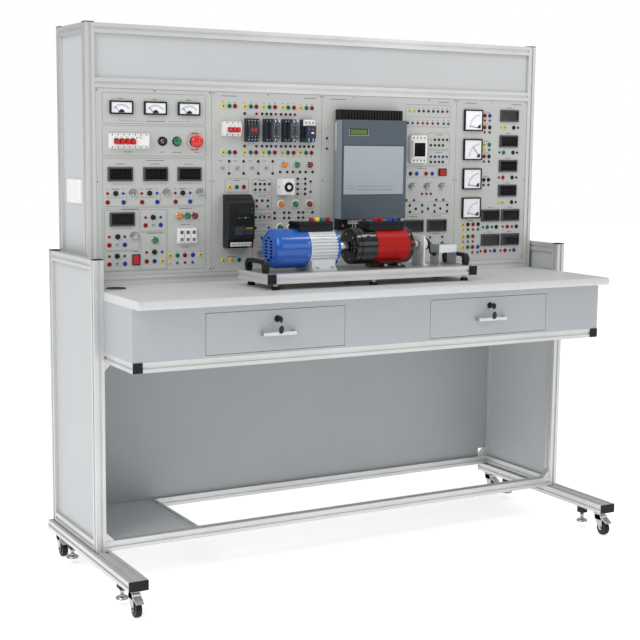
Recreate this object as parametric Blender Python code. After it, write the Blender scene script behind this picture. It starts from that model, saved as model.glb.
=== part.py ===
"""AC and DC drive trainer: a laboratory bench of aluminium profile that carries a desk with two
drawers, an instrument cabinet with four module panels, and a portable set of two coupled motors.

Run with: blender --background --python part.py
Metres, +Z up, +X to the user's right, -Y towards the user. The origin is at floor level,
in the middle of the overall width and depth.
"""
import math

import bmesh
import bpy
from mathutils import Matrix, Vector

# Driving dimensions
PROFILE = 0.030
BENCH_WIDTH = 1.750
FRAME_DEPTH = 0.410
POST_RISE = 0.093
FOOT_UNDERSIDE = 0.080
FOOT_WIDTH = 0.060
FOOT_REACH = 0.292
DESK_HEIGHT = 0.892
DESK_THICKNESS = 0.025
DESK_REACH = 0.275
CABINET_SIDE_GAP = 0.005
CABINET_DEPTH = 0.260
HEADER_HEIGHT = 0.1297
MODULE_HEIGHT = 0.564
POWER_MODULE_SHARE = 0.2352
CONTROL_MODULE_SHARE = 0.2438
DRIVE_MODULE_SHARE = 0.3309
MOTOR_BASE_DEPTH = 0.196
SHAFT_HEIGHT = 0.068
FRONT_CASTER_REACH = 0.255
PEDAL_REACH = 0.050

# Fits shared by the whole bench
GAP = 0.0003
FUSE = 0.001
OVERRUN = 0.002
CAP_THICKNESS = 0.003
GROOVE_MOUTH = 0.008
GROOVE_DEPTH = 0.004

# Places worked out from the driving dimensions
FRONT = (FRONT_CASTER_REACH + PEDAL_REACH - FRAME_DEPTH - CAP_THICKNESS) / 2
REAR = FRONT + FRAME_DEPTH
FOOT_TOP = FOOT_UNDERSIDE + PROFILE
POST_TOP = DESK_HEIGHT + POST_RISE
POST_INNER = BENCH_WIDTH / 2 - PROFILE
POST_MIDDLE = BENCH_WIDTH / 2 - PROFILE / 2
CABINET_FRONT = REAR - CABINET_DEPTH
CABINET_SIDE = POST_INNER - CABINET_SIDE_GAP
CABINET_INNER = CABINET_SIDE - PROFILE
MODULE_BOTTOM = DESK_HEIGHT + GAP + PROFILE
MODULE_TOP = MODULE_BOTTOM + MODULE_HEIGHT
HEADER_BOTTOM = MODULE_TOP + PROFILE
HEADER_TOP = HEADER_BOTTOM + HEADER_HEIGHT
CABINET_HEIGHT = HEADER_TOP + PROFILE

ROUND_SIDES = 16
SMALL_SIDES = 12


def clear_scene():
    for obj in list(bpy.data.objects):
        bpy.data.objects.remove(obj, do_unlink=True)


def finish_of(name, colour, roughness, metallic):
    """A plain painted, anodised or moulded surface."""
    made = bpy.data.materials.get(name)
    if made is None:
        made = bpy.data.materials.new(name)
        made.use_nodes = True
        shader = made.node_tree.nodes["Principled BSDF"]
        shader.inputs["Base Color"].default_value = (*colour, 1.0)
        shader.inputs["Roughness"].default_value = roughness
        shader.inputs["Metallic"].default_value = metallic
        made.diffuse_color = (*colour, 1.0)
    return made


ALUMINIUM = ("anodised aluminium", (0.62, 0.63, 0.64), 0.40, 0.75)
WHITE_PAINT = ("white powder coat", (0.70, 0.71, 0.71), 0.45, 0.0)
GREY_PAINT = ("grey powder coat", (0.40, 0.42, 0.43), 0.50, 0.0)
PANEL_GREY = ("printed aluminium panel", (0.50, 0.51, 0.49), 0.45, 0.1)
DESK_GREY = ("laminate desk board", (0.63, 0.63, 0.60), 0.40, 0.0)
BLACK_PLASTIC = ("black plastic", (0.02, 0.02, 0.02), 0.45, 0.0)
BLACK_RUBBER = ("black rubber", (0.03, 0.03, 0.03), 0.80, 0.0)
ZINC_STEEL = ("zinc plated steel", (0.60, 0.60, 0.60), 0.30, 1.0)
CHROME = ("chromed steel", (0.75, 0.75, 0.76), 0.12, 1.0)
SLATE_PLASTIC = ("slate plastic", (0.08, 0.10, 0.12), 0.50, 0.0)
CHARCOAL_PLASTIC = ("charcoal plastic", (0.04, 0.05, 0.055), 0.50, 0.0)
BLUE_ENAMEL = ("blue enamel", (0.03, 0.12, 0.46), 0.25, 0.0)
RED_ENAMEL = ("red enamel", (0.46, 0.01, 0.01), 0.20, 0.0)
CAST_ALUMINIUM = ("cast aluminium", (0.58, 0.59, 0.60), 0.45, 0.8)
RED_PLASTIC = ("red plastic", (0.60, 0.02, 0.02), 0.35, 0.0)
ORANGE_PLASTIC = ("orange plastic", (0.80, 0.30, 0.03), 0.35, 0.0)
GREEN_PLASTIC = ("green plastic", (0.01, 0.28, 0.14), 0.35, 0.0)


class Solid:
    """A mesh under construction: closed bodies are added to it, then it becomes one object."""

    def __init__(self):
        self.mesh = bmesh.new()

    def box(self, low, high):
        made = bmesh.ops.create_cube(self.mesh, size=1.0)["verts"]
        size = Vector(high) - Vector(low)
        middle = (Vector(high) + Vector(low)) / 2
        bmesh.ops.transform(self.mesh, matrix=Matrix.Diagonal((*size, 1.0)), verts=made)
        bmesh.ops.translate(self.mesh, vec=middle, verts=made)
        return made

    def prism(self, outline, place, start, end):
        """Extrudes a counter-clockwise outline from start to end; place(a, b, t) gives each point."""
        lower = [self.mesh.verts.new(place(a, b, start)) for a, b in outline]
        upper = [self.mesh.verts.new(place(a, b, end)) for a, b in outline]
        faces = [self.mesh.faces.new(lower[::-1]), self.mesh.faces.new(upper)]
        count = len(outline)
        for i in range(count):
            after = (i + 1) % count
            faces.append(self.mesh.faces.new((lower[i], lower[after], upper[after], upper[i])))
        bmesh.ops.recalc_face_normals(self.mesh, faces=faces)
        return lower + upper

    def turned(self, profile, place, sides):
        """Turns a profile of (distance along the axis, radius) pairs, first and last closed by a face."""
        rings = []
        for along, radius in profile:
            ring = []
            for i in range(sides):
                angle = 2 * math.pi * (i + 0.5) / sides
                point = place(radius * math.cos(angle), radius * math.sin(angle), along)
                ring.append(self.mesh.verts.new(point))
            rings.append(ring)
        faces = [self.mesh.faces.new(rings[0][::-1]), self.mesh.faces.new(rings[-1])]
        for near, far in zip(rings, rings[1:]):
            for i in range(sides):
                after = (i + 1) % sides
                faces.append(self.mesh.faces.new((near[i], near[after], far[after], far[i])))
        bmesh.ops.recalc_face_normals(self.mesh, faces=faces)

    def rod(self, centre, axis, start, end, radius, sides=ROUND_SIDES):
        self.turned(((start, radius), (end, radius)), along_axis(centre, axis), sides)

    def object(self, name, finish=None):
        data = bpy.data.meshes.new(name)
        self.mesh.to_mesh(data)
        self.mesh.free()
        made = bpy.data.objects.new(name, data)
        bpy.context.scene.collection.objects.link(made)
        if finish is not None:
            data.materials.append(finish_of(*finish))
        return made


def along_axis(centre, axis):
    """A place function for a prism or turning whose axis runs along X, Y or Z through centre."""
    x, y, z = centre
    if axis == "X":
        return lambda a, b, t: (x + t, y + a, z + b)
    if axis == "Y":
        return lambda a, b, t: (x + b, y + t, z + a)
    return lambda a, b, t: (x + a, y + b, z + t)


def combine(target, tool, operation):
    """Joins or cuts target with tool for good, and removes the tool."""
    change = target.modifiers.new(operation.lower(), "BOOLEAN")
    change.operation = operation
    change.object = tool
    change.solver = "EXACT"
    bpy.context.view_layer.update()
    graph = bpy.context.evaluated_depsgraph_get()
    made = bpy.data.meshes.new_from_object(target.evaluated_get(graph))
    target.modifiers.remove(change)
    old = target.data
    made.name = target.name
    target.data = made
    bpy.data.meshes.remove(old)
    bpy.data.objects.remove(tool, do_unlink=True)
    return target


def join(target, solid):
    return combine(target, solid.object(target.name + " join"), "UNION")


def cut(target, solid):
    return combine(target, solid.object(target.name + " cutter"), "DIFFERENCE")


def round_shading(obj):
    obj.data.shade_smooth()
    obj.data.set_sharp_from_angle(angle=math.radians(35))
    return obj


def set_origin(obj, point):
    """Moves an object's origin to a point on its joint's axis and leaves its surface in place."""
    shift = Vector(point) - obj.location
    obj.data.transform(Matrix.Translation(-shift))
    obj.location = Vector(point)
    return obj


# Aluminium profile members: a square section with a groove along the middle of each face


def profile_outline(width, height):
    """Counter-clockwise outline with one groove for every profile width of each face."""
    half_mouth = GROOVE_MOUTH / 2
    corners = ((-1, -1), (1, -1), (1, 1), (-1, 1))
    points = []
    for i, (sign_a, sign_b) in enumerate(corners):
        next_a, next_b = corners[(i + 1) % len(corners)]
        points.append((sign_a * width / 2, sign_b * height / 2))
        along_a = (next_a - sign_a) / 2
        along_b = (next_b - sign_b) / 2
        length = width if along_a else height
        inward = (-along_b, along_a)
        cells = max(1, round(length / PROFILE))
        for cell in range(cells):
            middle = (cell + 0.5) * length / cells
            for step, depth in ((-1, 0), (-1, GROOVE_DEPTH), (1, GROOVE_DEPTH), (1, 0)):
                travel = middle + step * half_mouth
                a = sign_a * width / 2 + along_a * travel + inward[0] * depth
                b = sign_b * height / 2 + along_b * travel + inward[1] * depth
                points.append((a, b))
    return points


def add_member(solid, centre, axis, start, end, width=PROFILE, height=PROFILE):
    solid.prism(profile_outline(width, height), along_axis(centre, axis), start, end)


def profile_frame(name, members, caps=()):
    """Fuses profile members, given as (centre, axis, start, end), into one bolted frame."""
    first = Solid()
    add_member(first, *members[0])
    frame = first.object(name, ALUMINIUM)
    for member in members[1:]:
        more = Solid()
        add_member(more, *member)
        join(frame, more)
    for low, high in caps:
        cap = Solid()
        cap.box(low, high)
        join(frame, cap)
    return frame


def post_cap(x, y, top):
    """The moulded cap that closes the top of a post, pressed a little way into it."""
    half = PROFILE / 2 - CAP_INSET
    return (x - half, y - half, top - FUSE), (x + half, y + half, top + CAP_THICKNESS)


CAP_INSET = 0.0005
BRACKET_LEG = 0.028
BRACKET_WIDTH = 0.024


def corner_bracket(solid, end_x, towards, rail_y, surface_z, up):
    """A die-cast triangular bracket on a rail, at the end where the rail meets a post."""
    outline = (
        (end_x, surface_z - up * FUSE),
        (end_x + towards * BRACKET_LEG, surface_z - up * FUSE),
        (end_x, surface_z + up * BRACKET_LEG),
    )
    half = BRACKET_WIDTH / 2
    solid.prism(outline, lambda a, b, t: (a, t, b), rail_y - half, rail_y + half)


def lower_end_frames():
    """Two posts with their top and bottom side rails, at each end of the lower frame."""
    front_y = FRONT + PROFILE / 2
    rear_y = REAR - PROFILE / 2
    rail_start = FRONT + PROFILE - FUSE
    rail_end = REAR - PROFILE + FUSE
    for name, side in (("left_end_frame", -1), ("right_end_frame", 1)):
        x = side * POST_MIDDLE
        members = (
            ((x, front_y, 0), "Z", FOOT_TOP + GAP, POST_TOP),
            ((x, rear_y, 0), "Z", FOOT_TOP + GAP, POST_TOP),
            ((x, 0, POST_TOP - PROFILE / 2), "Y", rail_start, rail_end),
            ((x, 0, FOOT_TOP + GAP + PROFILE / 2), "Y", rail_start, rail_end),
        )
        caps = (post_cap(x, front_y, POST_TOP), post_cap(x, rear_y, POST_TOP))
        profile_frame(name, members, caps)


END_PANEL_THICKNESS = 0.010


def lower_end_panels():
    """Sheet-clad boards that fill the two end frames."""
    for name, side in (("left_end_panel", -1), ("right_end_panel", 1)):
        panel = Solid()
        x = side * POST_MIDDLE
        half = END_PANEL_THICKNESS / 2
        panel.box(
            (x - half, FRONT + PROFILE + GAP, FOOT_TOP + GAP + PROFILE + GAP),
            (x + half, REAR - PROFILE - GAP, POST_TOP - PROFILE - GAP),
        )
        panel.object(name, WHITE_PAINT)


SHELF_RAIL_REACH = 0.285
SHELF_THICKNESS = 0.003
BACK_PANEL_THICKNESS = 0.003


def bottom_rails():
    """Front and rear rails between the end frames, with the cross rail and plate of the floor shelf."""
    rail_middle = FOOT_TOP + GAP + PROFILE / 2
    rail_half = POST_INNER - GAP
    for name, y in (("front_bottom_rail", FRONT + PROFILE / 2), ("rear_bottom_rail", REAR - PROFILE / 2)):
        rail = profile_frame(name, (((0, y, rail_middle), "X", -rail_half, rail_half),))
        for side in (-1, 1):
            bracket = Solid()
            corner_bracket(bracket, side * rail_half, -side, y, FOOT_TOP + GAP + PROFILE, 1)
            join(rail, bracket)
    shelf_x = SHELF_RAIL_REACH - POST_INNER
    start = FRONT + PROFILE + GAP
    end = REAR - PROFILE - GAP
    profile_frame("shelf_cross_rail", (((shelf_x + PROFILE / 2, 0, rail_middle), "Y", start, end),))
    plate = Solid()
    top = FOOT_TOP + PROFILE
    plate.box(
        (-POST_INNER + GAP, start, top - SHELF_THICKNESS),
        (shelf_x - GAP, end, top),
    )
    plate.object("floor_shelf", WHITE_PAINT)


# Feet: beams with caster plates and threaded bosses, swivel casters, levelling feet

CASTER_PLATE = 0.046
PLATE_THICKNESS = 0.003
KINGPIN_RADIUS = 0.006
KINGPIN_LENGTH = 0.007
BOSS_WIDTH = 0.025
BOSS_HEIGHT = 0.028
STEM_RADIUS = 0.005
STEM_SKIN = 0.006
REAR_CASTER_INSET = 0.035
FRONT_LEVELLER_REACH = 0.165
REAR_LEVELLER_INSET = 0.145
LEVELLER_CLEARANCE = 0.020
LEVELLER_DISC_RADIUS = 0.020
LEVELLER_DISC_HEIGHT = 0.007
LEVELLER_NUT_RADIUS = 0.009
LEVELLER_NUT_HEIGHT = 0.006
STEM_TRAVEL_ROOM = 0.006


def foot_places(front, rear):
    """Names and places of the four casters or levelling feet, from their two distances along a beam."""
    for side_name, side in (("left", -1), ("right", 1)):
        yield side_name + "_front", side * POST_MIDDLE, front
        yield side_name + "_rear", side * POST_MIDDLE, rear


CASTER_FRONT_Y = FRONT - FRONT_CASTER_REACH
CASTER_REAR_Y = REAR - REAR_CASTER_INSET
LEVELLER_FRONT_Y = FRONT - FRONT_LEVELLER_REACH
LEVELLER_REAR_Y = REAR - REAR_LEVELLER_INSET


def foot_beams():
    for name, side in (("left_foot_beam", -1), ("right_foot_beam", 1)):
        x = side * POST_MIDDLE
        middle = FOOT_UNDERSIDE + PROFILE / 2
        beam = Solid()
        add_member(beam, (x, 0, middle), "Y", FRONT - FOOT_REACH, REAR, PROFILE, FOOT_WIDTH)
        beam = beam.object(name, ALUMINIUM)
        half_w = FOOT_WIDTH / 2 - CAP_INSET
        half_h = PROFILE / 2 - CAP_INSET
        for inner, outer in ((FRONT - FOOT_REACH, -CAP_THICKNESS), (REAR, CAP_THICKNESS)):
            cap = Solid()
            ends = sorted((inner - math.copysign(FUSE, outer), inner + outer))
            cap.box((x - half_w, ends[0], middle - half_h), (x + half_w, ends[1], middle + half_h))
            join(beam, cap)
        for y in (CASTER_FRONT_Y, CASTER_REAR_Y):
            plate = Solid()
            half = CASTER_PLATE / 2
            bottom = FOOT_UNDERSIDE - PLATE_THICKNESS
            plate.box((x - half, y - half, bottom), (x + half, y + half, FOOT_UNDERSIDE + FUSE))
            join(beam, plate)
            pin = Solid()
            pin.rod((x, y, bottom), "Z", -KINGPIN_LENGTH, FUSE, KINGPIN_RADIUS, SMALL_SIDES)
            join(beam, pin)
        for y in (LEVELLER_FRONT_Y, LEVELLER_REAR_Y):
            boss = Solid()
            half = BOSS_WIDTH / 2
            bottom = FOOT_UNDERSIDE - BOSS_HEIGHT
            boss.box((x - half, y - half, bottom), (x + half, y + half, FOOT_UNDERSIDE + FUSE))
            join(beam, boss)
            bore = Solid()
            end = BOSS_HEIGHT + PROFILE - STEM_SKIN
            bore.rod((x, y, bottom), "Z", -OVERRUN, end, STEM_RADIUS + GAP, SMALL_SIDES)
            cut(beam, bore)
        round_shading(beam)


def levelling_feet():
    """Chromed discs on threaded stems; at rest they hang clear of the floor and the casters carry."""
    stem_top = FOOT_TOP - STEM_SKIN - STEM_TRAVEL_ROOM
    for place, x, y in foot_places(LEVELLER_FRONT_Y, LEVELLER_REAR_Y):
        foot = Solid()
        disc_top = LEVELLER_DISC_HEIGHT
        nut_top = disc_top + LEVELLER_NUT_HEIGHT
        profile = (
            (0, LEVELLER_DISC_RADIUS),
            (disc_top / 2, LEVELLER_DISC_RADIUS),
            (disc_top, LEVELLER_NUT_RADIUS),
            (nut_top, LEVELLER_NUT_RADIUS),
            (nut_top, STEM_RADIUS),
            (stem_top - LEVELLER_CLEARANCE, STEM_RADIUS),
        )
        foot.turned(profile, along_axis((x, y, LEVELLER_CLEARANCE), "Z"), SMALL_SIDES)
        made = foot.object(place + "_levelling_foot", CHROME)
        round_shading(set_origin(made, (x, y, LEVELLER_CLEARANCE)))


WHEEL_RADIUS = 0.025
AXLE_HEIGHT = WHEEL_RADIUS * math.cos(math.pi / ROUND_SIDES)
WHEEL_WIDTH = 0.018
TREAD_ROUNDING = 0.003
WHEEL_DISH = 0.003
HUB_RADIUS = 0.009
TREAD_INNER_RADIUS = 0.017
AXLE_RADIUS = 0.004
CASTER_TRAIL = 0.020
CROWN_RADIUS = 0.021
CROWN_HEIGHT = 0.009
LEG_THICKNESS = 0.0025
LEG_GAP = 0.0015
LEG_END_RADIUS = 0.008
PEDAL_WIDTH = 0.020
PEDAL_THICKNESS = 0.003
PEDAL_DROP = 0.012


def caster_forks():
    """Pressed forks that swivel on the kingpins; the brake pedal lies over the wheel."""
    top = FOOT_UNDERSIDE - PLATE_THICKNESS - GAP
    crown_bottom = top - CROWN_HEIGHT
    inner = WHEEL_WIDTH / 2 + LEG_GAP
    outer = inner + LEG_THICKNESS
    for place, x, y in foot_places(CASTER_FRONT_Y, CASTER_REAR_Y):
        crown = Solid()
        crown.rod((x, y, 0), "Z", crown_bottom, top, CROWN_RADIUS)
        fork = crown.object(place + "_caster_fork", ZINC_STEEL)
        leg_outline = (
            (CROWN_RADIUS / 2, crown_bottom + FUSE),
            (-CROWN_RADIUS * 3 / 4, crown_bottom + FUSE),
            (-CASTER_TRAIL - LEG_END_RADIUS, AXLE_HEIGHT + LEG_END_RADIUS / 2),
            (-CASTER_TRAIL - LEG_END_RADIUS / 2, AXLE_HEIGHT - LEG_END_RADIUS),
            (-CASTER_TRAIL + LEG_END_RADIUS / 2, AXLE_HEIGHT - LEG_END_RADIUS),
        )
        for side in (-1, 1):
            leg = Solid()
            leg.prism(leg_outline, lambda a, b, t: (x + t, y + a, b), side * inner, side * outer)
            join(fork, leg)
        axle = Solid()
        axle.rod((x, y - CASTER_TRAIL, AXLE_HEIGHT), "X", -outer, outer, AXLE_RADIUS, SMALL_SIDES)
        join(fork, axle)
        pedal = Solid()
        start = -CROWN_RADIUS / 2
        pedal_outline = (
            (start, crown_bottom + PEDAL_THICKNESS),
            (start, crown_bottom),
            (-PEDAL_REACH, crown_bottom - PEDAL_DROP),
            (-PEDAL_REACH, crown_bottom - PEDAL_DROP + PEDAL_THICKNESS),
        )
        half = PEDAL_WIDTH / 2
        pedal.prism(pedal_outline, lambda a, b, t: (x + t, y + a, b), -half, half)
        join(fork, pedal)
        bore = Solid()
        depth = KINGPIN_LENGTH + 2 * GAP
        bore.rod((x, y, top), "Z", -depth, OVERRUN, KINGPIN_RADIUS + GAP, SMALL_SIDES)
        cut(fork, bore)
        round_shading(set_origin(fork, (x, y, top)))


def caster_wheels():
    half = WHEEL_WIDTH / 2
    profile = (
        (-half, HUB_RADIUS),
        (-half + WHEEL_DISH, TREAD_INNER_RADIUS),
        (-half, WHEEL_RADIUS - TREAD_ROUNDING),
        (-half + TREAD_ROUNDING, WHEEL_RADIUS),
        (half - TREAD_ROUNDING, WHEEL_RADIUS),
        (half, WHEEL_RADIUS - TREAD_ROUNDING),
        (half - WHEEL_DISH, TREAD_INNER_RADIUS),
        (half, HUB_RADIUS),
    )
    for place, x, y in foot_places(CASTER_FRONT_Y, CASTER_REAR_Y):
        centre = (x, y - CASTER_TRAIL, AXLE_HEIGHT)
        wheel = Solid()
        wheel.turned(profile, along_axis(centre, "X"), ROUND_SIDES)
        wheel = wheel.object(place + "_caster_wheel", BLACK_RUBBER)
        bore = Solid()
        bore.rod(centre, "X", -WHEEL_WIDTH, WHEEL_WIDTH, AXLE_RADIUS + GAP, SMALL_SIDES)
        cut(wheel, bore)
        round_shading(set_origin(wheel, centre))


# Desk: support frame, steel drawer housing, top board, drawers with locks

APRON_HEIGHT = 0.153
APRON_REACH = 0.220
SUPPORT_TOP = DESK_HEIGHT - DESK_THICKNESS - APRON_HEIGHT
HOUSING_DEPTH = 0.400
HOUSING_WALL = 0.003
DRAWER_WIDTH = 0.465
DRAWER_HEIGHT = 0.124
DRAWER_SPACING = 0.777
DRAWER_SILL = 0.006
RUNNER_WIDTH = 0.012
RUNNER_HEIGHT = 0.020
GROMMET_RADIUS = 0.030
GROMMET_HEIGHT = 0.002
GROMMET_INSET = 0.068
GROMMET_SETBACK = 0.070
BULLNOSE_STEPS = 8


def lower_back_panel():
    """The board behind the knee space, set in the middle of the rear rails."""
    middle = REAR - PROFILE / 2
    half = BACK_PANEL_THICKNESS / 2
    panel = Solid()
    panel.box(
        (-POST_INNER + GAP, middle - half, FOOT_TOP + GAP + PROFILE + GAP),
        (POST_INNER - GAP, middle + half, SUPPORT_TOP - PROFILE - GAP),
    )
    cut_corners = panel.object("lower_back_panel", GREY_PAINT)
    for side in (-1, 1):
        notch = Solid()
        ends = sorted((side * (POST_INNER - BRACKET_LEG - OVERRUN), side * (POST_INNER + OVERRUN)))
        top = FOOT_TOP + PROFILE + BRACKET_LEG + OVERRUN
        notch.box((ends[0], middle - PROFILE, FOOT_TOP), (ends[1], middle + PROFILE, top))
        cut(cut_corners, notch)


def desk_support_frame():
    """Rails that run forward between the posts and carry the drawer housing and the desk."""
    rail_x = POST_INNER - GAP - PROFILE / 2
    middle = SUPPORT_TOP - PROFILE / 2
    front = FRONT - APRON_REACH
    cross = rail_x - PROFILE / 2 + FUSE
    members = (
        ((-rail_x, 0, middle), "Y", front, REAR),
        ((rail_x, 0, middle), "Y", front, REAR),
        ((0, front + PROFILE / 2, middle), "X", -cross, cross),
        ((0, REAR - PROFILE / 2, middle), "X", -cross, cross),
    )
    half = PROFILE / 2 - CAP_INSET
    caps = []
    for side in (-1, 1):
        x = side * rail_x
        for inner, outer in ((front + FUSE, front - CAP_THICKNESS), (REAR - FUSE, REAR + CAP_THICKNESS)):
            ends = sorted((inner, outer))
            caps.append(((x - half, ends[0], middle - half), (x + half, ends[1], middle + half)))
    frame = profile_frame("desk_support_frame", members, caps)
    for side in (-1, 1):
        bracket = Solid()
        end_x = side * (rail_x + PROFILE / 2)
        post_y = FRONT + PROFILE / 2
        corner_bracket(bracket, end_x, -side, post_y, SUPPORT_TOP - PROFILE, -1)
        join(frame, bracket)


def drawer_places():
    low = SUPPORT_TOP + DRAWER_SILL
    for side_name, side in (("left", -1), ("right", 1)):
        yield side_name, side * DRAWER_SPACING / 2, low


def drawer_housing():
    """Folded sheet steel: apron with two windows, sides, floor and back, open under the desk top."""
    half = POST_INNER - GAP
    front = FRONT - APRON_REACH
    back = front + HOUSING_DEPTH
    low = SUPPORT_TOP + GAP
    high = DESK_HEIGHT - DESK_THICKNESS - GAP
    shell = Solid()
    shell.box((-half, front, low), (half, back, high))
    shell = shell.object("drawer_housing", WHITE_PAINT)
    inside = Solid()
    wall = HOUSING_WALL
    inside.box(
        (-half + wall, front + wall, low + wall),
        (half - wall, back - wall, high + OVERRUN),
    )
    cut(shell, inside)
    for _, x, low_z in drawer_places():
        edge = DRAWER_WIDTH / 2
        for side in (-1, 1):
            runner = Solid()
            ends = sorted((x + side * edge, x + side * (edge + RUNNER_WIDTH)))
            middle = low_z + DRAWER_HEIGHT / 2
            runner.box(
                (ends[0], front + FUSE, middle - RUNNER_HEIGHT / 2),
                (ends[1], back - FUSE, middle + RUNNER_HEIGHT / 2),
            )
            join(shell, runner)
        window = Solid()
        window.box(
            (x - edge, front - OVERRUN, low_z),
            (x + edge, front + wall + OVERRUN, low_z + DRAWER_HEIGHT),
        )
        cut(shell, window)


def desk_top():
    """A laminated board with a half-round front edge and a capped cable hole at its left rear corner."""
    half = POST_INNER - GAP
    radius = DESK_THICKNESS / 2
    low = DESK_HEIGHT - DESK_THICKNESS
    outline = [(REAR, low), (REAR, DESK_HEIGHT)]
    for i in range(BULLNOSE_STEPS + 1):
        angle = math.pi / 2 + math.pi * i / BULLNOSE_STEPS
        y = FRONT - DESK_REACH + radius + radius * math.cos(angle)
        outline.append((y, low + radius + radius * math.sin(angle)))
    board = Solid()
    board.prism(outline, along_axis((0, 0, 0), "X"), -half, half)
    board = board.object("desk_top", DESK_GREY)
    grommet = Solid()
    place = (-POST_INNER + GROMMET_INSET, CABINET_FRONT - GROMMET_SETBACK, DESK_HEIGHT)
    grommet.rod(place, "Z", -FUSE, GROMMET_HEIGHT, GROMMET_RADIUS)
    join(board, grommet)
    round_shading(board)


DRAWER_REVEAL = 0.0015
DRAWER_FRONT_THICKNESS = 0.016
DRAWER_BOX_DEPTH = 0.340
DRAWER_BOX_HEIGHT = 0.085
DRAWER_WALL = 0.010
DRAWER_FLOOR = 0.006
SLIDE_HEIGHT = 0.014
HANDLE_LENGTH = 0.112
HANDLE_STANDOFF = 0.026
HANDLE_SECTION = 0.008
HANDLE_DEPTH = 0.010
HANDLE_HEIGHT_SHARE = 0.435
LOCK_HEIGHT_SHARE = 0.77
LOCK_RADIUS = 0.010
LOCK_PROUD = 0.003
LOCK_RECESS = 0.010
LOCK_CLEARANCE = 0.0007
KEY_BOW_RADIUS = 0.011
KEY_BOW_THICKNESS = 0.003
KEY_SHANK_LENGTH = 0.010
KEY_SHANK_HEIGHT = 0.006


def drawers():
    """Trays on side slides; the front boards lie flush in the apron and carry a bar handle each."""
    front = FRONT - APRON_REACH
    for side_name, x, low in drawer_places():
        half = DRAWER_WIDTH / 2 - DRAWER_REVEAL
        bottom = low + DRAWER_REVEAL
        board = Solid()
        board.box(
            (x - half, front, bottom),
            (x + half, front + DRAWER_FRONT_THICKNESS, low + DRAWER_HEIGHT - DRAWER_REVEAL),
        )
        drawer = board.object(side_name + "_drawer", WHITE_PAINT)
        tray = Solid()
        back = front + DRAWER_FRONT_THICKNESS + DRAWER_BOX_DEPTH
        tray_start = front + DRAWER_FRONT_THICKNESS - FUSE
        tray.box((x - half, tray_start, bottom), (x + half, back, bottom + DRAWER_BOX_HEIGHT))
        join(drawer, tray)
        inside = Solid()
        inner = half - DRAWER_WALL
        inside.box(
            (x - inner, front + DRAWER_FRONT_THICKNESS, bottom + DRAWER_FLOOR),
            (x + inner, back - DRAWER_WALL, low + DRAWER_HEIGHT),
        )
        cut(drawer, inside)
        slide_middle = low + DRAWER_HEIGHT / 2
        for side in (-1, 1):
            slide = Solid()
            ends = sorted((x + side * (half - FUSE), x + side * (DRAWER_WIDTH / 2 - GAP)))
            slide.box(
                (ends[0], front + DRAWER_FRONT_THICKNESS + FUSE, slide_middle - SLIDE_HEIGHT / 2),
                (ends[1], back - FUSE, slide_middle + SLIDE_HEIGHT / 2),
            )
            join(drawer, slide)
        handle = Solid()
        reach = HANDLE_LENGTH / 2
        arm = HANDLE_SECTION
        out = front - HANDLE_STANDOFF
        bend = HANDLE_SECTION / 2
        outline = (
            (x - reach, front + FUSE),
            (x - reach, out + bend),
            (x - reach + bend, out),
            (x + reach - bend, out),
            (x + reach, out + bend),
            (x + reach, front + FUSE),
            (x + reach - arm, front + FUSE),
            (x + reach - arm, out + arm),
            (x - reach + arm, out + arm),
            (x - reach + arm, front + FUSE),
        )
        middle = low + HANDLE_HEIGHT_SHARE * DRAWER_HEIGHT
        half_depth = HANDLE_DEPTH / 2
        handle.prism(outline, lambda a, b, t: (a, b, t), middle - half_depth, middle + half_depth)
        join(drawer, handle)
        lock_z = low + LOCK_HEIGHT_SHARE * DRAWER_HEIGHT
        recess = Solid()
        bore = LOCK_RADIUS + LOCK_CLEARANCE
        recess.rod((x, front, lock_z), "Y", -OVERRUN, LOCK_RECESS + GAP, bore, SMALL_SIDES)
        cut(drawer, recess)
        set_origin(drawer, (x, front, low))
        lock_with_key(side_name, (x, front, lock_z))


def lock_with_key(side_name, place):
    """The turning barrel of a cam lock, with its key left in it."""
    x, y, z = place
    barrel = Solid()
    barrel.rod(place, "Y", -LOCK_PROUD, LOCK_RECESS, LOCK_RADIUS, SMALL_SIDES)
    lock = barrel.object(side_name + "_drawer_lock", CHROME)
    shank = Solid()
    half = KEY_BOW_THICKNESS / 2
    reach = LOCK_PROUD + KEY_SHANK_LENGTH
    shank.box(
        (x - half, y - reach, z - KEY_SHANK_HEIGHT / 2),
        (x + half, y - LOCK_PROUD + FUSE, z + KEY_SHANK_HEIGHT / 2),
    )
    join(lock, shank)
    bow = Solid()
    centre = (x, y - reach - KEY_BOW_RADIUS + FUSE, z)
    bow.rod(centre, "X", -half, half, KEY_BOW_RADIUS, SMALL_SIDES)
    join(lock, bow)
    round_shading(set_origin(lock, place))


# Instrument cabinet: profile frame, cladding, header panel

HEADER_INSET = 0.010
SHEET = 0.003
SIDE_PANEL_INSET = 0.010
OUTLET_WIDTH = 0.120
OUTLET_HEIGHT = 0.074
OUTLET_PROUD = 0.007
OUTLET_BEVEL = 0.003
OUTLET_HEIGHT_SHARE = 0.35


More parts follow.
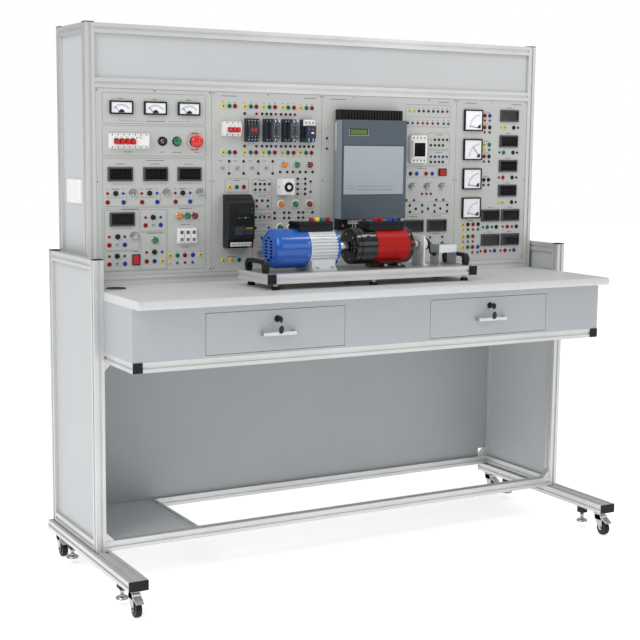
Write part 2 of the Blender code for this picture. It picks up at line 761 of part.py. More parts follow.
def cabinet_frame():
    front_y = CABINET_FRONT + PROFILE / 2
    rear_y = REAR - PROFILE / 2
    post_x = CABINET_SIDE - PROFILE / 2
    low = DESK_HEIGHT + GAP
    top = CABINET_HEIGHT - PROFILE / 2
    bottom = low + PROFILE / 2
    middle = MODULE_TOP + PROFILE / 2
    cross = CABINET_INNER + FUSE
    start = CABINET_FRONT + PROFILE - FUSE
    end = REAR - PROFILE + FUSE
    members = []
    caps = []
    for x in (-post_x, post_x):
        for y in (front_y, rear_y):
            members.append(((x, y, 0), "Z", low, CABINET_HEIGHT))
            caps.append(post_cap(x, y, CABINET_HEIGHT))
        for z in (bottom, top):
            members.append(((x, 0, z), "Y", start, end))
    for y, z in ((front_y, bottom), (front_y, middle), (front_y, top), (rear_y, bottom), (rear_y, top)):
        members.append(((0, y, z), "X", -cross, cross))
    members.sort(key=lambda member: member[1])
    profile_frame("cabinet_frame", members, caps)


def cabinet_cladding():
    low = MODULE_BOTTOM + GAP
    high = HEADER_TOP - GAP
    start = CABINET_FRONT + PROFILE + GAP
    end = REAR - PROFILE - GAP
    for name, side in (("cabinet_left_panel", -1), ("cabinet_right_panel", 1)):
        outer = side * (CABINET_SIDE - SIDE_PANEL_INSET)
        ends = sorted((outer, outer - side * SHEET))
        panel = Solid()
        panel.box((ends[0], start, low), (ends[1], end, high))
        panel = panel.object(name, WHITE_PAINT)
        if side < 0:
            outlet = Solid()
            centre_y = (start + end) / 2
            centre_z = low + OUTLET_HEIGHT_SHARE * (high - low)
            half_w = OUTLET_WIDTH / 2
            half_h = OUTLET_HEIGHT / 2
            made = outlet.box(
                (outer - OUTLET_PROUD, centre_y - half_w, centre_z - half_h),
                (outer + FUSE, centre_y + half_w, centre_z + half_h),
            )
            face = min((f for f in outlet.mesh.faces if f.verts[0] in made), key=face_x)
            bmesh.ops.bevel(
                outlet.mesh, geom=list(face.edges), offset=OUTLET_BEVEL, segments=1, affect="EDGES"
            )
            join(panel, outlet)
    back = Solid()
    rear = REAR - SIDE_PANEL_INSET
    half = CABINET_INNER - GAP
    back.box((-half, rear - SHEET, low), (half, rear, high))
    back.object("cabinet_back_panel", WHITE_PAINT)
    roof = Solid()
    roof_top = CABINET_HEIGHT - SIDE_PANEL_INSET
    roof.box((-half, start, roof_top - SHEET), (half, end, roof_top))
    roof.object("cabinet_top_panel", WHITE_PAINT)
    header = Solid()
    header_y = CABINET_FRONT + HEADER_INSET
    header.box((-half, header_y, HEADER_BOTTOM + GAP), (half, header_y + SHEET, HEADER_TOP - GAP))
    header.object("header_panel", PANEL_GREY)


def face_x(face):
    return face.calc_center_median().x


# Module panels: one sheet each, with the instruments that are screwed or clipped into it

MODULE_INSET = 0.002
MODULE_SHEET = 0.003
MODULE_SEAM = 0.0006
FIELD_MARGIN = 0.0057
PANEL_FACE = CABINET_FRONT + MODULE_INSET
PANEL_REAR = PANEL_FACE + MODULE_SHEET

MODULE_FIELD = 2 * CABINET_INNER
POWER = (GAP - CABINET_INNER, POWER_MODULE_SHARE * MODULE_FIELD - GAP)
CONTROL = (sum(POWER) + MODULE_SEAM, CONTROL_MODULE_SHARE * MODULE_FIELD - MODULE_SEAM)
DRIVE = (sum(CONTROL) + MODULE_SEAM, DRIVE_MODULE_SHARE * MODULE_FIELD - MODULE_SEAM)
METERS_LEFT = sum(DRIVE) + MODULE_SEAM
METERS = (METERS_LEFT, CABINET_INNER - GAP - METERS_LEFT)


def module_point(module, shares):
    """Place on the panel's face of a point given as shares of the module's width and height."""
    left, width = module
    return left + shares[0] * width, MODULE_BOTTOM + FIELD_MARGIN + shares[1] * MODULE_HEIGHT


def module_sheet(name, module):
    left, width = module
    sheet = Solid()
    sheet.box(
        (left, PANEL_FACE, MODULE_BOTTOM + GAP),
        (left + width, PANEL_REAR, MODULE_TOP - GAP),
    )
    return sheet.object(name, PANEL_GREY)


def block(solid, place, width, height, proud, offset=(0.0, 0.0)):
    """A box that stands on the panel's face round a place."""
    x = place[0] + offset[0]
    z = place[1] + offset[1]
    return solid.box(
        (x - width / 2, PANEL_FACE - proud, z - height / 2),
        (x + width / 2, PANEL_FACE + FUSE, z + height / 2),
    )


def instrument(solid, place, width, height, proud, rim, recess):
    """A panel instrument: its window lies sunk inside a rim."""
    made = set(block(solid, place, width, height, proud))
    faces = [face for face in solid.mesh.faces if face.verts[0] in made]
    front = min(faces, key=lambda face: face.calc_center_median().y)
    bmesh.ops.inset_region(solid.mesh, faces=[front], thickness=rim)
    bmesh.ops.inset_region(solid.mesh, faces=[front], thickness=recess / 2, depth=-recess)


def round_item(solid, place, profile, sides=SMALL_SIDES):
    """A turned item on the panel, its profile given as (distance in front of the panel, radius)."""
    x, z = place
    steps = [(-front, radius) for front, radius in profile]
    solid.turned(steps, along_axis((x, PANEL_FACE, z), "Y"), sides)


DIGITAL_WIDTH = 0.080
DIGITAL_HEIGHT = 0.042
DIGITAL_PROUD = 0.006
DIGITAL_RIM = 0.0045
ANALOG_WIDTH = 0.073
ANALOG_HEIGHT = 0.040
ANALOG_PROUD = 0.007
ANALOG_RIM = 0.0035
SQUARE_WIDTH = 0.079
SQUARE_HEIGHT = 0.074
SQUARE_PROUD = 0.012
SQUARE_RIM = 0.005
WINDOW_RECESS = 0.002
LAMP_RADIUS = 0.0105
LAMP_PROUD = 0.010
KNOB_RADIUS = 0.0095
KNOB_PROUD = 0.014


def digital_meter(solid, module, shares):
    place = module_point(module, shares)
    instrument(solid, place, DIGITAL_WIDTH, DIGITAL_HEIGHT, DIGITAL_PROUD, DIGITAL_RIM, WINDOW_RECESS)


def analog_meter(solid, module, shares):
    place = module_point(module, shares)
    instrument(solid, place, ANALOG_WIDTH, ANALOG_HEIGHT, ANALOG_PROUD, ANALOG_RIM, WINDOW_RECESS)


def square_meter(solid, module, shares):
    place = module_point(module, shares)
    instrument(solid, place, SQUARE_WIDTH, SQUARE_HEIGHT, SQUARE_PROUD, SQUARE_RIM, WINDOW_RECESS)


def lamp(solid, module, shares):
    profile = (
        (-FUSE, LAMP_RADIUS),
        (LAMP_PROUD * 3 / 5, LAMP_RADIUS),
        (LAMP_PROUD, LAMP_RADIUS / 2),
    )
    round_item(solid, module_point(module, shares), profile)


def knob(solid, module, shares):
    round_item(solid, module_point(module, shares), ((-FUSE, KNOB_RADIUS), (KNOB_PROUD, KNOB_RADIUS)))


def collar(panel, place, radius, proud, hole_radius):
    """Joins a round collar to a panel and bores it through for a moving insert."""
    ring = Solid()
    round_item(ring, place, ((-FUSE, radius), (proud, radius)), ROUND_SIDES)
    join(panel, ring)
    bore = Solid()
    through = ((proud + OVERRUN, hole_radius), (-MODULE_SHEET - OVERRUN, hole_radius))
    round_item(bore, place, through)
    cut(panel, bore)


# Controls on the panels

BUTTON_RADIUS = 0.011
BUTTON_PROUD = 0.008
BUTTON_TAIL = 0.010
BUTTON_COLLAR_RADIUS = 0.0145
BUTTON_COLLAR_PROUD = 0.0035
STOP_RADIUS = 0.020
STOP_HEAD = 0.016
STOP_STAND = 0.012
STOP_STEM_RADIUS = 0.009
STOP_COLLAR_RADIUS = 0.014
STOP_COLLAR_PROUD = 0.006
STOP_ROUNDING = 0.004
KEY_BARREL_RADIUS = 0.007
KEY_COLLAR_RADIUS = 0.011
KEY_COLLAR_PROUD = 0.006
KEY_BARREL_PROUD = 0.0075

STOP_SHARES = (0.850, 0.713)
KEY_SHARES = (0.563, 0.713)
MAIN_BREAKER_SHARES = (0.272, 0.713)
ROCKER_SHARES = (0.330, 0.0735)
BUTTON_SHARES = (
    ("orange", 0.625, 0.362, ORANGE_PLASTIC),
    ("green", 0.757, 0.362, GREEN_PLASTIC),
    ("red", 0.889, 0.362, RED_PLASTIC),
)
MOTOR_BREAKER_SHARES = (0.157, 0.785)
TIMER_SHARES = (0.643, 0.462)


def push_buttons(panel):
    for colour, across, up, finish in BUTTON_SHARES:
        place = module_point(CONTROL, (across, up))
        collar(panel, place, BUTTON_COLLAR_RADIUS, BUTTON_COLLAR_PROUD, BUTTON_RADIUS + GAP)
        button = Solid()
        round_item(button, place, ((-BUTTON_TAIL, BUTTON_RADIUS), (BUTTON_PROUD, BUTTON_RADIUS)))
        made = button.object(colour + "_push_button", finish)
        round_shading(set_origin(made, (place[0], PANEL_FACE, place[1])))


def stop_button(panel):
    """The latching mushroom head that cuts the supply."""
    place = module_point(POWER, STOP_SHARES)
    collar(panel, place, STOP_COLLAR_RADIUS, STOP_COLLAR_PROUD, STOP_STEM_RADIUS + GAP)
    head = Solid()
    profile = (
        (-BUTTON_TAIL, STOP_STEM_RADIUS),
        (STOP_STAND, STOP_STEM_RADIUS),
        (STOP_STAND, STOP_RADIUS - STOP_ROUNDING),
        (STOP_STAND + STOP_ROUNDING, STOP_RADIUS),
        (STOP_STAND + STOP_HEAD - STOP_ROUNDING, STOP_RADIUS),
        (STOP_STAND + STOP_HEAD, STOP_RADIUS - STOP_ROUNDING),
    )
    round_item(head, place, profile, ROUND_SIDES)
    made = head.object("emergency_stop_button", RED_PLASTIC)
    round_shading(set_origin(made, (place[0], PANEL_FACE, place[1])))


def key_switch(panel):
    place = module_point(POWER, KEY_SHARES)
    collar(panel, place, KEY_COLLAR_RADIUS, KEY_COLLAR_PROUD, KEY_BARREL_RADIUS + GAP)
    barrel = Solid()
    profile = ((-BUTTON_TAIL, KEY_BARREL_RADIUS), (KEY_BARREL_PROUD, KEY_BARREL_RADIUS))
    round_item(barrel, place, profile)
    switch = barrel.object("key_switch", CHROME)
    x, z = place
    half = KEY_BOW_THICKNESS / 2
    reach = KEY_BARREL_PROUD + KEY_SHANK_LENGTH
    shank = Solid()
    shank.box(
        (x - half, PANEL_FACE - reach, z - KEY_SHANK_HEIGHT / 2),
        (x + half, PANEL_FACE - KEY_BARREL_PROUD + FUSE, z + KEY_SHANK_HEIGHT / 2),
    )
    join(switch, shank)
    bow = Solid()
    centre = (x, PANEL_FACE - reach - KEY_BOW_RADIUS + FUSE, z)
    bow.rod(centre, "X", -half, half, KEY_BOW_RADIUS, SMALL_SIDES)
    join(switch, bow)
    round_shading(set_origin(switch, (x, PANEL_FACE, z)))


def tilted(outline, angle):
    """Turns an outline about its own origin, from its first axis towards its second."""
    turn_cos = math.cos(angle)
    turn_sin = math.sin(angle)
    return [(a * turn_cos - b * turn_sin, a * turn_sin + b * turn_cos) for a, b in outline]


BREAKER_HEIGHT = 0.045
MAIN_BREAKER_WIDTH = 0.128
MAIN_BREAKER_PROUD = 0.016
MOTOR_BREAKER_WIDTH = 0.058
MOTOR_BREAKER_PROUD = 0.030
LEVER_PIVOT_DEPTH = 0.006
LEVER_HUB_RADIUS = 0.004
LEVER_ARM_THICKNESS = 0.0035
LEVER_BAR_START = 0.011
LEVER_BAR_END = 0.017
LEVER_BAR_HEIGHT = 0.009
LEVER_SLOT_HEIGHT = 0.020
LEVER_SLOT_DEPTH = 0.0105
LEVER_REST_TILT = math.radians(25)
MAIN_LEVER_WIDTH = 0.070
MAIN_LEVER_SHARE = 0.37
MOTOR_LEVER_WIDTH = 0.044
MOTOR_LEVER_SHARE = 0.50


def breaker(panel, name, place, width, proud, lever_width, lever_share):
    """A modular circuit breaker and its ganged toggles, down in the off position at rest."""
    body = Solid()
    block(body, place, width, BREAKER_HEIGHT, proud)
    join(panel, body)
    lever_x = place[0] - width / 2 + lever_share * width
    nose_y = PANEL_FACE - proud
    z = place[1]
    half = lever_width / 2
    slot = Solid()
    slot.box(
        (lever_x - half - GAP, nose_y - OVERRUN, z - LEVER_SLOT_HEIGHT / 2),
        (lever_x + half + GAP, nose_y + LEVER_SLOT_DEPTH, z + LEVER_SLOT_HEIGHT / 2),
    )
    cut(panel, slot)
    pivot_y = nose_y + LEVER_PIVOT_DEPTH
    hub = LEVER_HUB_RADIUS
    arm = LEVER_ARM_THICKNESS / 2
    bar = LEVER_BAR_HEIGHT / 2
    outline = (
        (hub, -hub / 2),
        (hub, hub / 2),
        (hub / 2, hub),
        (-hub / 2, hub),
        (-hub, arm),
        (-LEVER_BAR_START, arm),
        (-LEVER_BAR_START, bar),
        (-LEVER_BAR_END, bar),
        (-LEVER_BAR_END, -bar),
        (-LEVER_BAR_START, -bar),
        (-LEVER_BAR_START, -arm),
        (-hub, -arm),
        (-hub / 2, -hub),
        (hub / 2, -hub),
    )
    shape = tilted(outline, LEVER_REST_TILT)
    lever = Solid()
    lever.prism(shape, lambda a, b, t: (lever_x + t, pivot_y + a, z + b), -half, half)
    made = lever.object(name, RED_PLASTIC)
    set_origin(made, (lever_x, pivot_y, z))


ROCKER_FRAME_WIDTH = 0.025
ROCKER_FRAME_HEIGHT = 0.033
ROCKER_FRAME_PROUD = 0.002
ROCKER_WALL = 0.002
ROCKER_HALF_HEIGHT = 0.0125
ROCKER_PROUD = 0.005
ROCKER_DISH = 0.0025
ROCKER_PIVOT_DEPTH = 0.004
ROCKER_TAIL = 0.004
ROCKER_REST_TILT = math.radians(8)


def rocker_switch(panel):
    place = module_point(POWER, ROCKER_SHARES)
    frame = Solid()
    block(frame, place, ROCKER_FRAME_WIDTH, ROCKER_FRAME_HEIGHT, ROCKER_FRAME_PROUD)
    join(panel, frame)
    x, z = place
    half_width = ROCKER_FRAME_WIDTH / 2 - ROCKER_WALL
    half_height = ROCKER_FRAME_HEIGHT / 2 - ROCKER_WALL
    window = Solid()
    window.box(
        (x - half_width, PANEL_FACE - ROCKER_FRAME_PROUD - OVERRUN, z - half_height),
        (x + half_width, PANEL_REAR + OVERRUN, z + half_height),
    )
    cut(panel, window)
    pivot_y = PANEL_FACE + ROCKER_PIVOT_DEPTH
    front = ROCKER_PIVOT_DEPTH + ROCKER_PROUD
    outline = (
        (-front, ROCKER_HALF_HEIGHT),
        (ROCKER_DISH - front, 0.0),
        (-front, -ROCKER_HALF_HEIGHT),
        (ROCKER_TAIL, -ROCKER_HALF_HEIGHT * 3 / 4),
        (ROCKER_TAIL, ROCKER_HALF_HEIGHT * 3 / 4),
    )
    shape = tilted(outline, ROCKER_REST_TILT)
    rocker = Solid()
    reach = half_width - GAP
    rocker.prism(shape, lambda a, b, t: (x + t, pivot_y + a, z + b), -reach, reach)
    made = rocker.object("power_rocker_switch", RED_PLASTIC)
    set_origin(made, (x, pivot_y, z))


POWER_ANALOG_SHARES = ((0.214, 0.889), (0.503, 0.889), (0.796, 0.889))
POWER_DIGITAL_SHARES = ((0.203, 0.535), (0.505, 0.535), (0.800, 0.535), (0.216, 0.294))
POWER_LAMP_SHARES = ((0.692, 0.713), (0.495, 0.178), (0.710, 0.307), (0.779, 0.307), (0.845, 0.307))
POWER_KNOB_SHARES = ((0.313, 0.433), (0.603, 0.433), (0.897, 0.433), (0.321, 0.200))
FUSE_BLOCK_SHARES = (0.771, 0.197)
FUSE_BLOCK_WIDTH = 0.066
FUSE_BLOCK_HEIGHT = 0.048
FUSE_BLOCK_PROUD = 0.014


def power_module():
    panel = module_sheet("power_module_panel", POWER)
    items = Solid()
    for shares in POWER_ANALOG_SHARES:
        analog_meter(items, POWER, shares)
    for shares in POWER_DIGITAL_SHARES:
        digital_meter(items, POWER, shares)
    for shares in POWER_LAMP_SHARES:
        lamp(items, POWER, shares)
    for shares in POWER_KNOB_SHARES:
        knob(items, POWER, shares)
    place = module_point(POWER, FUSE_BLOCK_SHARES)
    block(items, place, FUSE_BLOCK_WIDTH, FUSE_BLOCK_HEIGHT, FUSE_BLOCK_PROUD)
    join(panel, items)
    breaker(
        panel,
        "main_breaker_lever",
        module_point(POWER, MAIN_BREAKER_SHARES),
        MAIN_BREAKER_WIDTH,
        MAIN_BREAKER_PROUD,
        MAIN_LEVER_WIDTH,
        MAIN_LEVER_SHARE,
    )
    stop_button(panel)
    key_switch(panel)
    rocker_switch(panel)
    round_shading(panel)


CONTROL_LAMP_SHARES = ((0.651, 0.589), (0.767, 0.589), (0.889, 0.589))
CONTACTOR_SHARES = ((0.343, 0.780), (0.507, 0.780), (0.677, 0.780), (0.849, 0.780))
CONTACTOR_WIDTH = 0.045
CONTACTOR_HEIGHT = 0.074
CONTACTOR_PROUD = 0.020
CONTACTOR_NOSE_HEIGHT = 0.036
CONTACTOR_NOSE_PROUD = 0.026
AUXILIARY_WIDTH = 0.033
AUXILIARY_HEIGHT = 0.056
AUXILIARY_PROUD = 0.040
OVERLOAD_HEIGHT = 0.046
OVERLOAD_PROUD = 0.034
TIMER_WIDTH = 0.048
TIMER_HEIGHT = 0.053
TIMER_PROUD = 0.040
DIAL_RADIUS = 0.0165
DIAL_PROUD = 0.0035
SPINDLE_RADIUS = 0.004
SPINDLE_LENGTH = 0.007
SIDE_BUTTON_SHARES = (0.616, 0.229)


def control_module():
    panel = module_sheet("control_module_panel", CONTROL)
    items = Solid()
    for shares in CONTROL_LAMP_SHARES:
        lamp(items, CONTROL, shares)
    round_item(
        items,
        module_point(CONTROL, SIDE_BUTTON_SHARES),
        ((-FUSE, BUTTON_COLLAR_RADIUS), (BUTTON_PROUD, BUTTON_RADIUS)),
    )
    join(panel, items)
    bodies = Solid()
    fronts = Solid()
    for i, shares in enumerate(CONTACTOR_SHARES):
        place = module_point(CONTROL, shares)
        block(bodies, place, CONTACTOR_WIDTH, CONTACTOR_HEIGHT, CONTACTOR_PROUD)
        lift = (CONTACTOR_WIDTH - AUXILIARY_WIDTH) / 2 - FUSE
        if i == 0:
            block(fronts, place, CONTACTOR_WIDTH - FUSE, CONTACTOR_NOSE_HEIGHT, CONTACTOR_NOSE_PROUD)
        elif i < len(CONTACTOR_SHARES) - 1:
            block(fronts, place, AUXILIARY_WIDTH, AUXILIARY_HEIGHT, AUXILIARY_PROUD, (lift, 0.0))
        else:
            drop = (OVERLOAD_HEIGHT - CONTACTOR_HEIGHT) / 2 + FUSE
            block(fronts, place, AUXILIARY_WIDTH, OVERLOAD_HEIGHT, OVERLOAD_PROUD, (lift, drop))
    join(panel, bodies)
    join(panel, fronts)
    place = module_point(CONTROL, TIMER_SHARES)
    timer = Solid()
    block(timer, place, TIMER_WIDTH, TIMER_HEIGHT, TIMER_PROUD)
    join(panel, timer)
    hole = Solid()
    hole_radius = SPINDLE_RADIUS + GAP
    socket = ((TIMER_PROUD + OVERRUN, hole_radius), (TIMER_PROUD - SPINDLE_LENGTH - GAP, hole_radius))
    round_item(hole, place, socket)
    cut(panel, hole)
    dial = Solid()
    profile = (
        (TIMER_PROUD - SPINDLE_LENGTH, SPINDLE_RADIUS),
        (TIMER_PROUD + GAP, SPINDLE_RADIUS),
        (TIMER_PROUD + GAP, DIAL_RADIUS),
        (TIMER_PROUD + GAP + DIAL_PROUD, DIAL_RADIUS),
    )
    round_item(dial, place, profile)
    made = dial.object("timer_dial", WHITE_PAINT)
    round_shading(set_origin(made, (place[0], PANEL_FACE - TIMER_PROUD, place[1])))
    breaker(
        panel,
        "motor_breaker_lever",
        module_point(CONTROL, MOTOR_BREAKER_SHARES),
        MOTOR_BREAKER_WIDTH,
        MOTOR_BREAKER_PROUD,
        MOTOR_LEVER_WIDTH,
        MOTOR_LEVER_SHARE,
    )
    push_buttons(panel)
    round_shading(panel)


RELAY_SHARES = (0.697, 0.683)
RELAY_WIDTH = 0.066
RELAY_HEIGHT = 0.094
RELAY_PROUD = 0.024
DRIVE_ROCKER_SHARES = (0.899, 0.545)
DRIVE_KNOB_SHARES = ((0.664, 0.456), (0.782, 0.456), (0.896, 0.456))
DRIVE_DIGITAL_SHARES = ((0.684, 0.219), (0.864, 0.219))


def drive_module():
    panel = module_sheet("drive_module_panel", DRIVE)
    items = Solid()
    block(items, module_point(DRIVE, RELAY_SHARES), RELAY_WIDTH, RELAY_HEIGHT, RELAY_PROUD)
    place = module_point(DRIVE, DRIVE_ROCKER_SHARES)
    block(items, place, ROCKER_FRAME_HEIGHT, ROCKER_FRAME_WIDTH, ROCKER_PROUD)
    for shares in DRIVE_KNOB_SHARES:
        knob(items, DRIVE, shares)
    for shares in DRIVE_DIGITAL_SHARES:
        digital_meter(items, DRIVE, shares)
    join(panel, items)
    round_shading(panel)


SQUARE_METER_SHARES = ((0.229, 0.863), (0.229, 0.684), (0.229, 0.503), (0.229, 0.323))
METER_DIGITAL_SHARES = (
    (0.742, 0.895),
    (0.742, 0.737),
    (0.742, 0.582),
    (0.742, 0.428),
    (0.508, 0.273),
    (0.794, 0.273),
    (0.515, 0.120),
    (0.800, 0.120),
)


def meter_module():
    panel = module_sheet("meter_module_panel", METERS)
    items = Solid()
    for shares in SQUARE_METER_SHARES:
        square_meter(items, METERS, shares)
    for shares in METER_DIGITAL_SHARES:
        digital_meter(items, METERS, shares)
    join(panel, items)


# Drives screwed to the panels

DC_DRIVE_WIDTH = 0.250
DC_DRIVE_HEIGHT = 0.6986 * MODULE_HEIGHT
DC_DRIVE_PROUD = 0.055
DC_DRIVE_SHARES = (0.323, 0.5585)
DC_DRIVE_CHAMFER = 0.010
DC_DRIVE_LID_PROUD = 0.004
DC_DRIVE_LID_SHARES = (0.94, 0.40, 0.50)
DC_DRIVE_COVER_SHARES = (0.96, 0.13, 0.08)
INVERTER_WIDTH = 0.090
INVERTER_HEIGHT = 0.168
INVERTER_PROUD = 0.048
INVERTER_SHARES = (0.211, 0.273)
INVERTER_SLOPE = 0.020
INVERTER_LEDGE = 0.026
INVERTER_STEP = 0.010


def dc_drive():
    """A wall-mounted thyristor drive: chamfered housing with a raised lid and a terminal cover."""
    x, z = module_point(DRIVE, DC_DRIVE_SHARES)
    back = PANEL_FACE - GAP
    front = PANEL_FACE - DC_DRIVE_PROUD
    half = DC_DRIVE_WIDTH / 2
    low = z - DC_DRIVE_HEIGHT / 2
    chamfer = DC_DRIVE_CHAMFER
    outline = (
        (x - half, back),
        (x - half, front + chamfer),
        (x - half + chamfer, front),
        (x + half - chamfer, front),
        (x + half, front + chamfer),
        (x + half, back),
    )
    body = Solid()
    body.prism(outline, lambda a, b, t: (a, b, t), low, low + DC_DRIVE_HEIGHT)
    drive = body.object("dc_drive", SLATE_PLASTIC)
    for width_share, height_share, place_share in (DC_DRIVE_LID_SHARES, DC_DRIVE_COVER_SHARES):
        lid_half = width_share * half - chamfer
        lid_z = low + place_share * DC_DRIVE_HEIGHT
        lid_height = height_share * DC_DRIVE_HEIGHT
        lid = Solid()
        lid.box(
            (x - lid_half, front - DC_DRIVE_LID_PROUD, lid_z - lid_height / 2),
            (x + lid_half, front + FUSE, lid_z + lid_height / 2),
        )
        join(drive, lid)


def inverter():
    """A compact frequency inverter with sloped top and a stepped-back terminal ledge below."""
    x, z = module_point(CONTROL, INVERTER_SHARES)
    back = PANEL_FACE - GAP
    front = PANEL_FACE - INVERTER_PROUD
    low = z - INVERTER_HEIGHT / 2
    high = z + INVERTER_HEIGHT / 2
    outline = (
        (back, low),
        (front + INVERTER_STEP, low),
        (front + INVERTER_STEP, low + INVERTER_LEDGE),
        (front, low + INVERTER_LEDGE),
        (front, high - INVERTER_SLOPE),
        (front + INVERTER_SLOPE, high),
        (back, high),
    )
    half = INVERTER_WIDTH / 2
    body = Solid()
    body.prism(outline, along_axis((x, 0, 0), "X"), -half, half)
    body.object("inverter", CHARCOAL_PLASTIC)


# Motor set: a portable base with an induction motor, a direct current motor and an encoder

RUBBER_FOOT_RADIUS = 0.012
RUBBER_FOOT_HEIGHT = 0.0185
RUBBER_FOOT_INSET = 0.018
END_MARGIN = 0.054
COWL_LENGTH = 0.118
STATOR_LENGTH = 0.095
END_BELL_LENGTH = 0.026
COUPLING_LENGTH = 0.041
DC_BELL_LENGTH = 0.081
DC_BODY_LENGTH = 0.120
DC_RIM_LENGTH = 0.022
ENCODER_COUPLING_LENGTH = 0.043
BRACKET_LENGTH = 0.017
CHANNEL_OFFSET = 0.050
CHANNEL_LENGTH = 0.069
CHANNEL_MARGIN = 0.030
AC_RADIUS = 0.061
DC_RADIUS = 0.0575
MOTOR_SET_SHIFT = 0.011
MOTOR_SET_SETBACK = 0.110
SHAFT_RADIUS = 0.007

RUN_LENGTHS = (
    END_MARGIN,
    COWL_LENGTH,
    STATOR_LENGTH,
    END_BELL_LENGTH,
    COUPLING_LENGTH,
    DC_BELL_LENGTH,
    DC_BODY_LENGTH,
    DC_RIM_LENGTH,
    ENCODER_COUPLING_LENGTH,
    BRACKET_LENGTH,
    CHANNEL_OFFSET,
    CHANNEL_LENGTH,
    CHANNEL_MARGIN,
)
MOTOR_BASE_WIDTH = sum(RUN_LENGTHS)
BASE_LEFT = -MOTOR_SET_SHIFT - MOTOR_BASE_WIDTH / 2
BASE_RIGHT = BASE_LEFT + MOTOR_BASE_WIDTH
BASE_FRONT = FRONT - DESK_REACH + MOTOR_SET_SETBACK
BASE_BACK = BASE_FRONT + MOTOR_BASE_DEPTH
BASE_BOTTOM = DESK_HEIGHT + RUBBER_FOOT_HEIGHT
BASE_TOP = BASE_BOTTOM + PROFILE
SHAFT_Y = BASE_FRONT + MOTOR_BASE_DEPTH / 2
SHAFT_Z = BASE_TOP + SHAFT_HEIGHT
COWL_START = BASE_LEFT + END_MARGIN
STATOR_START = COWL_START + COWL_LENGTH
END_BELL_START = STATOR_START + STATOR_LENGTH
COUPLING_START = END_BELL_START + END_BELL_LENGTH
DC_BELL_START = COUPLING_START + COUPLING_LENGTH
DC_BODY_START = DC_BELL_START + DC_BELL_LENGTH
DC_RIM_START = DC_BODY_START + DC_BODY_LENGTH
DC_END = DC_RIM_START + DC_RIM_LENGTH
BRACKET_START = DC_END + ENCODER_COUPLING_LENGTH
BRACKET_END = BRACKET_START + BRACKET_LENGTH
CHANNEL_START = BRACKET_END + CHANNEL_OFFSET
CHANNEL_END = CHANNEL_START + CHANNEL_LENGTH

DECK_THICKNESS = 0.003
CHANNEL_WALL = 0.002
CHANNEL_HEIGHT = 0.065
CHANNEL_DEPTH = 0.050
FOOT_SIDES = 10


def motor_base():
    middle = BASE_BOTTOM + PROFILE / 2
    left_x = BASE_LEFT + PROFILE / 2
    right_x = BASE_RIGHT - PROFILE / 2
    front_y = BASE_FRONT + PROFILE / 2
    back_y = BASE_BACK - PROFILE / 2
    start = BASE_LEFT + PROFILE - FUSE
    end = BASE_RIGHT - PROFILE + FUSE
    members = (
        ((0, front_y, middle), "X", start, end),
        ((0, back_y, middle), "X", start, end),
        ((left_x, 0, middle), "Y", BASE_FRONT, BASE_BACK),
        ((right_x, 0, middle), "Y", BASE_FRONT, BASE_BACK),
    )
    half = PROFILE / 2 - CAP_INSET
    caps = []
    for x in (left_x, right_x):
        low = (x - half, BASE_FRONT - CAP_THICKNESS, middle - half)
        caps.append((low, (x + half, BASE_FRONT + FUSE, middle + half)))
    base = profile_frame("motor_base", members, caps)
    deck = Solid()
    deck.box(
        (start, front_y + PROFILE / 2 - FUSE, BASE_TOP - DECK_THICKNESS),
        (end, back_y - PROFILE / 2 + FUSE, BASE_TOP),
    )
    join(base, deck)
    outside = ((CHANNEL_START, BASE_TOP - FUSE), (CHANNEL_END, BASE_TOP + CHANNEL_HEIGHT))
    channel = Solid()
    half_depth = CHANNEL_DEPTH / 2
    channel.box(
        (outside[0][0], SHAFT_Y - half_depth, outside[0][1]),
        (outside[1][0], SHAFT_Y + half_depth, outside[1][1]),
    )
    join(base, channel)
    hollow = Solid()
    hollow.box(
        (CHANNEL_START + CHANNEL_WALL, SHAFT_Y - half_depth - OVERRUN, BASE_TOP),
        (CHANNEL_END - CHANNEL_WALL, SHAFT_Y + half_depth + OVERRUN, BASE_TOP + CHANNEL_HEIGHT - CHANNEL_WALL),
    )
    cut(base, hollow)
    inset = RUBBER_FOOT_INSET
    ends = (BASE_LEFT + 2 * inset, (BASE_LEFT + BASE_RIGHT) / 2, BASE_RIGHT - 2 * inset)
    feet = Solid()
    for x in ends:
        for y in (BASE_FRONT + inset, BASE_BACK - inset):
            profile = (
                (0, RUBBER_FOOT_RADIUS),
                (RUBBER_FOOT_HEIGHT / 2, RUBBER_FOOT_RADIUS),
                (RUBBER_FOOT_HEIGHT / 2, RUBBER_FOOT_RADIUS / 2),
                (RUBBER_FOOT_HEIGHT + GROOVE_DEPTH + FUSE, RUBBER_FOOT_RADIUS / 2),
            )
            feet.turned(profile, along_axis((x, y, DESK_HEIGHT), "Z"), FOOT_SIDES)
    join(base, feet)
    round_shading(base)


CARRY_LENGTH = 0.130
CARRY_HEIGHT = 0.038
CARRY_WIDTH = 0.020
CARRY_THICKNESS = 0.011


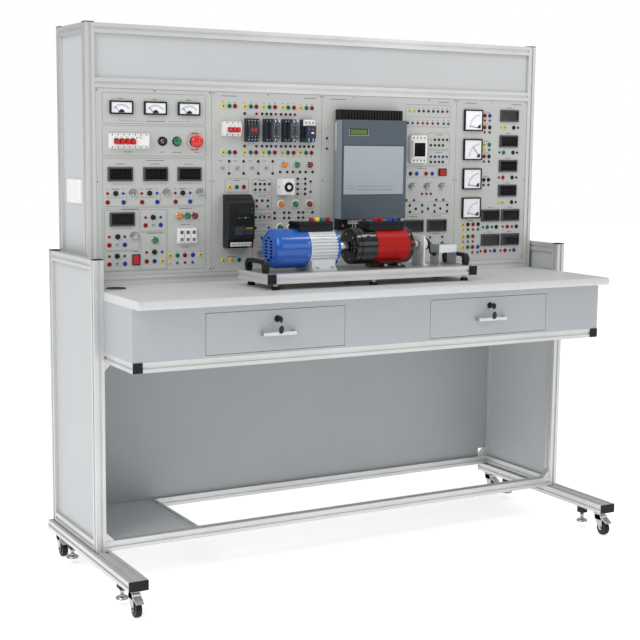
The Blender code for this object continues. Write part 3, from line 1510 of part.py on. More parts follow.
def carry_handles():
    """Moulded bow handles screwed down on the end rails of the base."""
    low = BASE_TOP + GAP
    high = low + CARRY_HEIGHT
    half = CARRY_LENGTH / 2
    bend = CARRY_HEIGHT / 3
    arm = CARRY_THICKNESS
    outline = (
        (SHAFT_Y - half, low),
        (SHAFT_Y - half, high - bend),
        (SHAFT_Y - half + bend, high),
        (SHAFT_Y + half - bend, high),
        (SHAFT_Y + half, high - bend),
        (SHAFT_Y + half, low),
        (SHAFT_Y + half - 2 * arm, low),
        (SHAFT_Y + half - arm, high - bend - arm / 2),
        (SHAFT_Y + half - bend - arm / 2, high - arm),
        (SHAFT_Y - half + bend + arm / 2, high - arm),
        (SHAFT_Y - half + arm, high - bend - arm / 2),
        (SHAFT_Y - half + 2 * arm, low),
    )
    for name, x in (("left_carry_handle", BASE_LEFT), ("right_carry_handle", BASE_RIGHT - PROFILE)):
        middle = x + PROFILE / 2
        half_width = CARRY_WIDTH / 2
        handle = Solid()
        handle.prism(outline, along_axis((middle, 0, 0), "X"), -half_width, half_width)
        handle.object(name, BLACK_PLASTIC)


FIN_COUNT = 24
FIN_HEIGHT = 0.0045
FIN_FILL_SHARE = 0.45
AC_FOOT_WIDTH = 0.124
AC_FOOT_THICKNESS = 0.007
AC_FOOT_MARGIN = 0.006
TERMINAL_BOX_WIDTH = 0.070
AC_TERMINAL_BOX_LENGTH = 0.124
AC_TERMINAL_BOX_HEIGHT = 0.031
AC_TERMINAL_BOX_SINK = 0.010
AC_TERMINAL_BOX_SETBACK = 0.004
DC_TERMINAL_BOX_LENGTH = 0.135
DC_TERMINAL_BOX_HEIGHT = 0.027
TERMINAL_RADIUS = 0.008
TERMINAL_HEIGHT = 0.012
TERMINAL_SIDES = 8
END_BELL_STEP = 0.006


def finned_outline(count, tip_radius, root_radius):
    """Outline of a round body with straight fins, counter-clockwise."""
    points = []
    step = 2 * math.pi / count
    for i in range(count):
        middle = i * step
        half_tip = FIN_FILL_SHARE * step / 2
        for angle, radius in (
            (middle - step / 2 + half_tip, root_radius),
            (middle - half_tip, root_radius),
            (middle - half_tip * 2 / 3, tip_radius),
            (middle + half_tip * 2 / 3, tip_radius),
        ):
            points.append((radius * math.cos(angle), radius * math.sin(angle)))
    return points


def terminal_box(motor, low, length_span, height, terminal_shares):
    """A moulded box on top of a motor, with a row of insulated sockets near the front of its lid."""
    start, end = length_span
    half = TERMINAL_BOX_WIDTH / 2
    box = Solid()
    top = low + height
    box.box((start, SHAFT_Y - half, low), (end, SHAFT_Y + half, top))
    join(motor, box)
    sockets = Solid()
    for share in terminal_shares:
        place = (start + share * (end - start), SHAFT_Y - half / 2, top)
        sockets.rod(place, "Z", -FUSE, TERMINAL_HEIGHT, TERMINAL_RADIUS, TERMINAL_SIDES)
    join(motor, sockets)


def shaft_bore(motor, start, end, radius=SHAFT_RADIUS):
    bore = Solid()
    bore.rod((0, SHAFT_Y, SHAFT_Z), "X", start - OVERRUN, end + OVERRUN, radius + GAP, SMALL_SIDES)
    cut(motor, bore)


AC_TERMINAL_SHARES = (0.43, 0.59, 0.75, 0.91)
DC_TERMINAL_SHARES = (0.26, 0.39, 0.66, 0.79)


def ac_motor():
    """Induction motor: finned aluminium stator, stepped end bell, foot and terminal box."""
    outline = finned_outline(FIN_COUNT, AC_RADIUS - GAP, AC_RADIUS - FIN_HEIGHT)
    stator = Solid()
    start = STATOR_START + GAP
    stator.prism(outline, along_axis((0, SHAFT_Y, SHAFT_Z), "X"), start, END_BELL_START)
    motor = stator.object("ac_motor", CAST_ALUMINIUM)
    bell = Solid()
    profile = (
        (END_BELL_START - FUSE, AC_RADIUS - END_BELL_STEP / 2),
        (END_BELL_START + END_BELL_LENGTH / 3, AC_RADIUS - END_BELL_STEP / 2),
        (END_BELL_START + END_BELL_LENGTH * 2 / 3, AC_RADIUS * 3 / 4),
        (COUPLING_START, AC_RADIUS / 2),
    )
    bell.turned(profile, along_axis((0, SHAFT_Y, SHAFT_Z), "X"), ROUND_SIDES)
    join(motor, bell)
    foot = Solid()
    foot_low = BASE_TOP + GAP
    half = AC_FOOT_WIDTH / 2
    foot_start = STATOR_START + AC_FOOT_MARGIN
    foot_end = END_BELL_START - AC_FOOT_MARGIN
    outline = (
        (SHAFT_Y - half, foot_low),
        (SHAFT_Y + half, foot_low),
        (SHAFT_Y + half, foot_low + AC_FOOT_THICKNESS),
        (SHAFT_Y + half * 3 / 4, foot_low + AC_FOOT_THICKNESS),
        (SHAFT_Y + half * 2 / 3, foot_low + AC_FOOT_THICKNESS * 3),
        (SHAFT_Y - half * 2 / 3, foot_low + AC_FOOT_THICKNESS * 3),
        (SHAFT_Y - half * 3 / 4, foot_low + AC_FOOT_THICKNESS),
        (SHAFT_Y - half, foot_low + AC_FOOT_THICKNESS),
    )
    foot.prism(outline, along_axis((0, 0, 0), "X"), foot_start, foot_end)
    join(motor, foot)
    box_end = END_BELL_START - AC_TERMINAL_BOX_SETBACK
    low = SHAFT_Z + AC_RADIUS - AC_TERMINAL_BOX_SINK
    span = (box_end - AC_TERMINAL_BOX_LENGTH, box_end)
    terminal_box(motor, low, span, AC_TERMINAL_BOX_HEIGHT, AC_TERMINAL_SHARES)
    saddle = Solid()
    saddle.rod((0, SHAFT_Y, SHAFT_Z), "X", COWL_START, start, AC_RADIUS + 2 * GAP)
    cut(motor, saddle)
    shaft_bore(motor, start, COUPLING_START)
    round_shading(motor)


COWL_WALL = 0.002
COWL_ROUNDING = 0.016
SLOT_COLUMNS = 5
SLOT_PITCH_ACROSS = 0.0150
SLOT_PITCH_UP = 0.0095
SLOT_LENGTH = 0.010
SLOT_HEIGHT = 0.0045
SLOT_FIELD_RADIUS = 0.041


def fan_cowl():
    """The pressed fan cover, its flat end pierced by staggered columns of short slots."""
    rounding = COWL_ROUNDING
    outer = (
        (COWL_START, AC_RADIUS - rounding),
        (COWL_START + rounding / 4, AC_RADIUS - rounding / 4),
        (COWL_START + rounding, AC_RADIUS),
        (STATOR_START, AC_RADIUS),
    )
    inner = (
        (COWL_START + COWL_WALL, AC_RADIUS - rounding - COWL_WALL / 2),
        (COWL_START + rounding / 4 + COWL_WALL, AC_RADIUS - rounding / 4 - COWL_WALL),
        (COWL_START + rounding, AC_RADIUS - COWL_WALL),
        (STATOR_START + OVERRUN, AC_RADIUS - COWL_WALL),
    )
    place = along_axis((0, SHAFT_Y, SHAFT_Z), "X")
    shell = Solid()
    shell.turned(outer, place, ROUND_SIDES)
    cowl = shell.object("fan_cowl", BLUE_ENAMEL)
    hollow = Solid()
    hollow.turned(inner, place, ROUND_SIDES)
    cut(cowl, hollow)
    slots = Solid()
    middle = SLOT_COLUMNS // 2
    rows = math.floor(SLOT_FIELD_RADIUS / SLOT_PITCH_UP)
    for column in range(-middle, middle + 1):
        shift = SLOT_PITCH_UP / 2 if column % 2 else 0.0
        for row in range(-rows - 1, rows + 1):
            y = column * SLOT_PITCH_ACROSS
            z = row * SLOT_PITCH_UP + shift
            if math.hypot(y, z) > SLOT_FIELD_RADIUS - SLOT_LENGTH / 2:
                continue
            slots.box(
                (COWL_START - OVERRUN, SHAFT_Y + y - SLOT_LENGTH / 2, SHAFT_Z + z - SLOT_HEIGHT / 2),
                (COWL_START + COWL_WALL + OVERRUN, SHAFT_Y + y + SLOT_LENGTH / 2, SHAFT_Z + z + SLOT_HEIGHT / 2),
            )
    cut(cowl, slots)
    round_shading(cowl)


DC_FOOT_LENGTH = 0.086
DC_FOOT_WIDTH = 0.110
DC_FOOT_THICKNESS = 0.006
DC_PILLAR_WIDTH = 0.060
BELL_ROUNDING = 0.010
BELL_GROOVE = 0.003
RIM_STEP = 0.007
DC_BOX_RISE = 0.007


def dc_motor():
    """Direct current machine: black brush bell, smooth red yoke, rear rim, bracket and terminal box."""
    profile = (
        (DC_BELL_START, DC_RADIUS / 2),
        (DC_BELL_START + BELL_ROUNDING / 2, DC_RADIUS - BELL_ROUNDING),
        (DC_BELL_START + BELL_ROUNDING * 3 / 2, DC_RADIUS - BELL_GROOVE),
        (DC_BODY_START - DC_BELL_LENGTH / 2, DC_RADIUS - BELL_GROOVE),
        (DC_BODY_START - DC_BELL_LENGTH / 2, DC_RADIUS),
        (DC_RIM_START, DC_RADIUS),
        (DC_RIM_START, DC_RADIUS - BELL_GROOVE),
        (DC_END - BELL_ROUNDING, DC_RADIUS - RIM_STEP),
        (DC_END, DC_RADIUS / 2),
    )
    body = Solid()
    body.turned(profile, along_axis((0, SHAFT_Y, SHAFT_Z), "X"), ROUND_SIDES)
    motor = body.object("dc_motor", RED_ENAMEL)
    foot_low = BASE_TOP + GAP
    middle = (DC_BODY_START + DC_RIM_START) / 2
    foot = Solid()
    half = DC_FOOT_WIDTH / 2
    reach = DC_FOOT_LENGTH / 2
    pillar = DC_PILLAR_WIDTH / 2
    outline = (
        (SHAFT_Y - half, foot_low),
        (SHAFT_Y + half, foot_low),
        (SHAFT_Y + half, foot_low + DC_FOOT_THICKNESS),
        (SHAFT_Y + pillar, foot_low + DC_FOOT_THICKNESS),
        (SHAFT_Y + pillar, SHAFT_Z - DC_RADIUS * 3 / 4),
        (SHAFT_Y - pillar, SHAFT_Z - DC_RADIUS * 3 / 4),
        (SHAFT_Y - pillar, foot_low + DC_FOOT_THICKNESS),
        (SHAFT_Y - half, foot_low + DC_FOOT_THICKNESS),
    )
    foot.prism(outline, along_axis((0, 0, 0), "X"), middle - reach, middle + reach)
    join(motor, foot)
    end = DC_RIM_START - BELL_ROUNDING
    low = SHAFT_Z + DC_RADIUS - DC_BOX_RISE
    span = (end - DC_TERMINAL_BOX_LENGTH, end)
    terminal_box(motor, low, span, DC_TERMINAL_BOX_HEIGHT, DC_TERMINAL_SHARES)
    shaft_bore(motor, DC_BELL_START, DC_END)
    round_shading(motor)


BRACKET_PLATE = 0.006
BRACKET_DEPTH = 0.070
BRACKET_TOP = 0.028
ENCODER_RADIUS = 0.019
ENCODER_LENGTH = 0.030
ENCODER_SHAFT_RADIUS = 0.004
ENCODER_SHAFT_DEPTH = 0.006
CABLE_RADIUS = 0.003
CABLE_SIDES = 8
ENCODER_HOLE_RADIUS = 0.012


def encoder_bracket():
    """An angle plate that stands on the base and holds the encoder in line with the shaft."""
    low = BASE_TOP + GAP
    high = SHAFT_Z + BRACKET_TOP
    outline = (
        (BRACKET_START, low),
        (BRACKET_END, low),
        (BRACKET_END, low + BRACKET_PLATE),
        (BRACKET_START + BRACKET_PLATE, low + BRACKET_PLATE * 2),
        (BRACKET_START + BRACKET_PLATE, high),
        (BRACKET_START, high),
    )
    half = BRACKET_DEPTH / 2
    plate = Solid()
    plate.prism(outline, lambda a, b, t: (a, t, b), SHAFT_Y - half, SHAFT_Y + half)
    bracket = plate.object("encoder_bracket", WHITE_PAINT)
    hole = Solid()
    centre = (BRACKET_START, SHAFT_Y, SHAFT_Z)
    hole.rod(centre, "X", -OVERRUN, BRACKET_PLATE + OVERRUN, ENCODER_HOLE_RADIUS, SMALL_SIDES)
    cut(bracket, hole)


def encoder():
    """The encoder on the far side of its bracket; its cable runs down to the sensor channel."""
    start = BRACKET_START + BRACKET_PLATE + GAP
    end = start + ENCODER_LENGTH
    body = Solid()
    body.rod((0, SHAFT_Y, SHAFT_Z), "X", start, end, ENCODER_RADIUS)
    made = body.object("encoder", BLACK_PLASTIC)
    deck = BASE_TOP + GAP + CABLE_RADIUS
    bend = (CHANNEL_START - end) / 2
    points = (
        (end - FUSE, SHAFT_Z),
        (end + bend / 2, SHAFT_Z - bend / 4),
        (end + bend * 3 / 4, SHAFT_Z - bend),
        (end + bend * 3 / 4, deck + bend * 3 / 2),
        (end + bend, deck + bend / 2),
        (end + bend * 3 / 2, deck + bend / 4),
        (CHANNEL_START - GAP, deck + bend / 4),
    )
    cable = Solid()
    tube(cable, [(x, SHAFT_Y, z) for x, z in points], CABLE_RADIUS, CABLE_SIDES)
    join(made, cable)
    socket = Solid()
    socket.rod(
        (start, SHAFT_Y, SHAFT_Z),
        "X",
        -OVERRUN,
        ENCODER_SHAFT_DEPTH + GAP,
        ENCODER_SHAFT_RADIUS + GAP,
        SMALL_SIDES,
    )
    cut(made, socket)
    round_shading(made)


def tube(solid, points, radius, sides):
    """A round cable through points that lie in one plane across Y."""
    rings = []
    path = [Vector(point) for point in points]
    across = Vector((0, 1, 0))
    for i, point in enumerate(path):
        ahead = path[min(i + 1, len(path) - 1)] - path[max(i - 1, 0)]
        normal = across.cross(ahead).normalized()
        ring = []
        for side in range(sides):
            angle = 2 * math.pi * side / sides
            offset = across * math.cos(angle) + normal * math.sin(angle)
            ring.append(solid.mesh.verts.new(point + offset * radius))
        rings.append(ring)
    faces = [solid.mesh.faces.new(rings[0][::-1]), solid.mesh.faces.new(rings[-1])]
    for near, far in zip(rings, rings[1:]):
        for side in range(sides):
            after = (side + 1) % sides
            faces.append(solid.mesh.faces.new((near[side], near[after], far[after], far[side])))
    bmesh.ops.recalc_face_normals(solid.mesh, faces=faces)


COUPLING_RADIUS = 0.016
COUPLING_SLEEVE = 0.014
COUPLING_GAP = 0.003
ENCODER_COUPLING_RADIUS = 0.011
FAN_RADIUS = 0.046
FAN_THICKNESS = 0.008
FAN_OFFSET = 0.030


def rotor_shaft():
    """Both shafts with the fan, the jaw coupling and the encoder coupling: all that turns together."""
    neck = COUPLING_START + COUPLING_LENGTH / 2
    hub_start = neck - COUPLING_SLEEVE
    hub_end = neck + COUPLING_SLEEVE
    groove = COUPLING_GAP / 2
    far = BRACKET_START - COUPLING_GAP
    near = DC_END + COUPLING_GAP
    tip = BRACKET_START + BRACKET_PLATE + GAP + ENCODER_SHAFT_DEPTH
    fan = COWL_START + FAN_OFFSET
    profile = (
        (fan, FAN_RADIUS),
        (fan + FAN_THICKNESS, FAN_RADIUS),
        (fan + FAN_THICKNESS, SHAFT_RADIUS),
        (hub_start, SHAFT_RADIUS),
        (hub_start, COUPLING_RADIUS),
        (neck - groove, COUPLING_RADIUS),
        (neck - groove, COUPLING_RADIUS - COUPLING_GAP),
        (neck + groove, COUPLING_RADIUS - COUPLING_GAP),
        (neck + groove, COUPLING_RADIUS),
        (hub_end, COUPLING_RADIUS),
        (hub_end, SHAFT_RADIUS),
        (near, SHAFT_RADIUS),
        (near, ENCODER_COUPLING_RADIUS),
        (far, ENCODER_COUPLING_RADIUS),
        (far, ENCODER_SHAFT_RADIUS),
        (tip, ENCODER_SHAFT_RADIUS),
    )
    rotor = Solid()
    rotor.turned(profile, along_axis((0, SHAFT_Y, SHAFT_Z), "X"), SMALL_SIDES)
    made = rotor.object("rotor_shaft", CHROME)
    round_shading(set_origin(made, (neck, SHAFT_Y, SHAFT_Z)))


clear_scene()
lower_end_frames()
lower_end_panels()
bottom_rails()
foot_beams()
levelling_feet()
caster_forks()
caster_wheels()
lower_back_panel()
desk_support_frame()
drawer_housing()
desk_top()
drawers()
cabinet_frame()
cabinet_cladding()
power_module()
control_module()
drive_module()
meter_module()
dc_drive()
inverter()
motor_base()
carry_handles()
ac_motor()
fan_cowl()
dc_motor()
encoder_bracket()
encoder()
rotor_shaft()
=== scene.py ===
"""Looks of the drive training bench: a profile frame with desk and instrument cabinet, and the
portable motor set that stands on it. Metres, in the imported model's own frame; sizes that come
from tables on the panels are in millimetres."""
import math

import bmesh
import bpy
from mathutils import Matrix, Vector


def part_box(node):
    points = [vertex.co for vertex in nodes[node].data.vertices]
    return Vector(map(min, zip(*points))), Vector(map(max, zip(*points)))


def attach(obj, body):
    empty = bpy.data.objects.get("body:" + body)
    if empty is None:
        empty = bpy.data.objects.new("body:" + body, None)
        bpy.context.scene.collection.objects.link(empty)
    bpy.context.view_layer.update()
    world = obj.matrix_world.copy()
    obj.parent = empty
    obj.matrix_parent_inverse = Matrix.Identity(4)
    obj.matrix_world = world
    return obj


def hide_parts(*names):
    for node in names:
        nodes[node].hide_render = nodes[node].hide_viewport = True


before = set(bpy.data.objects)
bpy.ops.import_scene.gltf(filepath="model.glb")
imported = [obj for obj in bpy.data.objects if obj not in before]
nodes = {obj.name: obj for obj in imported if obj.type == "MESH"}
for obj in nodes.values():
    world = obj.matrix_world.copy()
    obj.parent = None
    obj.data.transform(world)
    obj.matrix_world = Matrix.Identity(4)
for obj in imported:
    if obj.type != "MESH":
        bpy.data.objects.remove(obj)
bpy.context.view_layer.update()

# Camera: the photograph's own viewpoint, from the left of the bench at about eye height.
# Its place, turn and focal length were found from the corners of posts and panels.
camera_data = bpy.data.cameras.new("camera")
camera_data.lens = 74.29
camera_data.sensor_width = 36.0
camera_data.clip_end = 60.0
camera = bpy.data.objects.new("camera", camera_data)
bpy.context.scene.collection.objects.link(camera)
yaw, pitch, roll = (math.radians(angle) for angle in (29.7212, -7.6165, 0.6462))
forward = Vector((math.sin(yaw) * math.cos(pitch), math.cos(yaw) * math.cos(pitch), math.sin(pitch)))
level = Vector((math.cos(yaw), -math.sin(yaw), 0.0))
rise = level.cross(forward)
right = math.cos(roll) * level + math.sin(roll) * rise
top = math.cos(roll) * rise - math.sin(roll) * level
stand = Matrix((right, top, -forward)).transposed().to_4x4()
stand.translation = Vector((-2.1933, -3.6882, 1.3290))
camera.matrix_world = stand
bpy.context.scene.camera = camera
bpy.context.scene.view_settings.view_transform = "Standard"


# Studio: a seamless pale floor, a bright even room and one broad soft light from the left.
# The room's light comes from all sides, as in a white product booth; the eye sees plain white.
def colour(code):
    """A linear RGBA colour from an sRGB hex code."""
    channels = [int(code[i:i + 2], 16) / 255 for i in (1, 3, 5)]
    linear = [c / 12.92 if c <= 0.04045 else ((c + 0.055) / 1.055) ** 2.4 for c in channels]
    return (*linear, 1.0)


def add_node(tree, kind, inputs=None, **settings):
    """Adds a shader node; each input is a value, or a (node, output) pair to link."""
    node = tree.nodes.new(kind)
    for name, value in settings.items():
        setattr(node, name, value)
    for name, value in (inputs or {}).items():
        if isinstance(value, tuple) and isinstance(value[0], bpy.types.Node):
            tree.links.new(value[0].outputs[value[1]], node.inputs[name])
        else:
            node.inputs[name].default_value = value
    return node


booth = bpy.data.worlds.new("white booth")
bpy.context.scene.world = booth
booth.use_nodes = True
booth.node_tree.nodes.clear()
rays = add_node(booth.node_tree, "ShaderNodeLightPath")
seen = add_node(booth.node_tree, "ShaderNodeBackground", {"Color": (1.0, 1.0, 1.0, 1.0), "Strength": 1.0})
height = add_node(booth.node_tree, "ShaderNodeTexCoord")
split = add_node(booth.node_tree, "ShaderNodeSeparateXYZ", {"Vector": (height, "Generated")})
glow = add_node(booth.node_tree, "ShaderNodeMapRange", {
    "Value": (split, "Z"), "From Min": -0.2, "From Max": 0.9, "To Min": 0.34, "To Max": 0.80})
light = add_node(booth.node_tree, "ShaderNodeBackground", {"Color": colour("#FBFCFF"), "Strength": (glow, 0)})
dimmed = add_node(booth.node_tree, "ShaderNodeMapRange", {
    "Value": (split, "Z"), "From Min": -0.1, "From Max": 0.8, "To Min": 0.12, "To Max": 0.60})
mirrored = add_node(booth.node_tree, "ShaderNodeBackground", {"Color": colour("#FBFCFF"), "Strength": (dimmed, 0)})
lit = add_node(booth.node_tree, "ShaderNodeMixShader", {0: (rays, "Is Glossy Ray"), 1: (light, 0), 2: (mirrored, 0)})
choose = add_node(booth.node_tree, "ShaderNodeMixShader", {0: (rays, "Is Camera Ray"), 1: (lit, 0), 2: (seen, 0)})
add_node(booth.node_tree, "ShaderNodeOutputWorld", {"Surface": (choose, 0)})


def soft_light(name, place, aim, size, power, code):
    """A broad rectangular studio light that points at aim."""
    data = bpy.data.lights.new(name, "AREA")
    data.shape = "RECTANGLE"
    data.size, data.size_y = size
    data.energy = power
    data.color = colour(code)[:3]
    lamp_object = bpy.data.objects.new(name, data)
    bpy.context.scene.collection.objects.link(lamp_object)
    lamp_object.location = place
    lamp_object.rotation_euler = (Vector(aim) - Vector(place)).to_track_quat("-Z", "Y").to_euler()
    lamp_object.visible_camera = False


soft_light("left softbox", (-3.0, -1.2, 3.0), (-0.4, 0.0, 1.1), (1.8, 2.2), 48.0, "#FFFFFF")
soft_light("front softbox", (2.6, -3.8, 2.2), (0.4, 0.0, 1.1), (2.0, 1.6), 16.0, "#FFFDF8")
soft_light("overhead softbox", (1.0, -0.84, 2.75), (0.0, -0.1, 1.0), (0.7, 0.3), 6.0, "#FFFFFF")

floor_mesh = bmesh.new()
bmesh.ops.create_grid(floor_mesh, x_segments=1, y_segments=1, size=14.0)
floor_data = bpy.data.meshes.new("studio_floor")
floor_mesh.to_mesh(floor_data)
floor_mesh.free()
floor = bpy.data.objects.new("studio_floor", floor_data)
bpy.context.scene.collection.objects.link(floor)
paper = bpy.data.materials.new("white seamless paper")
paper.use_nodes = True
paper_shader = paper.node_tree.nodes["Principled BSDF"]
paper_shader.inputs["Roughness"].default_value = 0.9
paper_shader.inputs["Specular IOR Level"].default_value = 0.1
paper_grain = add_node(paper.node_tree, "ShaderNodeTexNoise", {"Scale": 40.0, "Detail": 2.0})
paper_tint = add_node(paper.node_tree, "ShaderNodeMix", {
    0: (paper_grain, "Fac"), 6: colour("#F4F4F4"), 7: colour("#F8F8F8")}, data_type="RGBA")
paper.node_tree.links.new(paper_tint.outputs[2], paper_shader.inputs["Base Color"])
paper_shader.inputs["Emission Color"].default_value = (1.0, 1.0, 1.0, 1.0)
paper_shader.inputs["Emission Strength"].default_value = 0.5
floor_data.materials.append(paper)


# Aluminium profile: 30 mm T-slot extrusions, 6063 alloy, etched and clear anodised, cut square
# and bolted. The real extrusion has long straight drawing lines; the finish gives only its silky,
# slightly cloudy sheen.
def finish(name, base, shade, spot, rough, relief=0.0, grain=0.3, **shader_values):
    """A surface whose colour and gloss drift between two values over spots of a size in mm.

    rough is its lowest and highest roughness, relief and grain the depth and size in mm of
    its fine texture, and shader_values are set straight on the shader's sockets."""
    made = bpy.data.materials.new(name)
    made.use_nodes = True
    tree = made.node_tree
    shader = tree.nodes["Principled BSDF"]
    for socket, value in shader_values.items():
        shader.inputs[socket.replace("_", " ")].default_value = value
    place = add_node(tree, "ShaderNodeTexCoord")
    cloud = add_node(tree, "ShaderNodeTexNoise", {
        "Vector": (place, "Object"), "Scale": 1000.0 / spot, "Detail": 3.0, "Roughness": 0.55})
    tint = add_node(tree, "ShaderNodeMix", {
        0: (cloud, "Fac"), 6: colour(base), 7: colour(shade)}, data_type="RGBA")
    tree.links.new(tint.outputs[2], shader.inputs["Base Color"])
    gloss = add_node(tree, "ShaderNodeMapRange", {
        "Value": (cloud, "Fac"), "From Min": 0.3, "From Max": 0.7, "To Min": rough[0], "To Max": rough[1]})
    tree.links.new(gloss.outputs[0], shader.inputs["Roughness"])
    if relief:
        texture = add_node(tree, "ShaderNodeTexNoise", {
            "Vector": (place, "Object"), "Scale": 1000.0 / grain, "Detail": 2.0})
        bump = add_node(tree, "ShaderNodeBump", {
            "Height": (texture, "Fac"), "Distance": relief / 1000.0, "Strength": 1.0})
        tree.links.new(bump.outputs[0], shader.inputs["Normal"])
    return made


def dress(names, finishes, pick=None):
    """Gives CAD nodes their finishes; pick(centre) returns which of them a face wears."""
    for name in names:
        data = nodes[name].data
        data.materials.clear()
        for one in finishes:
            data.materials.append(one)
        for face in data.polygons:
            face.material_index = pick(face.center) if pick else 0


anodised = finish("clear anodised aluminium", "#DCDDDB", "#CFD0CE", 180.0, (0.34, 0.46), 0.012, 2.2, Metallic=0.55)
cap_plastic = finish("black moulded nylon", "#0C0D0E", "#141517", 8.0, (0.42, 0.6), 0.006, 1.5, IOR=1.38)


def frame_cap(limit):
    """Picks black for faces that lie beyond a post's or beam's cut end."""
    return lambda centre: 1 if limit(centre) else 0


post_top = 0.9851
cabinet_top = 1.6761
support_front = -0.2742
dress(("left_end_frame", "right_end_frame"), (anodised, cap_plastic), frame_cap(lambda c: c.z > post_top))
dress(("cabinet_frame",), (anodised, cap_plastic), frame_cap(lambda c: c.z > cabinet_top))
dress(("desk_support_frame",), (anodised, cap_plastic), frame_cap(lambda c: c.y < support_front or c.y > 0.3562))
dress(("left_foot_beam", "right_foot_beam"), (anodised, cap_plastic), frame_cap(
    lambda c: c.y < -0.3462 or c.y > 0.3562 or (c.z < 0.0795 and abs(c.y) < 0.25)))
dress(("front_bottom_rail", "rear_bottom_rail", "shelf_cross_rail"), (anodised,))


# Swivel casters: 50 mm wheels with a black polyurethane tread on a grey nylon core, held in
# pressed steel forks, zinc plated, that turn on a ball race, each with a brake pedal in front.
class Form:
    """One piece under construction in the model's frame; each shape takes the finish in use."""

    def __init__(self, worn):
        self.mesh = bmesh.new()
        self.finishes = [worn]
        self.index = 0

    def wear(self, worn):
        if worn not in self.finishes:
            self.finishes.append(worn)
        self.index = self.finishes.index(worn)

    def paint(self, faces):
        for face in faces:
            face.material_index = self.index

    def box(self, low, high, edge=0.0, steps=2):
        """A block between two corners, with its edges rounded over edge metres."""
        low, high = Vector(low), Vector(high)
        matrix = Matrix.Translation((low + high) / 2) @ Matrix.Diagonal((*(high - low), 1.0))
        made = bmesh.ops.create_cube(self.mesh, size=1.0, matrix=matrix)["verts"]
        if edge:
            edges = list({one for vert in made for one in vert.link_edges})
            made = bmesh.ops.bevel(self.mesh, geom=edges, offset=edge, segments=steps,
                                   affect="EDGES", clamp_overlap=True)["verts"]
        self.paint({face for vert in made for face in vert.link_faces})

    def turned(self, place, axis, profile, sides=24, turn=0.0):
        """Turns (distance, radius) pairs about an axis through place; radius 0 is a pole."""
        axis = Vector(axis).normalized()
        across = axis.orthogonal().normalized()
        up = axis.cross(across)
        rings = []
        for along, radius in profile:
            centre = Vector(place) + axis * along
            if radius == 0:
                rings.append([self.mesh.verts.new(centre)])
                continue
            angles = [turn + 2 * math.pi * (i + 0.5) / sides for i in range(sides)]
            rings.append([self.mesh.verts.new(
                centre + radius * (math.cos(a) * across + math.sin(a) * up)) for a in angles])
        faces = [self.mesh.faces.new(ring) for ring in (rings[0], rings[-1]) if len(ring) > 1]
        for near, far in zip(rings, rings[1:]):
            for i in range(sides):
                after = (i + 1) % sides
                corners = [near[i % len(near)], near[after % len(near)],
                           far[after % len(far)], far[i % len(far)]]
                faces.append(self.mesh.faces.new(list(dict.fromkeys(corners))))
        self.paint(faces)

    def prism(self, place, sides, outline, thickness, edge=0.0, steps=2):
        """Extrudes an outline of (a, b) pairs, which run along the two sides, over thickness."""
        first, second = (Vector(side) for side in sides)
        out = first.cross(second)
        base = [self.mesh.verts.new(Vector(place) + a * first + b * second) for a, b in outline]
        lid = [self.mesh.verts.new(vert.co + out * thickness) for vert in base]
        faces = [self.mesh.faces.new(base), self.mesh.faces.new(lid)]
        for i in range(len(base)):
            after = (i + 1) % len(base)
            faces.append(self.mesh.faces.new((base[i], base[after], lid[after], lid[i])))
        if edge:
            edges = list(faces[0].edges) + list(faces[1].edges)
            self.paint(faces)
            faces = bmesh.ops.bevel(self.mesh, geom=edges, offset=edge, segments=steps,
                                    affect="EDGES", clamp_overlap=True)["faces"]
        self.paint(faces)

    def tube(self, points, radius, sides=10):
        """A round bar or wire that follows the points, closed at both ends."""
        path = [Vector(point) for point in points]
        across = (path[1] - path[0]).orthogonal().normalized()
        rings = []
        for i, point in enumerate(path):
            ahead = (path[min(i + 1, len(path) - 1)] - path[max(i - 1, 0)]).normalized()
            across = (across - ahead * across.dot(ahead)).normalized()
            up = ahead.cross(across)
            angles = [2 * math.pi * k / sides for k in range(sides)]
            rings.append([self.mesh.verts.new(
                point + radius * (math.cos(a) * across + math.sin(a) * up)) for a in angles])
        faces = [self.mesh.faces.new(rings[0]), self.mesh.faces.new(rings[-1])]
        for near, far in zip(rings, rings[1:]):
            for k in range(sides):
                after = (k + 1) % sides
                faces.append(self.mesh.faces.new((near[k], near[after], far[after], far[k])))
        self.paint(faces)

    def piece(self, name, body, slot, *replaced):
        """Makes the object, smooth between its sharp edges, and ties it to its CAD body."""
        bmesh.ops.recalc_face_normals(self.mesh, faces=self.mesh.faces[:])
        data = bpy.data.meshes.new(name)
        self.mesh.to_mesh(data)
        self.mesh.free()
        data.shade_smooth()
        data.set_sharp_from_angle(angle=math.radians(38))
        for one in self.finishes:
            data.materials.append(one)
        made = bpy.data.objects.new(name, data)
        bpy.context.scene.collection.objects.link(made)
        made.modifiers.new("even shading", "WEIGHTED_NORMAL").keep_sharp = True
        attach(made, body)
        if replaced:
            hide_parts(*replaced)
        return made


def circle(radius, count=24, start=0.0, stop=360.0, centre=(0.0, 0.0)):
    """Points of a circle or, where stop - start isn't 360 degrees, of an arc with both ends."""
    whole = abs(stop - start) == 360.0
    share = [i / (count if whole else count - 1) for i in range(count)]
    angles = [math.radians(start + (stop - start) * s) for s in share]
    return [(centre[0] + radius * math.cos(a), centre[1] + radius * math.sin(a)) for a in angles]


tread_rubber = finish("black polyurethane tread", "#101112", "#1A1B1D", 14.0, (0.5, 0.75), 0.008, 1.5, IOR=1.38)
hub_nylon = finish("grey nylon wheel core", "#55585B", "#484B4E", 9.0, (0.4, 0.55), 0.02, 0.6, IOR=1.53)
zinc = finish("bright zinc plated steel", "#C9CBCB", "#A9ABA8", 4.0, (0.2, 0.38), Metallic=1.0)

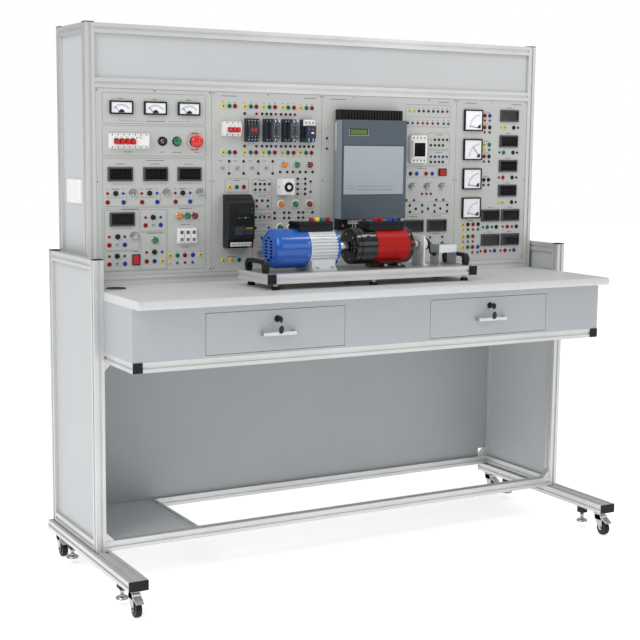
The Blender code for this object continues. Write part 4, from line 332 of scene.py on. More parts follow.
UP = (0.0, 0.0, 1.0)
LEFTWARD = (-1.0, 0.0, 0.0)
RIGHTWARD = (1.0, 0.0, 0.0)
BACKWARD = (0.0, 1.0, 0.0)
OUT = (0.0, -1.0, 0.0)
wheel_height = 0.02452
trail = 0.020
cheek_gap = 0.0103

for corner in ("left_front", "left_rear", "right_front", "right_rear"):
    low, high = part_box(corner + "_caster_fork")
    x = (low.x + high.x) / 2
    swivel_y = high.y - 0.0206
    axle = (x, swivel_y - trail, wheel_height)
    wheel = Form(tread_rubber)
    shoulder = circle(0.0034, 5, 0.0, 90.0)
    tyre = [(-0.0056 - a, 0.02110 + b) for a, b in shoulder]
    wheel.turned(axle, RIGHTWARD, [(-0.0086, 0.0166)] + tyre + [(-a, r) for a, r in reversed(tyre)]
                 + [(0.0086, 0.0166)], 48)
    wheel.wear(hub_nylon)
    for side in (-1.0, 1.0):
        face = (side, 0.0, 0.0)
        wheel.turned(axle, face, ((0.004, 0.0175), (0.0088, 0.0172), (0.0088, 0.0148), (0.0052, 0.0138),
                                  (0.0052, 0.0072), (0.0089, 0.0066), (0.0089, 0.0)), 40)
        for k in range(6):
            spoke = math.radians(60 * k)
            middle = Vector((0.0, math.cos(spoke), math.sin(spoke))) * 0.0105
            wheel.turned(Vector(axle) + middle, face, ((0.0048, 0.0016), (0.0080, 0.0013), (0.0080, 0.0)), 8)
    wheel.piece(corner + "_wheel_tyre", corner + "_wheel", "tread", corner + "_caster_wheel")

    fork = Form(zinc)
    fork.turned((x, swivel_y, 0.0), UP, ((0.0690, 0.0130), (0.0690, 0.0178), (0.0705, 0.0204), (0.0735, 0.0206),
                                         (0.0748, 0.0186), (0.0766, 0.0178), (0.0766, 0.0120)), 48)
    cheek = ((-0.014, 0.0686), (0.0135, 0.0686), (0.0125, 0.058), (-0.0115, 0.0185),
             (-0.0165, 0.0166), (-0.0240, 0.0170), (-0.0268, 0.0215), (-0.0262, 0.047))
    for side in (-1.0, 1.0):
        inner = x + side * cheek_gap
        low_x = min(inner, inner + side * 0.0022)
        fork.prism((low_x, swivel_y, 0.0), (BACKWARD, UP), cheek, 0.0022, 0.0006)
    fork.box((x - 0.0125, swivel_y - 0.0262, 0.0495), (x + 0.0125, swivel_y + 0.0130, 0.0520 + 0.017), 0.0015)
    pedal = ((-0.0465, 0.0500), (-0.0496, 0.0448), (-0.0480, 0.0436), (-0.0440, 0.0466), (-0.0240, 0.0560),
             (-0.0240, 0.0620), (-0.0300, 0.0600))
    fork.prism((x - 0.0118, swivel_y, 0.0), (BACKWARD, UP), pedal, 0.0236, 0.0008)
    fork.turned(axle, LEFTWARD, ((0.0124, 0.0052), (0.0160, 0.0052), (0.0166, 0.0045), (0.0166, 0.0)), 6)
    fork.turned(axle, RIGHTWARD, ((0.0124, 0.0056), (0.0150, 0.0050), (0.0158, 0.0), ), 20)
    fork.turned((x, swivel_y, 0.0), UP, ((0.0655, 0.0060), (0.0690, 0.0060), (0.0690, 0.0)), 6)
    fork.piece(corner + "_fork_and_pedal", corner + "_caster_swivel", "dark_plastic", corner + "_caster_fork")

    # Levelling foot: a zinc plated threaded stem with a lock nut, on a black rubber-soled disc.
    low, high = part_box(corner + "_levelling_foot")
    foot_x, foot_y = (low.x + high.x) / 2, (low.y + high.y) / 2
    foot = Form(zinc)
    stem = [(0.0270, 0.0), (0.0270, 0.0040)]
    for ridge in range(16):
        stem += [(0.0275 + 0.0015 * ridge, 0.0046), (0.02825 + 0.0015 * ridge, 0.0040)]
    stem += [(0.0520, 0.0044), (0.0975, 0.0044), (0.0975, 0.0)]
    foot.turned((foot_x, foot_y, 0.0), UP, stem, 20)
    foot.turned((foot_x, foot_y, 0.0), UP, ((0.0400, 0.0), (0.0400, 0.0078), (0.0405, 0.0084), (0.0455, 0.0084),
                                            (0.0460, 0.0078), (0.0460, 0.0)), 6)
    pad = (high.x - low.x) / 2
    foot.turned((foot_x, foot_y, 0.0), UP, ((0.0214, pad - 0.002), (0.0216, pad), (0.0232, pad), (0.0262, pad * 0.88),
                                            (0.0285, pad * 0.66), (0.0300, pad * 0.42), (0.0325, 0.0078), (0.0325, 0.0)), 48)
    foot.wear(tread_rubber)
    foot.turned((foot_x, foot_y, 0.0), UP, ((0.0202, 0.0), (0.0202, pad - 0.001), (0.0215, pad - 0.001), (0.0215, 0.0)), 48)
    foot.piece(corner + "_levelling_disc_and_stem", corner + "_leveller", "plated_steel",
               corner + "_levelling_foot")


# Sheet panels: 1 mm steel and 3 mm board panels slid into the profile grooves, powder coated
# in light grey. The fine orange peel of the coating softens every reflection.
powder_white = finish("light grey powder coat", "#C3C5C6", "#BEC0C1", 260.0, (0.42, 0.5), 0.03, 2.5, IOR=1.5)
powder_grey = finish("mid grey powder coat", "#ACB0B2", "#A6AAAC", 260.0, (0.42, 0.52), 0.03, 2.5, IOR=1.5)
outlet_white = finish("white moulded outlet plate", "#F1F1EF", "#EAEAE8", 30.0, (0.24, 0.34), IOR=1.52)
# Painted shade: a near black finish laid flat where slots, holes and gaps open, in place of the shade inside them.
painted_hole_shade = finish("painted shade in holes and gaps", "#121213", "#1B1B1C", 3.0, (0.5, 0.7))
dress(("left_end_panel", "right_end_panel", "floor_shelf", "cabinet_right_panel", "cabinet_top_panel",
       "cabinet_back_panel", "header_panel"), (powder_white,))
dress(("lower_back_panel",), (powder_grey,))
dress(("cabinet_left_panel",), (powder_white, outlet_white), lambda c: 1 if c.x < -0.8301 else 0)
low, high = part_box("cabinet_left_panel")
outlet_z = 1.176
outlet_y = (low.y + high.y) / 2
# The outlet's slots are flat dark marks: painted shade in the openings.
outlets = Form(painted_hole_shade)
for offset in (-0.032, 0.032):
    for spread, tilt in ((0.0, 0.0), (-0.0075, 0.35), (0.0075, -0.35)):
        height = outlet_z + (0.008 if spread == 0 else -0.006)
        middle = Vector((low.x + 0.0001, outlet_y + offset + spread, height))
        along = Vector((0.0, math.sin(tilt), math.cos(tilt)))
        side = Vector((0.0, along.z, -along.y))
        outline = ((-0.0012, -0.0042), (0.0012, -0.0042), (0.0012, 0.0042), (-0.0012, 0.0042))
        outlets.prism(middle, (side, along), outline, 0.0002)
outlets.piece("outlet_slots", "bench", "dark_plastic")


# Desk: a 25 mm particle board with a high pressure laminate and a rounded front edge, on a
# folded steel housing. A black plastic grommet lets cables through at the back left.
laminate = finish("light grey laminate", "#D0D1D1", "#CACBCB", 22.0, (0.36, 0.44), 0.01, 1.6, IOR=1.5)
housing_coat = finish("warm grey powder coat", "#B1B5B8", "#ACB0B3", 240.0, (0.40, 0.48), 0.03, 2.5, IOR=1.5)
handle_chrome = finish("satin chrome bar", "#D6D8DA", "#C3C5C8", 30.0, (0.12, 0.2), Metallic=1.0)
dress(("desk_top",), (laminate, cap_plastic), lambda c: 1 if c.z > 0.8921 else 0)
dress(("drawer_housing",), (housing_coat,))
dress(("left_drawer", "right_drawer"), (housing_coat, handle_chrome), lambda c: 1 if c.y < -0.2745 else 0)

# Cam locks: a black die-cast rosette, a chromed barrel with its key left in, and a flat black
# fob that hangs from the key's ring in front of the drawer.
fob_plastic = finish("black key fob", "#0F1012", "#17181A", 6.0, (0.3, 0.45), IOR=1.5)
for side in ("left", "right"):
    low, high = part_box(side + "_drawer_lock")
    x, z = (low.x + high.x) / 2, (low.z + high.z) / 2
    face_y = -0.274
    lock = Form(cap_plastic)
    lock.turned((x, face_y, z), OUT, ((-0.0090, 0.0), (-0.0090, 0.0096), (0.0005, 0.0096), (0.0022, 0.0092),
                                      (0.0029, 0.0080), (0.0029, 0.0052)), 40)
    lock.wear(handle_chrome)
    lock.turned((x, face_y, z), OUT, ((0.0018, 0.0053), (0.0026, 0.0051), (0.0026, 0.0)), 32)
    lock.box((x - 0.0010, face_y - 0.0130, z - 0.0036), (x + 0.0010, face_y - 0.0020, z + 0.0036), 0.0004)
    lock.wear(fob_plastic)
    bow = circle(0.0104, 28, 0.0, 360.0, (-0.0224, 0.0))
    lock.prism((x - 0.0014, face_y, z), (BACKWARD, UP), bow, 0.0028, 0.0009)
    lock.piece(side + "_lock_barrel_and_key", side + "_lock", "chrome", side + "_drawer_lock")
    fob = Form(handle_chrome)
    ring = [(x + 0.0068 * math.cos(a), face_y - 0.0285 + 0.0010 * math.sin(a), z - 0.0125 + 0.0068 * math.sin(a))
            for a in (math.radians(15 * k) for k in range(25))]
    fob.tube(ring, 0.0006, 8)
    fob.wear(fob_plastic)
    leaf = [(a * 0.62, b - 0.0290) for a, b in circle(0.0125, 28)]
    fob.prism((x - 0.0015, face_y - 0.0275, z), (RIGHTWARD, UP), leaf, 0.0026, 0.0007)
    fob.piece(side + "_key_fob", side + "_drawer", "dark_plastic")


# Module panels: four 3 mm aluminium sheets, coated light warm grey and screen printed with
# fine frames and wiring lines, each held to the cabinet by cross-head screws along its edges.
module_coat = finish("printed light grey module sheet", "#BEC0BC", "#B9BBB7", 240.0, (0.40, 0.5), 0.02, 1.8, IOR=1.5)
print_ink = finish("dark grey screen print", "#6E7270", "#676B69", 20.0, (0.5, 0.6))
# Black print for labels and scales; on the screw heads the same finish is painted shade in the cross recesses.
print_and_recess_shade = finish("black print and painted recess shade", "#2A2C2C", "#343636", 20.0, (0.5, 0.6))
screw_steel = finish("nickel plated screw head", "#C6C8C8", "#AEB0B0", 3.0, (0.22, 0.35), Metallic=1.0)
panel_y = 0.098
field_z = 0.928
MM = 0.001
modules = {name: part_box(name + "_module_panel") for name in ("power", "control", "drive", "meter")}


def at(module, x, z):
    """The place on a module's face of x and z in millimetres."""
    return Vector((modules[module][0].x + x * MM, panel_y, field_z + z * MM))


def strip(form, start, end, width, proud=0.15):
    """A straight printed line of a width in mm between two places on a face."""
    along = (end - start).normalized()
    side = along.cross(Vector(OUT))
    half = width * MM / 2
    length = (end - start).length
    outline = ((0.0, -half), (length, -half), (length, half), (0.0, half))
    form.prism(start, (along, side) if along.cross(side).y < 0 else (side, along),
               outline if along.cross(side).y < 0 else [(b, a) for a, b in outline], proud * MM)


def printed_arc(form, middle, radius, start, stop, width, swell=0.0, count=18, proud=0.15):
    """A printed arc in mm; its width grows by swell from its start to its stop."""
    outer = []
    inner = []
    for i in range(count):
        share = i / (count - 1)
        angle = math.radians(start + (stop - start) * share)
        half = (width + swell * share) / 2
        outer.append(((radius + half) * MM * math.cos(angle), (radius + half) * MM * math.sin(angle)))
        inner.append(((radius - half) * MM * math.cos(angle), (radius - half) * MM * math.sin(angle)))
    for i in range(count - 1):
        form.prism(middle, (RIGHTWARD, UP), (inner[i], outer[i], outer[i + 1], inner[i + 1]), proud * MM)


def panel_sheet(module, screws):
    low, high = modules[module]
    sheet = Form(module_coat)
    sheet.box((low.x, panel_y, low.z), (high.x, high.y, high.z), 0.0005)
    sheet.wear(screw_steel)
    for x, z in screws:
        place = at(module, x, z)
        sheet.turned(place, OUT, ((-0.001, 0.0), (-0.001, 0.0030), (0.0004, 0.0031), (0.0013, 0.0024),
                                  (0.0016, 0.0012), (0.0016, 0.0)), 20)
    # The black crosses on the screw heads are painted shade in their cross recesses.
    sheet.wear(print_and_recess_shade)
    for x, z in screws:
        place = at(module, x, z) + Vector(OUT) * 0.0015
        for across in (Vector((0.0013, 0.0, 0.0013)), Vector((0.0013, 0.0, -0.0013))):
            strip(sheet, place - across, place + across, 0.5, 0.16)
    sheet.piece(module + "_module_sheet", "bench", "module_sheet", module + "_module_panel")


def panel_print(module, frames, lines, labels):
    """Frames (x0, z0, x1, z1), lines (x0, z0, x1, z1) and short label bars (x, z, width)."""
    form = Form(print_ink)
    for x0, z0, x1, z1 in frames:
        corner = 4.0
        for a, b in (((x0 + corner, z0), (x1 - corner, z0)), ((x0 + corner, z1), (x1 - corner, z1)),
                     ((x0, z0 + corner), (x0, z1 - corner)), ((x1, z0 + corner), (x1, z1 - corner))):
            strip(form, at(module, *a), at(module, *b), 1.0)
        for x, z, start in ((x1 - corner, z1 - corner, 0), (x0 + corner, z1 - corner, 90),
                            (x0 + corner, z0 + corner, 180), (x1 - corner, z0 + corner, 270)):
            printed_arc(form, at(module, x, z), corner, start, start + 90, 1.0, 0.0, 6)
    for x0, z0, x1, z1 in lines:
        strip(form, at(module, x0, z0), at(module, x1, z1), 0.9, 0.12)
    form.wear(print_and_recess_shade)
    for x, z, width in labels:
        strip(form, at(module, x - width / 2, z), at(module, x + width / 2, z), 1.5)
    form.piece(module + "_module_print", "bench", "dark_plastic")


# Safety sockets: 4 mm laboratory sockets of moulded nylon in the phase colours, each with a
# flat collar, a deep shroud and a nickel plated contact. The dark disc in each hole is painted
# shade, and it is what reads from afar.
socket_plastics = {
    "yellow": finish("yellow moulded nylon", "#E6CE46", "#DCC23A", 8.0, (0.28, 0.4), IOR=1.4),
    "green": finish("green moulded nylon", "#0E7A60", "#0A6C55", 8.0, (0.28, 0.4), IOR=1.4),
    "red": finish("red moulded nylon", "#A60D1B", "#940A16", 8.0, (0.28, 0.4), IOR=1.4),
    "blue": finish("blue moulded nylon", "#2A49A6", "#233F96", 8.0, (0.28, 0.4), IOR=1.4),
    "black": finish("black moulded nylon collar", "#0C0D0E", "#141517", 8.0, (0.3, 0.42), IOR=1.38),
    "orange": finish("orange moulded nylon", "#E0852A", "#D2781F", 8.0, (0.28, 0.4), IOR=1.4),
    "brown": finish("dark red moulded nylon", "#6E1018", "#620D14", 8.0, (0.28, 0.4), IOR=1.4),
}
# Painted shade: a near black finish for the insides of socket holes, slots and sunk screw holes; it is also the real
# colour of the black leads on the drive's terminals.
hole_shade_and_black_lead = finish("painted hole shade and black lead", "#0A0A0B", "#121213", 2.0, (0.6, 0.8))
nickel = finish("nickel plated brass contact", "#57554E", "#4C4A44", 2.0, (0.3, 0.42), Metallic=0.8)
BIG, SMALL = 7.2, 4.4


def socket(form, place, plastic, radius):
    """Collar, shroud and contact of one socket, whose collar has a radius in mm."""
    r = radius * MM
    form.wear(plastic)
    form.turned(place, OUT, ((-0.001, 0.0), (-0.001, r), (0.0014, r), (0.0022, r - 0.0007), (0.0026, r * 0.66),
                             (0.0034, r * 0.60), (0.0034, r * 0.45), (0.0004, r * 0.42), (0.0004, r * 0.36)), 24)
    # The dark disc inside the shroud is painted shade in the socket's hole.
    form.wear(hole_shade_and_black_lead)
    form.turned(place, OUT, ((0.0003, 0.0), (0.0003, r * 0.43), (0.0006, r * 0.43), (0.0006, 0.0)), 12)
    form.wear(nickel)
    form.turned(place, OUT, ((0.0005, r * 0.24), (0.0022, r * 0.24), (0.0022, r * 0.14), (0.0006, r * 0.12)), 10)


def fuse_cap(form, place):
    """A black screw-in fuse cap with a knurled rim and a coin slot."""
    form.wear(socket_plastics["black"])
    form.turned(place, OUT, ((-0.001, 0.0), (-0.001, 0.0082), (0.0016, 0.0082), (0.0022, 0.0070), (0.0070, 0.0066),
                             (0.0078, 0.0058), (0.0078, 0.0)), 24)
    # The coin slot is a dark bar of painted shade.
    form.wear(hole_shade_and_black_lead)
    form.box(place + Vector((-0.0045, -0.0080, -0.0006)), place + Vector((0.0045, -0.0077, 0.0006)))


def panel_sockets(module, rows):
    """Rows of (z, colour, radius, x places); a radius of 0 stands for a fuse cap."""
    forms = {}
    for z, tone, radius, places in rows:
        form = forms.setdefault(tone if radius else "cap", Form(hole_shade_and_black_lead))
        for x in places:
            if radius:
                socket(form, at(module, x, z), socket_plastics[tone], radius)
            else:
                fuse_cap(form, at(module, x, z))
    for tone, form in forms.items():
        kind = "fuse_caps" if tone == "cap" else tone + "_sockets"
        form.piece(f"{module}_module_{kind}", "bench", "dark_plastic")


# Digital meters: 80 by 42 mm panel meters, a dark grey moulded bezel around a smoked red
# window. Unlit seven-segment digits show faintly behind the gloss.
bezel_grey = finish("dark grey meter bezel", "#46484D", "#3B3D42", 20.0, (0.32, 0.42), 0.01, 0.8, IOR=1.5)
smoked_window = finish("smoked dark red window", "#0B0609", "#100810", 25.0, (0.06, 0.12), IOR=1.49)
unlit_digit = finish("unlit display segment", "#1A0E14", "#201018", 6.0, (0.2, 0.3), IOR=1.49)
SEGMENTS = (((-1, 2), (1, 2)), ((-1, 0), (1, 0)), ((-1, -2), (1, -2)),
            ((-1, 0), (-1, 2)), ((-1, -2), (-1, 0)), ((1, 0), (1, 2)), ((1, -2), (1, 0)))


def digital_meters(module, places, width=80.0, high=42.0):
    form = Form(bezel_grey)
    for x, z in places:
        form.wear(bezel_grey)
        place = at(module, x, z)
        w, h = width * MM / 2, high * MM / 2
        rim = 0.0050
        outer = ((-w, -h), (w, -h), (w, h), (-w, h))
        inner = ((-w + rim, -h + rim), (w - rim, -h + rim), (w - rim, h - rim), (-w + rim, h - rim))
        for i in range(4):
            j = (i + 1) % 4
            levels = ((outer[i], outer[j], 0.0, 0.0046), (inner[i], inner[j], 0.0064, 0.0064))
            (a, b, _, low_out), (c, d, high_out, _) = levels
            corners = [(a, 0.0), (b, 0.0), (b, low_out), (d, high_out), (d, 0.0022), (c, 0.0022),
                       (c, high_out), (a, low_out)]
            points = [place + Vector((p[0], -out, p[1])) for p, out in corners]
            verts = [form.mesh.verts.new(point) for point in points]
            faces = [form.mesh.faces.new([verts[k] for k in quad])
                     for quad in ((0, 1, 2, 7), (7, 2, 3, 6), (6, 3, 4, 5))]
            form.paint(faces)
        form.wear(smoked_window)
        form.box(place + Vector((-w + rim * 0.9, -0.0024, -h + rim * 0.9)),
                 place + Vector((w - rim * 0.9, 0.0, h - rim * 0.9)))
        form.wear(unlit_digit)
        for k in range(4):
            middle = place + Vector(((-25.5 + 17.0 * k) * MM * width / 80.0, -0.0024, 0.0))
            for (a0, b0), (a1, b1) in SEGMENTS:
                start = middle + Vector((a0 * 0.0042, 0.0, b0 * 0.0042))
                end = middle + Vector((a1 * 0.0042, 0.0, b1 * 0.0042))
                strip(form, start.lerp(end, 0.12), start.lerp(end, 0.88), 1.3, 0.08)
    form.piece(module + "_module_digital_meters", "bench", "dark_plastic")


# Pointer meters: a black moulded case with a clear cover over a white printed dial. The cover
# is left off as a solid so the dial stays bright; its gloss is carried by the dial's coat.
meter_black = finish("black meter case", "#0E0F12", "#16181B", 15.0, (0.22, 0.32), IOR=1.38)
dial_white = finish("white dial behind a clear cover", "#F4F5F7", "#ECEEF2", 30.0, (0.3, 0.4),
                    Coat_Weight=1.0, Coat_Roughness=0.04)
pointer_black = finish("black pointer lacquer", "#08080A", "#0F0F11", 10.0, (0.3, 0.4))
scale_grey = finish("grey scale print", "#4A4D55", "#555862", 10.0, (0.45, 0.6))


def pointer_meters(module, places, width, high, pivot, start, stop, reach, rests):
    """Meters with an arc scale about pivot (mm from the middle), from start to stop degrees."""
    form = Form(meter_black)
    for k_place, (x, z) in enumerate(places):
        place = at(module, x, z)
        w, h = width * MM / 2, high * MM / 2
        rim = 0.0045
        form.wear(meter_black)
        for low_corner, high_corner in (((-w, -h), (w, -h + rim)), ((-w, h - rim), (w, h)),
                                        ((-w, -h + rim * 0.9), (-w + rim, h - rim * 0.9)),
                                        ((w - rim, -h + rim * 0.9), (w, h - rim * 0.9))):
            form.box(place + Vector((low_corner[0], -0.0086, low_corner[1])),
                     place + Vector((high_corner[0], 0.0, high_corner[1])), 0.0009)
        form.wear(dial_white)
        form.box(place + Vector((-w + rim * 0.8, -0.0062, -h + rim * 0.8)),
                 place + Vector((w - rim * 0.8, 0.0, h - rim * 0.8)))
        face = place + Vector((0.0, -0.0062, 0.0))
        middle = face + Vector((pivot[0] * MM, 0.0, pivot[1] * MM))
        form.wear(scale_grey)
        printed_arc(form, middle, reach, start, stop, 0.9, 0.0, 22, 0.1)
        printed_arc(form, middle, reach - 4.0, start, stop, 0.5, 0.0, 22, 0.1)
        for k in range(11):
            angle = math.radians(start + (stop - start) * k / 10)
            ray = Vector((math.cos(angle), 0.0, math.sin(angle)))
            far = reach + (3.4 if k % 5 == 0 else 2.2)
            strip(form, middle + ray * (reach - 4.0) * MM, middle + ray * far * MM, 0.6, 0.12)
        form.wear(pointer_black)
        angle = math.radians(rests[k_place % len(rests)])
        ray = Vector((math.cos(angle), 0.0, math.sin(angle)))
        strip(form, middle + ray * 7.0 * MM, middle + ray * (reach + 1.0) * MM, 1.9 if high > 60 else 1.3, 0.9)
        boss = 13.0 if high > 60 else 9.0
        base = Vector((max(-w + rim + 0.001, min(w - rim - 0.001, pivot[0] * MM)), 0.0,
                       max(-h + rim + 0.001, min(h - rim - 0.001, pivot[1] * MM))))
        angles = (0, 180) if pivot[0] == 0 else (90, 180)
        hub = [(0.0, 0.0)] if pivot[0] else []
        hub += circle(boss * MM, 12, *angles)
        form.prism(face + base, (RIGHTWARD, UP), hub, 0.0008)
    kind = "square_meters" if high > 60 else "pointer_meters"
    form.piece(f"{module}_module_{kind}", "bench", "dark_plastic")


# Lamps, potentiometers and toggle switches: 22 mm pilot lamps with ribbed lenses, turned
# chrome knobs over a printed swelling scale, and small metal toggles held by a hex nut.
lens_plastics = {
    "orange": finish("orange lamp lens", "#E08A16", "#C97408", 7.0, (0.14, 0.22), 0.05, 1.6,
                     Coat_Weight=0.6, Subsurface_Weight=0.12),
    "green": finish("green lamp lens", "#0C7F4E", "#086A40", 7.0, (0.14, 0.22), 0.05, 1.6,
                    Coat_Weight=0.6, Subsurface_Weight=0.12),
    "red": finish("dark red lamp lens", "#8A0F18", "#740B12", 7.0, (0.14, 0.22), 0.05, 1.6,
                  Coat_Weight=0.6, Subsurface_Weight=0.12),
}
knob_chrome = finish("turned chromed knob", "#D9DBDD", "#BFC1C4", 5.0, (0.14, 0.24), Metallic=1.0)


def lamps(module, entries):
    """Entries of (x, z, colour, radius in mm)."""
    form = Form(socket_plastics["black"])
    for x, z, tone, radius in entries:
        place = at(module, x, z)
        r = radius * MM
        form.wear(handle_chrome if radius < 14 else socket_plastics["black"])
        form.turned(place, OUT, ((-0.001, 0.0), (-0.001, r), (0.0020, r), (0.0032, r * 0.94), (0.0036, r * 0.86),
                                 (0.0030, r * 0.82)), 40)
        form.wear(lens_plastics[tone])
        form.turned(place, OUT, ((0.0024, r * 0.84), (0.0072, r * 0.82), (0.0088, r * 0.70), (0.0096, r * 0.42),
                                 (0.0099, 0.0)), 40)
        for k in range(-3, 4):
            half = math.sqrt(max(0.0, 0.66 ** 2 - (k * 0.18) ** 2)) * r
            if half > 0.001:
                form.box(place + Vector((k * 0.18 * r - 0.0003, -0.0096 + abs(k) * 0.0003, -half)),
                         place + Vector((k * 0.18 * r + 0.0003, -0.0060, half)), 0.0002, 1)
    form.piece(module + "_module_pilot_lamps", "bench", "red_plastic")


def knobs(module, places, radius=9.5):
    form = Form(knob_chrome)
    for x, z in places:
        place = at(module, x, z)
        r = radius * MM
        form.wear(print_and_recess_shade)
        printed_arc(form, place, radius + 3.6, -20.0, 190.0, 0.5, 2.6, 22)
        form.wear(knob_chrome)
        form.turned(place, OUT, ((-0.001, 0.0), (-0.001, r * 0.86), (0.0010, r * 0.86), (0.0018, r), (0.0085, r * 0.93),
                                 (0.0104, r * 0.84), (0.0108, r * 0.70), (0.0098, r * 0.62), (0.0098, 0.0)), 48)
        for k in range(24):
            angle = 2 * math.pi * k / 24
            spot = Vector((math.cos(angle) * r * 0.955, 0.0, math.sin(angle) * r * 0.955))
            form.turned(place + spot, OUT, ((0.0022, 0.0006), (0.0080, 0.0006), (0.0084, 0.0003)), 6)
        form.wear(print_and_recess_shade)
        strip(form, place + Vector((0.0, -0.0098, 0.0)), place + Vector((-r * 0.4, -0.0098, r * 0.45)), 0.9, 0.2)
    form.piece(module + "_module_knobs", "bench", "chrome")


def toggles(module, places, size=1.0):
    form = Form(zinc)
    for x, z in places:
        place = at(module, x, z)
        form.turned(place, OUT, ((-0.001, 0.0), (-0.001, 0.0066 * size), (0.0008, 0.0066 * size), (0.0008, 0.0)), 28)
        form.turned(place, OUT, ((0.0006, 0.0), (0.0006, 0.0052 * size), (0.0026, 0.0052 * size), (0.0028, 0.0046 * size),
                                 (0.0028, 0.0)), 6)
        form.turned(place, OUT, ((0.0026, 0.0), (0.0026, 0.0031 * size), (0.0060, 0.0031 * size), (0.0064, 0.0026 * size),
                                 (0.0064, 0.0)), 20)
        lean = Vector((-0.10, -0.86, 0.50)).normalized()
        form.turned(place + Vector((0.0, -0.0050, 0.0)), lean, ((0.0, 0.0012 * size), (0.0090 * size, 0.0016 * size),
                                                               (0.0110 * size, 0.0019 * size), (0.0120 * size, 0.0012 * size),
                                                               (0.0122 * size, 0.0)), 14)
    form.piece(module + "_module_toggles", "bench", "chrome")


# Power module: three pointer meters, the mains breaker with its key switch, pilot lamp and
# emergency stop, three metered supplies and the auxiliary supplies with their fuses.
edge_screws = (5.5, 280.0, 552.0)
panel_sheet("power", [(x, z) for x in (5.5, 375.0) for z in edge_screws] + [(190.0, 552.0)])
panel_print(
    "power",
    ((22, 454, 360, 545), (21, 357, 360, 448), (21, 205, 360, 350), (20, 7, 359, 200), (26, 72, 136, 194),
     (26, 10, 136, 68), (142, 128, 226, 194), (142, 10, 226, 124)),
    ((231, 10, 231, 194), (76, 470, 76, 462), (76, 462, 150, 462), (236, 462, 303, 462), (303, 462, 303, 470),
     (45, 272, 118, 272), (152, 272, 231, 272), (264, 272, 345, 272), (48, 137, 116, 137))
    + tuple(line for x in (36, 146, 257) for line in ((x, 238, x, 231), (x, 231, x + 50, 231), (x + 50, 231, x + 50, 238),
                                                      (x + 50, 244, x + 61, 244), (x + 61, 244, x + 61, 217),
                                                      (x + 61, 217, x + 58, 217))),
    ((80, 528, 14), (190, 528, 14), (302, 528, 14), (193, 462, 62), (103, 369, 28), (214, 369, 14), (263, 369, 32),
     (330, 369, 14), (190, 343, 60), (78, 333, 28), (190, 333, 28), (302, 333, 28), (110, 196, 56), (292, 196, 46),
     (190, 121, 54), (292, 146, 34), (290, 76, 26), (126, 67, 18))
    + tuple((x + 25, 257, 26) for x in (36, 146, 257)) + tuple((x, 257, 6) for x in (36, 146, 257, 86, 196, 307))
    + tuple((x, 62, 4) for x in (238, 264, 289, 316, 341)))
panel_sockets("power", (
    (244, "red", SMALL, (36, 146, 257)), (244, "black", 0, (62, 172, 282)), (244, "blue", SMALL, (86, 196, 307)),
    (217, "red", BIG, (36, 147, 258)), (217, "blue", BIG, (87, 197, 307)),
    (113, "red", SMALL, (40,)), (113, "black", 0, (67,)), (113, "blue", SMALL, (90,)), (88, "red", BIG, (40,)),
    (88, "blue", BIG, (90,)), (54, "red", SMALL, (40,)), (54, "black", 0, (65,)), (54, "blue", SMALL, (89,)),
    (30, "red", BIG, (40,)), (30, "blue", BIG, (90,)), (170, "red", SMALL, (158,)), (170, "black", 0, (183,)),
    (170, "blue", SMALL, (208,)), (146, "red", BIG, (158,)), (146, "blue", BIG, (208,)),
    (63, "red", SMALL, (161,)), (63, "black", 0, (187,)), (63, "blue", SMALL, (212,)), (35, "red", BIG, (161,)),
    (35, "blue", BIG, (187,)), (35, "yellow", BIG, (213,)), (50, "yellow", BIG, (238, 341)), (50, "green", BIG, (264,)),
    (50, "red", BIG, (289,)), (50, "blue", BIG, (316,)), (27, "yellow", SMALL, (238,)), (27, "green", SMALL, (263,)),
    (27, "red", SMALL, (289,)), (27, "blue", SMALL, (315,))))
digital_meters("power", ((77, 302), (191.5, 302), (304.5, 302), (82, 166)))
pointer_meters("power", ((81.5, 501.5), (191, 501.5), (302.5, 501.5)), 74, 40, (0.0, -24.0), 40.0, 140.0, 33.0,
               (128.0,))
lamps("power", ((263, 402, "green", 15.0), (188, 100, "green", 12.0), (270, 173, "orange", 12.5),
                (296, 173, "green", 12.5), (321, 173, "red", 12.5)))
knobs("power", ((119, 244), (229, 244), (341, 244), (122, 113)))
toggles("power", ((66, 88), (66, 30), (184, 146)), 0.8)

# The emergency stop: a mushroom head of glossy red plastic over a black collar and a printed
# ring; the key switch beside it has a black rosette; both turn or press on their own bodies.
stop_red = finish("glossy signal red plastic", "#E02A1E", "#D52419", 12.0, (0.14, 0.22), Coat_Weight=0.5,
                  Coat_Roughness=0.08)
low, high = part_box("emergency_stop_button")
stop_place = Vector(((low.x + high.x) / 2, panel_y, (low.z + high.z) / 2))
stop = Form(stop_red)
stop.turned(stop_place, OUT, ((0.0120, 0.0110), (0.0128, 0.0178), (0.0150, 0.0194), (0.0190, 0.0195), (0.0222, 0.0180),
                              (0.0252, 0.0140), (0.0270, 0.0080), (0.0278, 0.0)), 56)
stop.turned(stop_place, OUT, ((-0.0095, 0.0), (-0.0095, 0.0100), (0.0128, 0.0112), (0.0128, 0.0)), 32)
stop.piece("emergency_stop_mushroom", "stop_button", "red_plastic", "emergency_stop_button")
collars = Form(socket_plastics["black"])
collars.turned(stop_place, OUT, ((0.0, 0.0116), (0.0, 0.0170), (0.0030, 0.0168), (0.0064, 0.0145), (0.0064, 0.0120)), 48)
collars.wear(stop_red)
printed_arc(collars, stop_place, 29.0, 0.0, 360.0, 0.8, 0.0, 60)
for start in (58.0, 238.0):
    printed_arc(collars, stop_place, 25.0, start, start + 64.0, 3.4, 0.0, 26, 0.12)
low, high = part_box("key_switch")
key_place = Vector(((low.x + high.x) / 2, panel_y, (low.z + high.z) / 2))
collars.wear(cap_plastic)
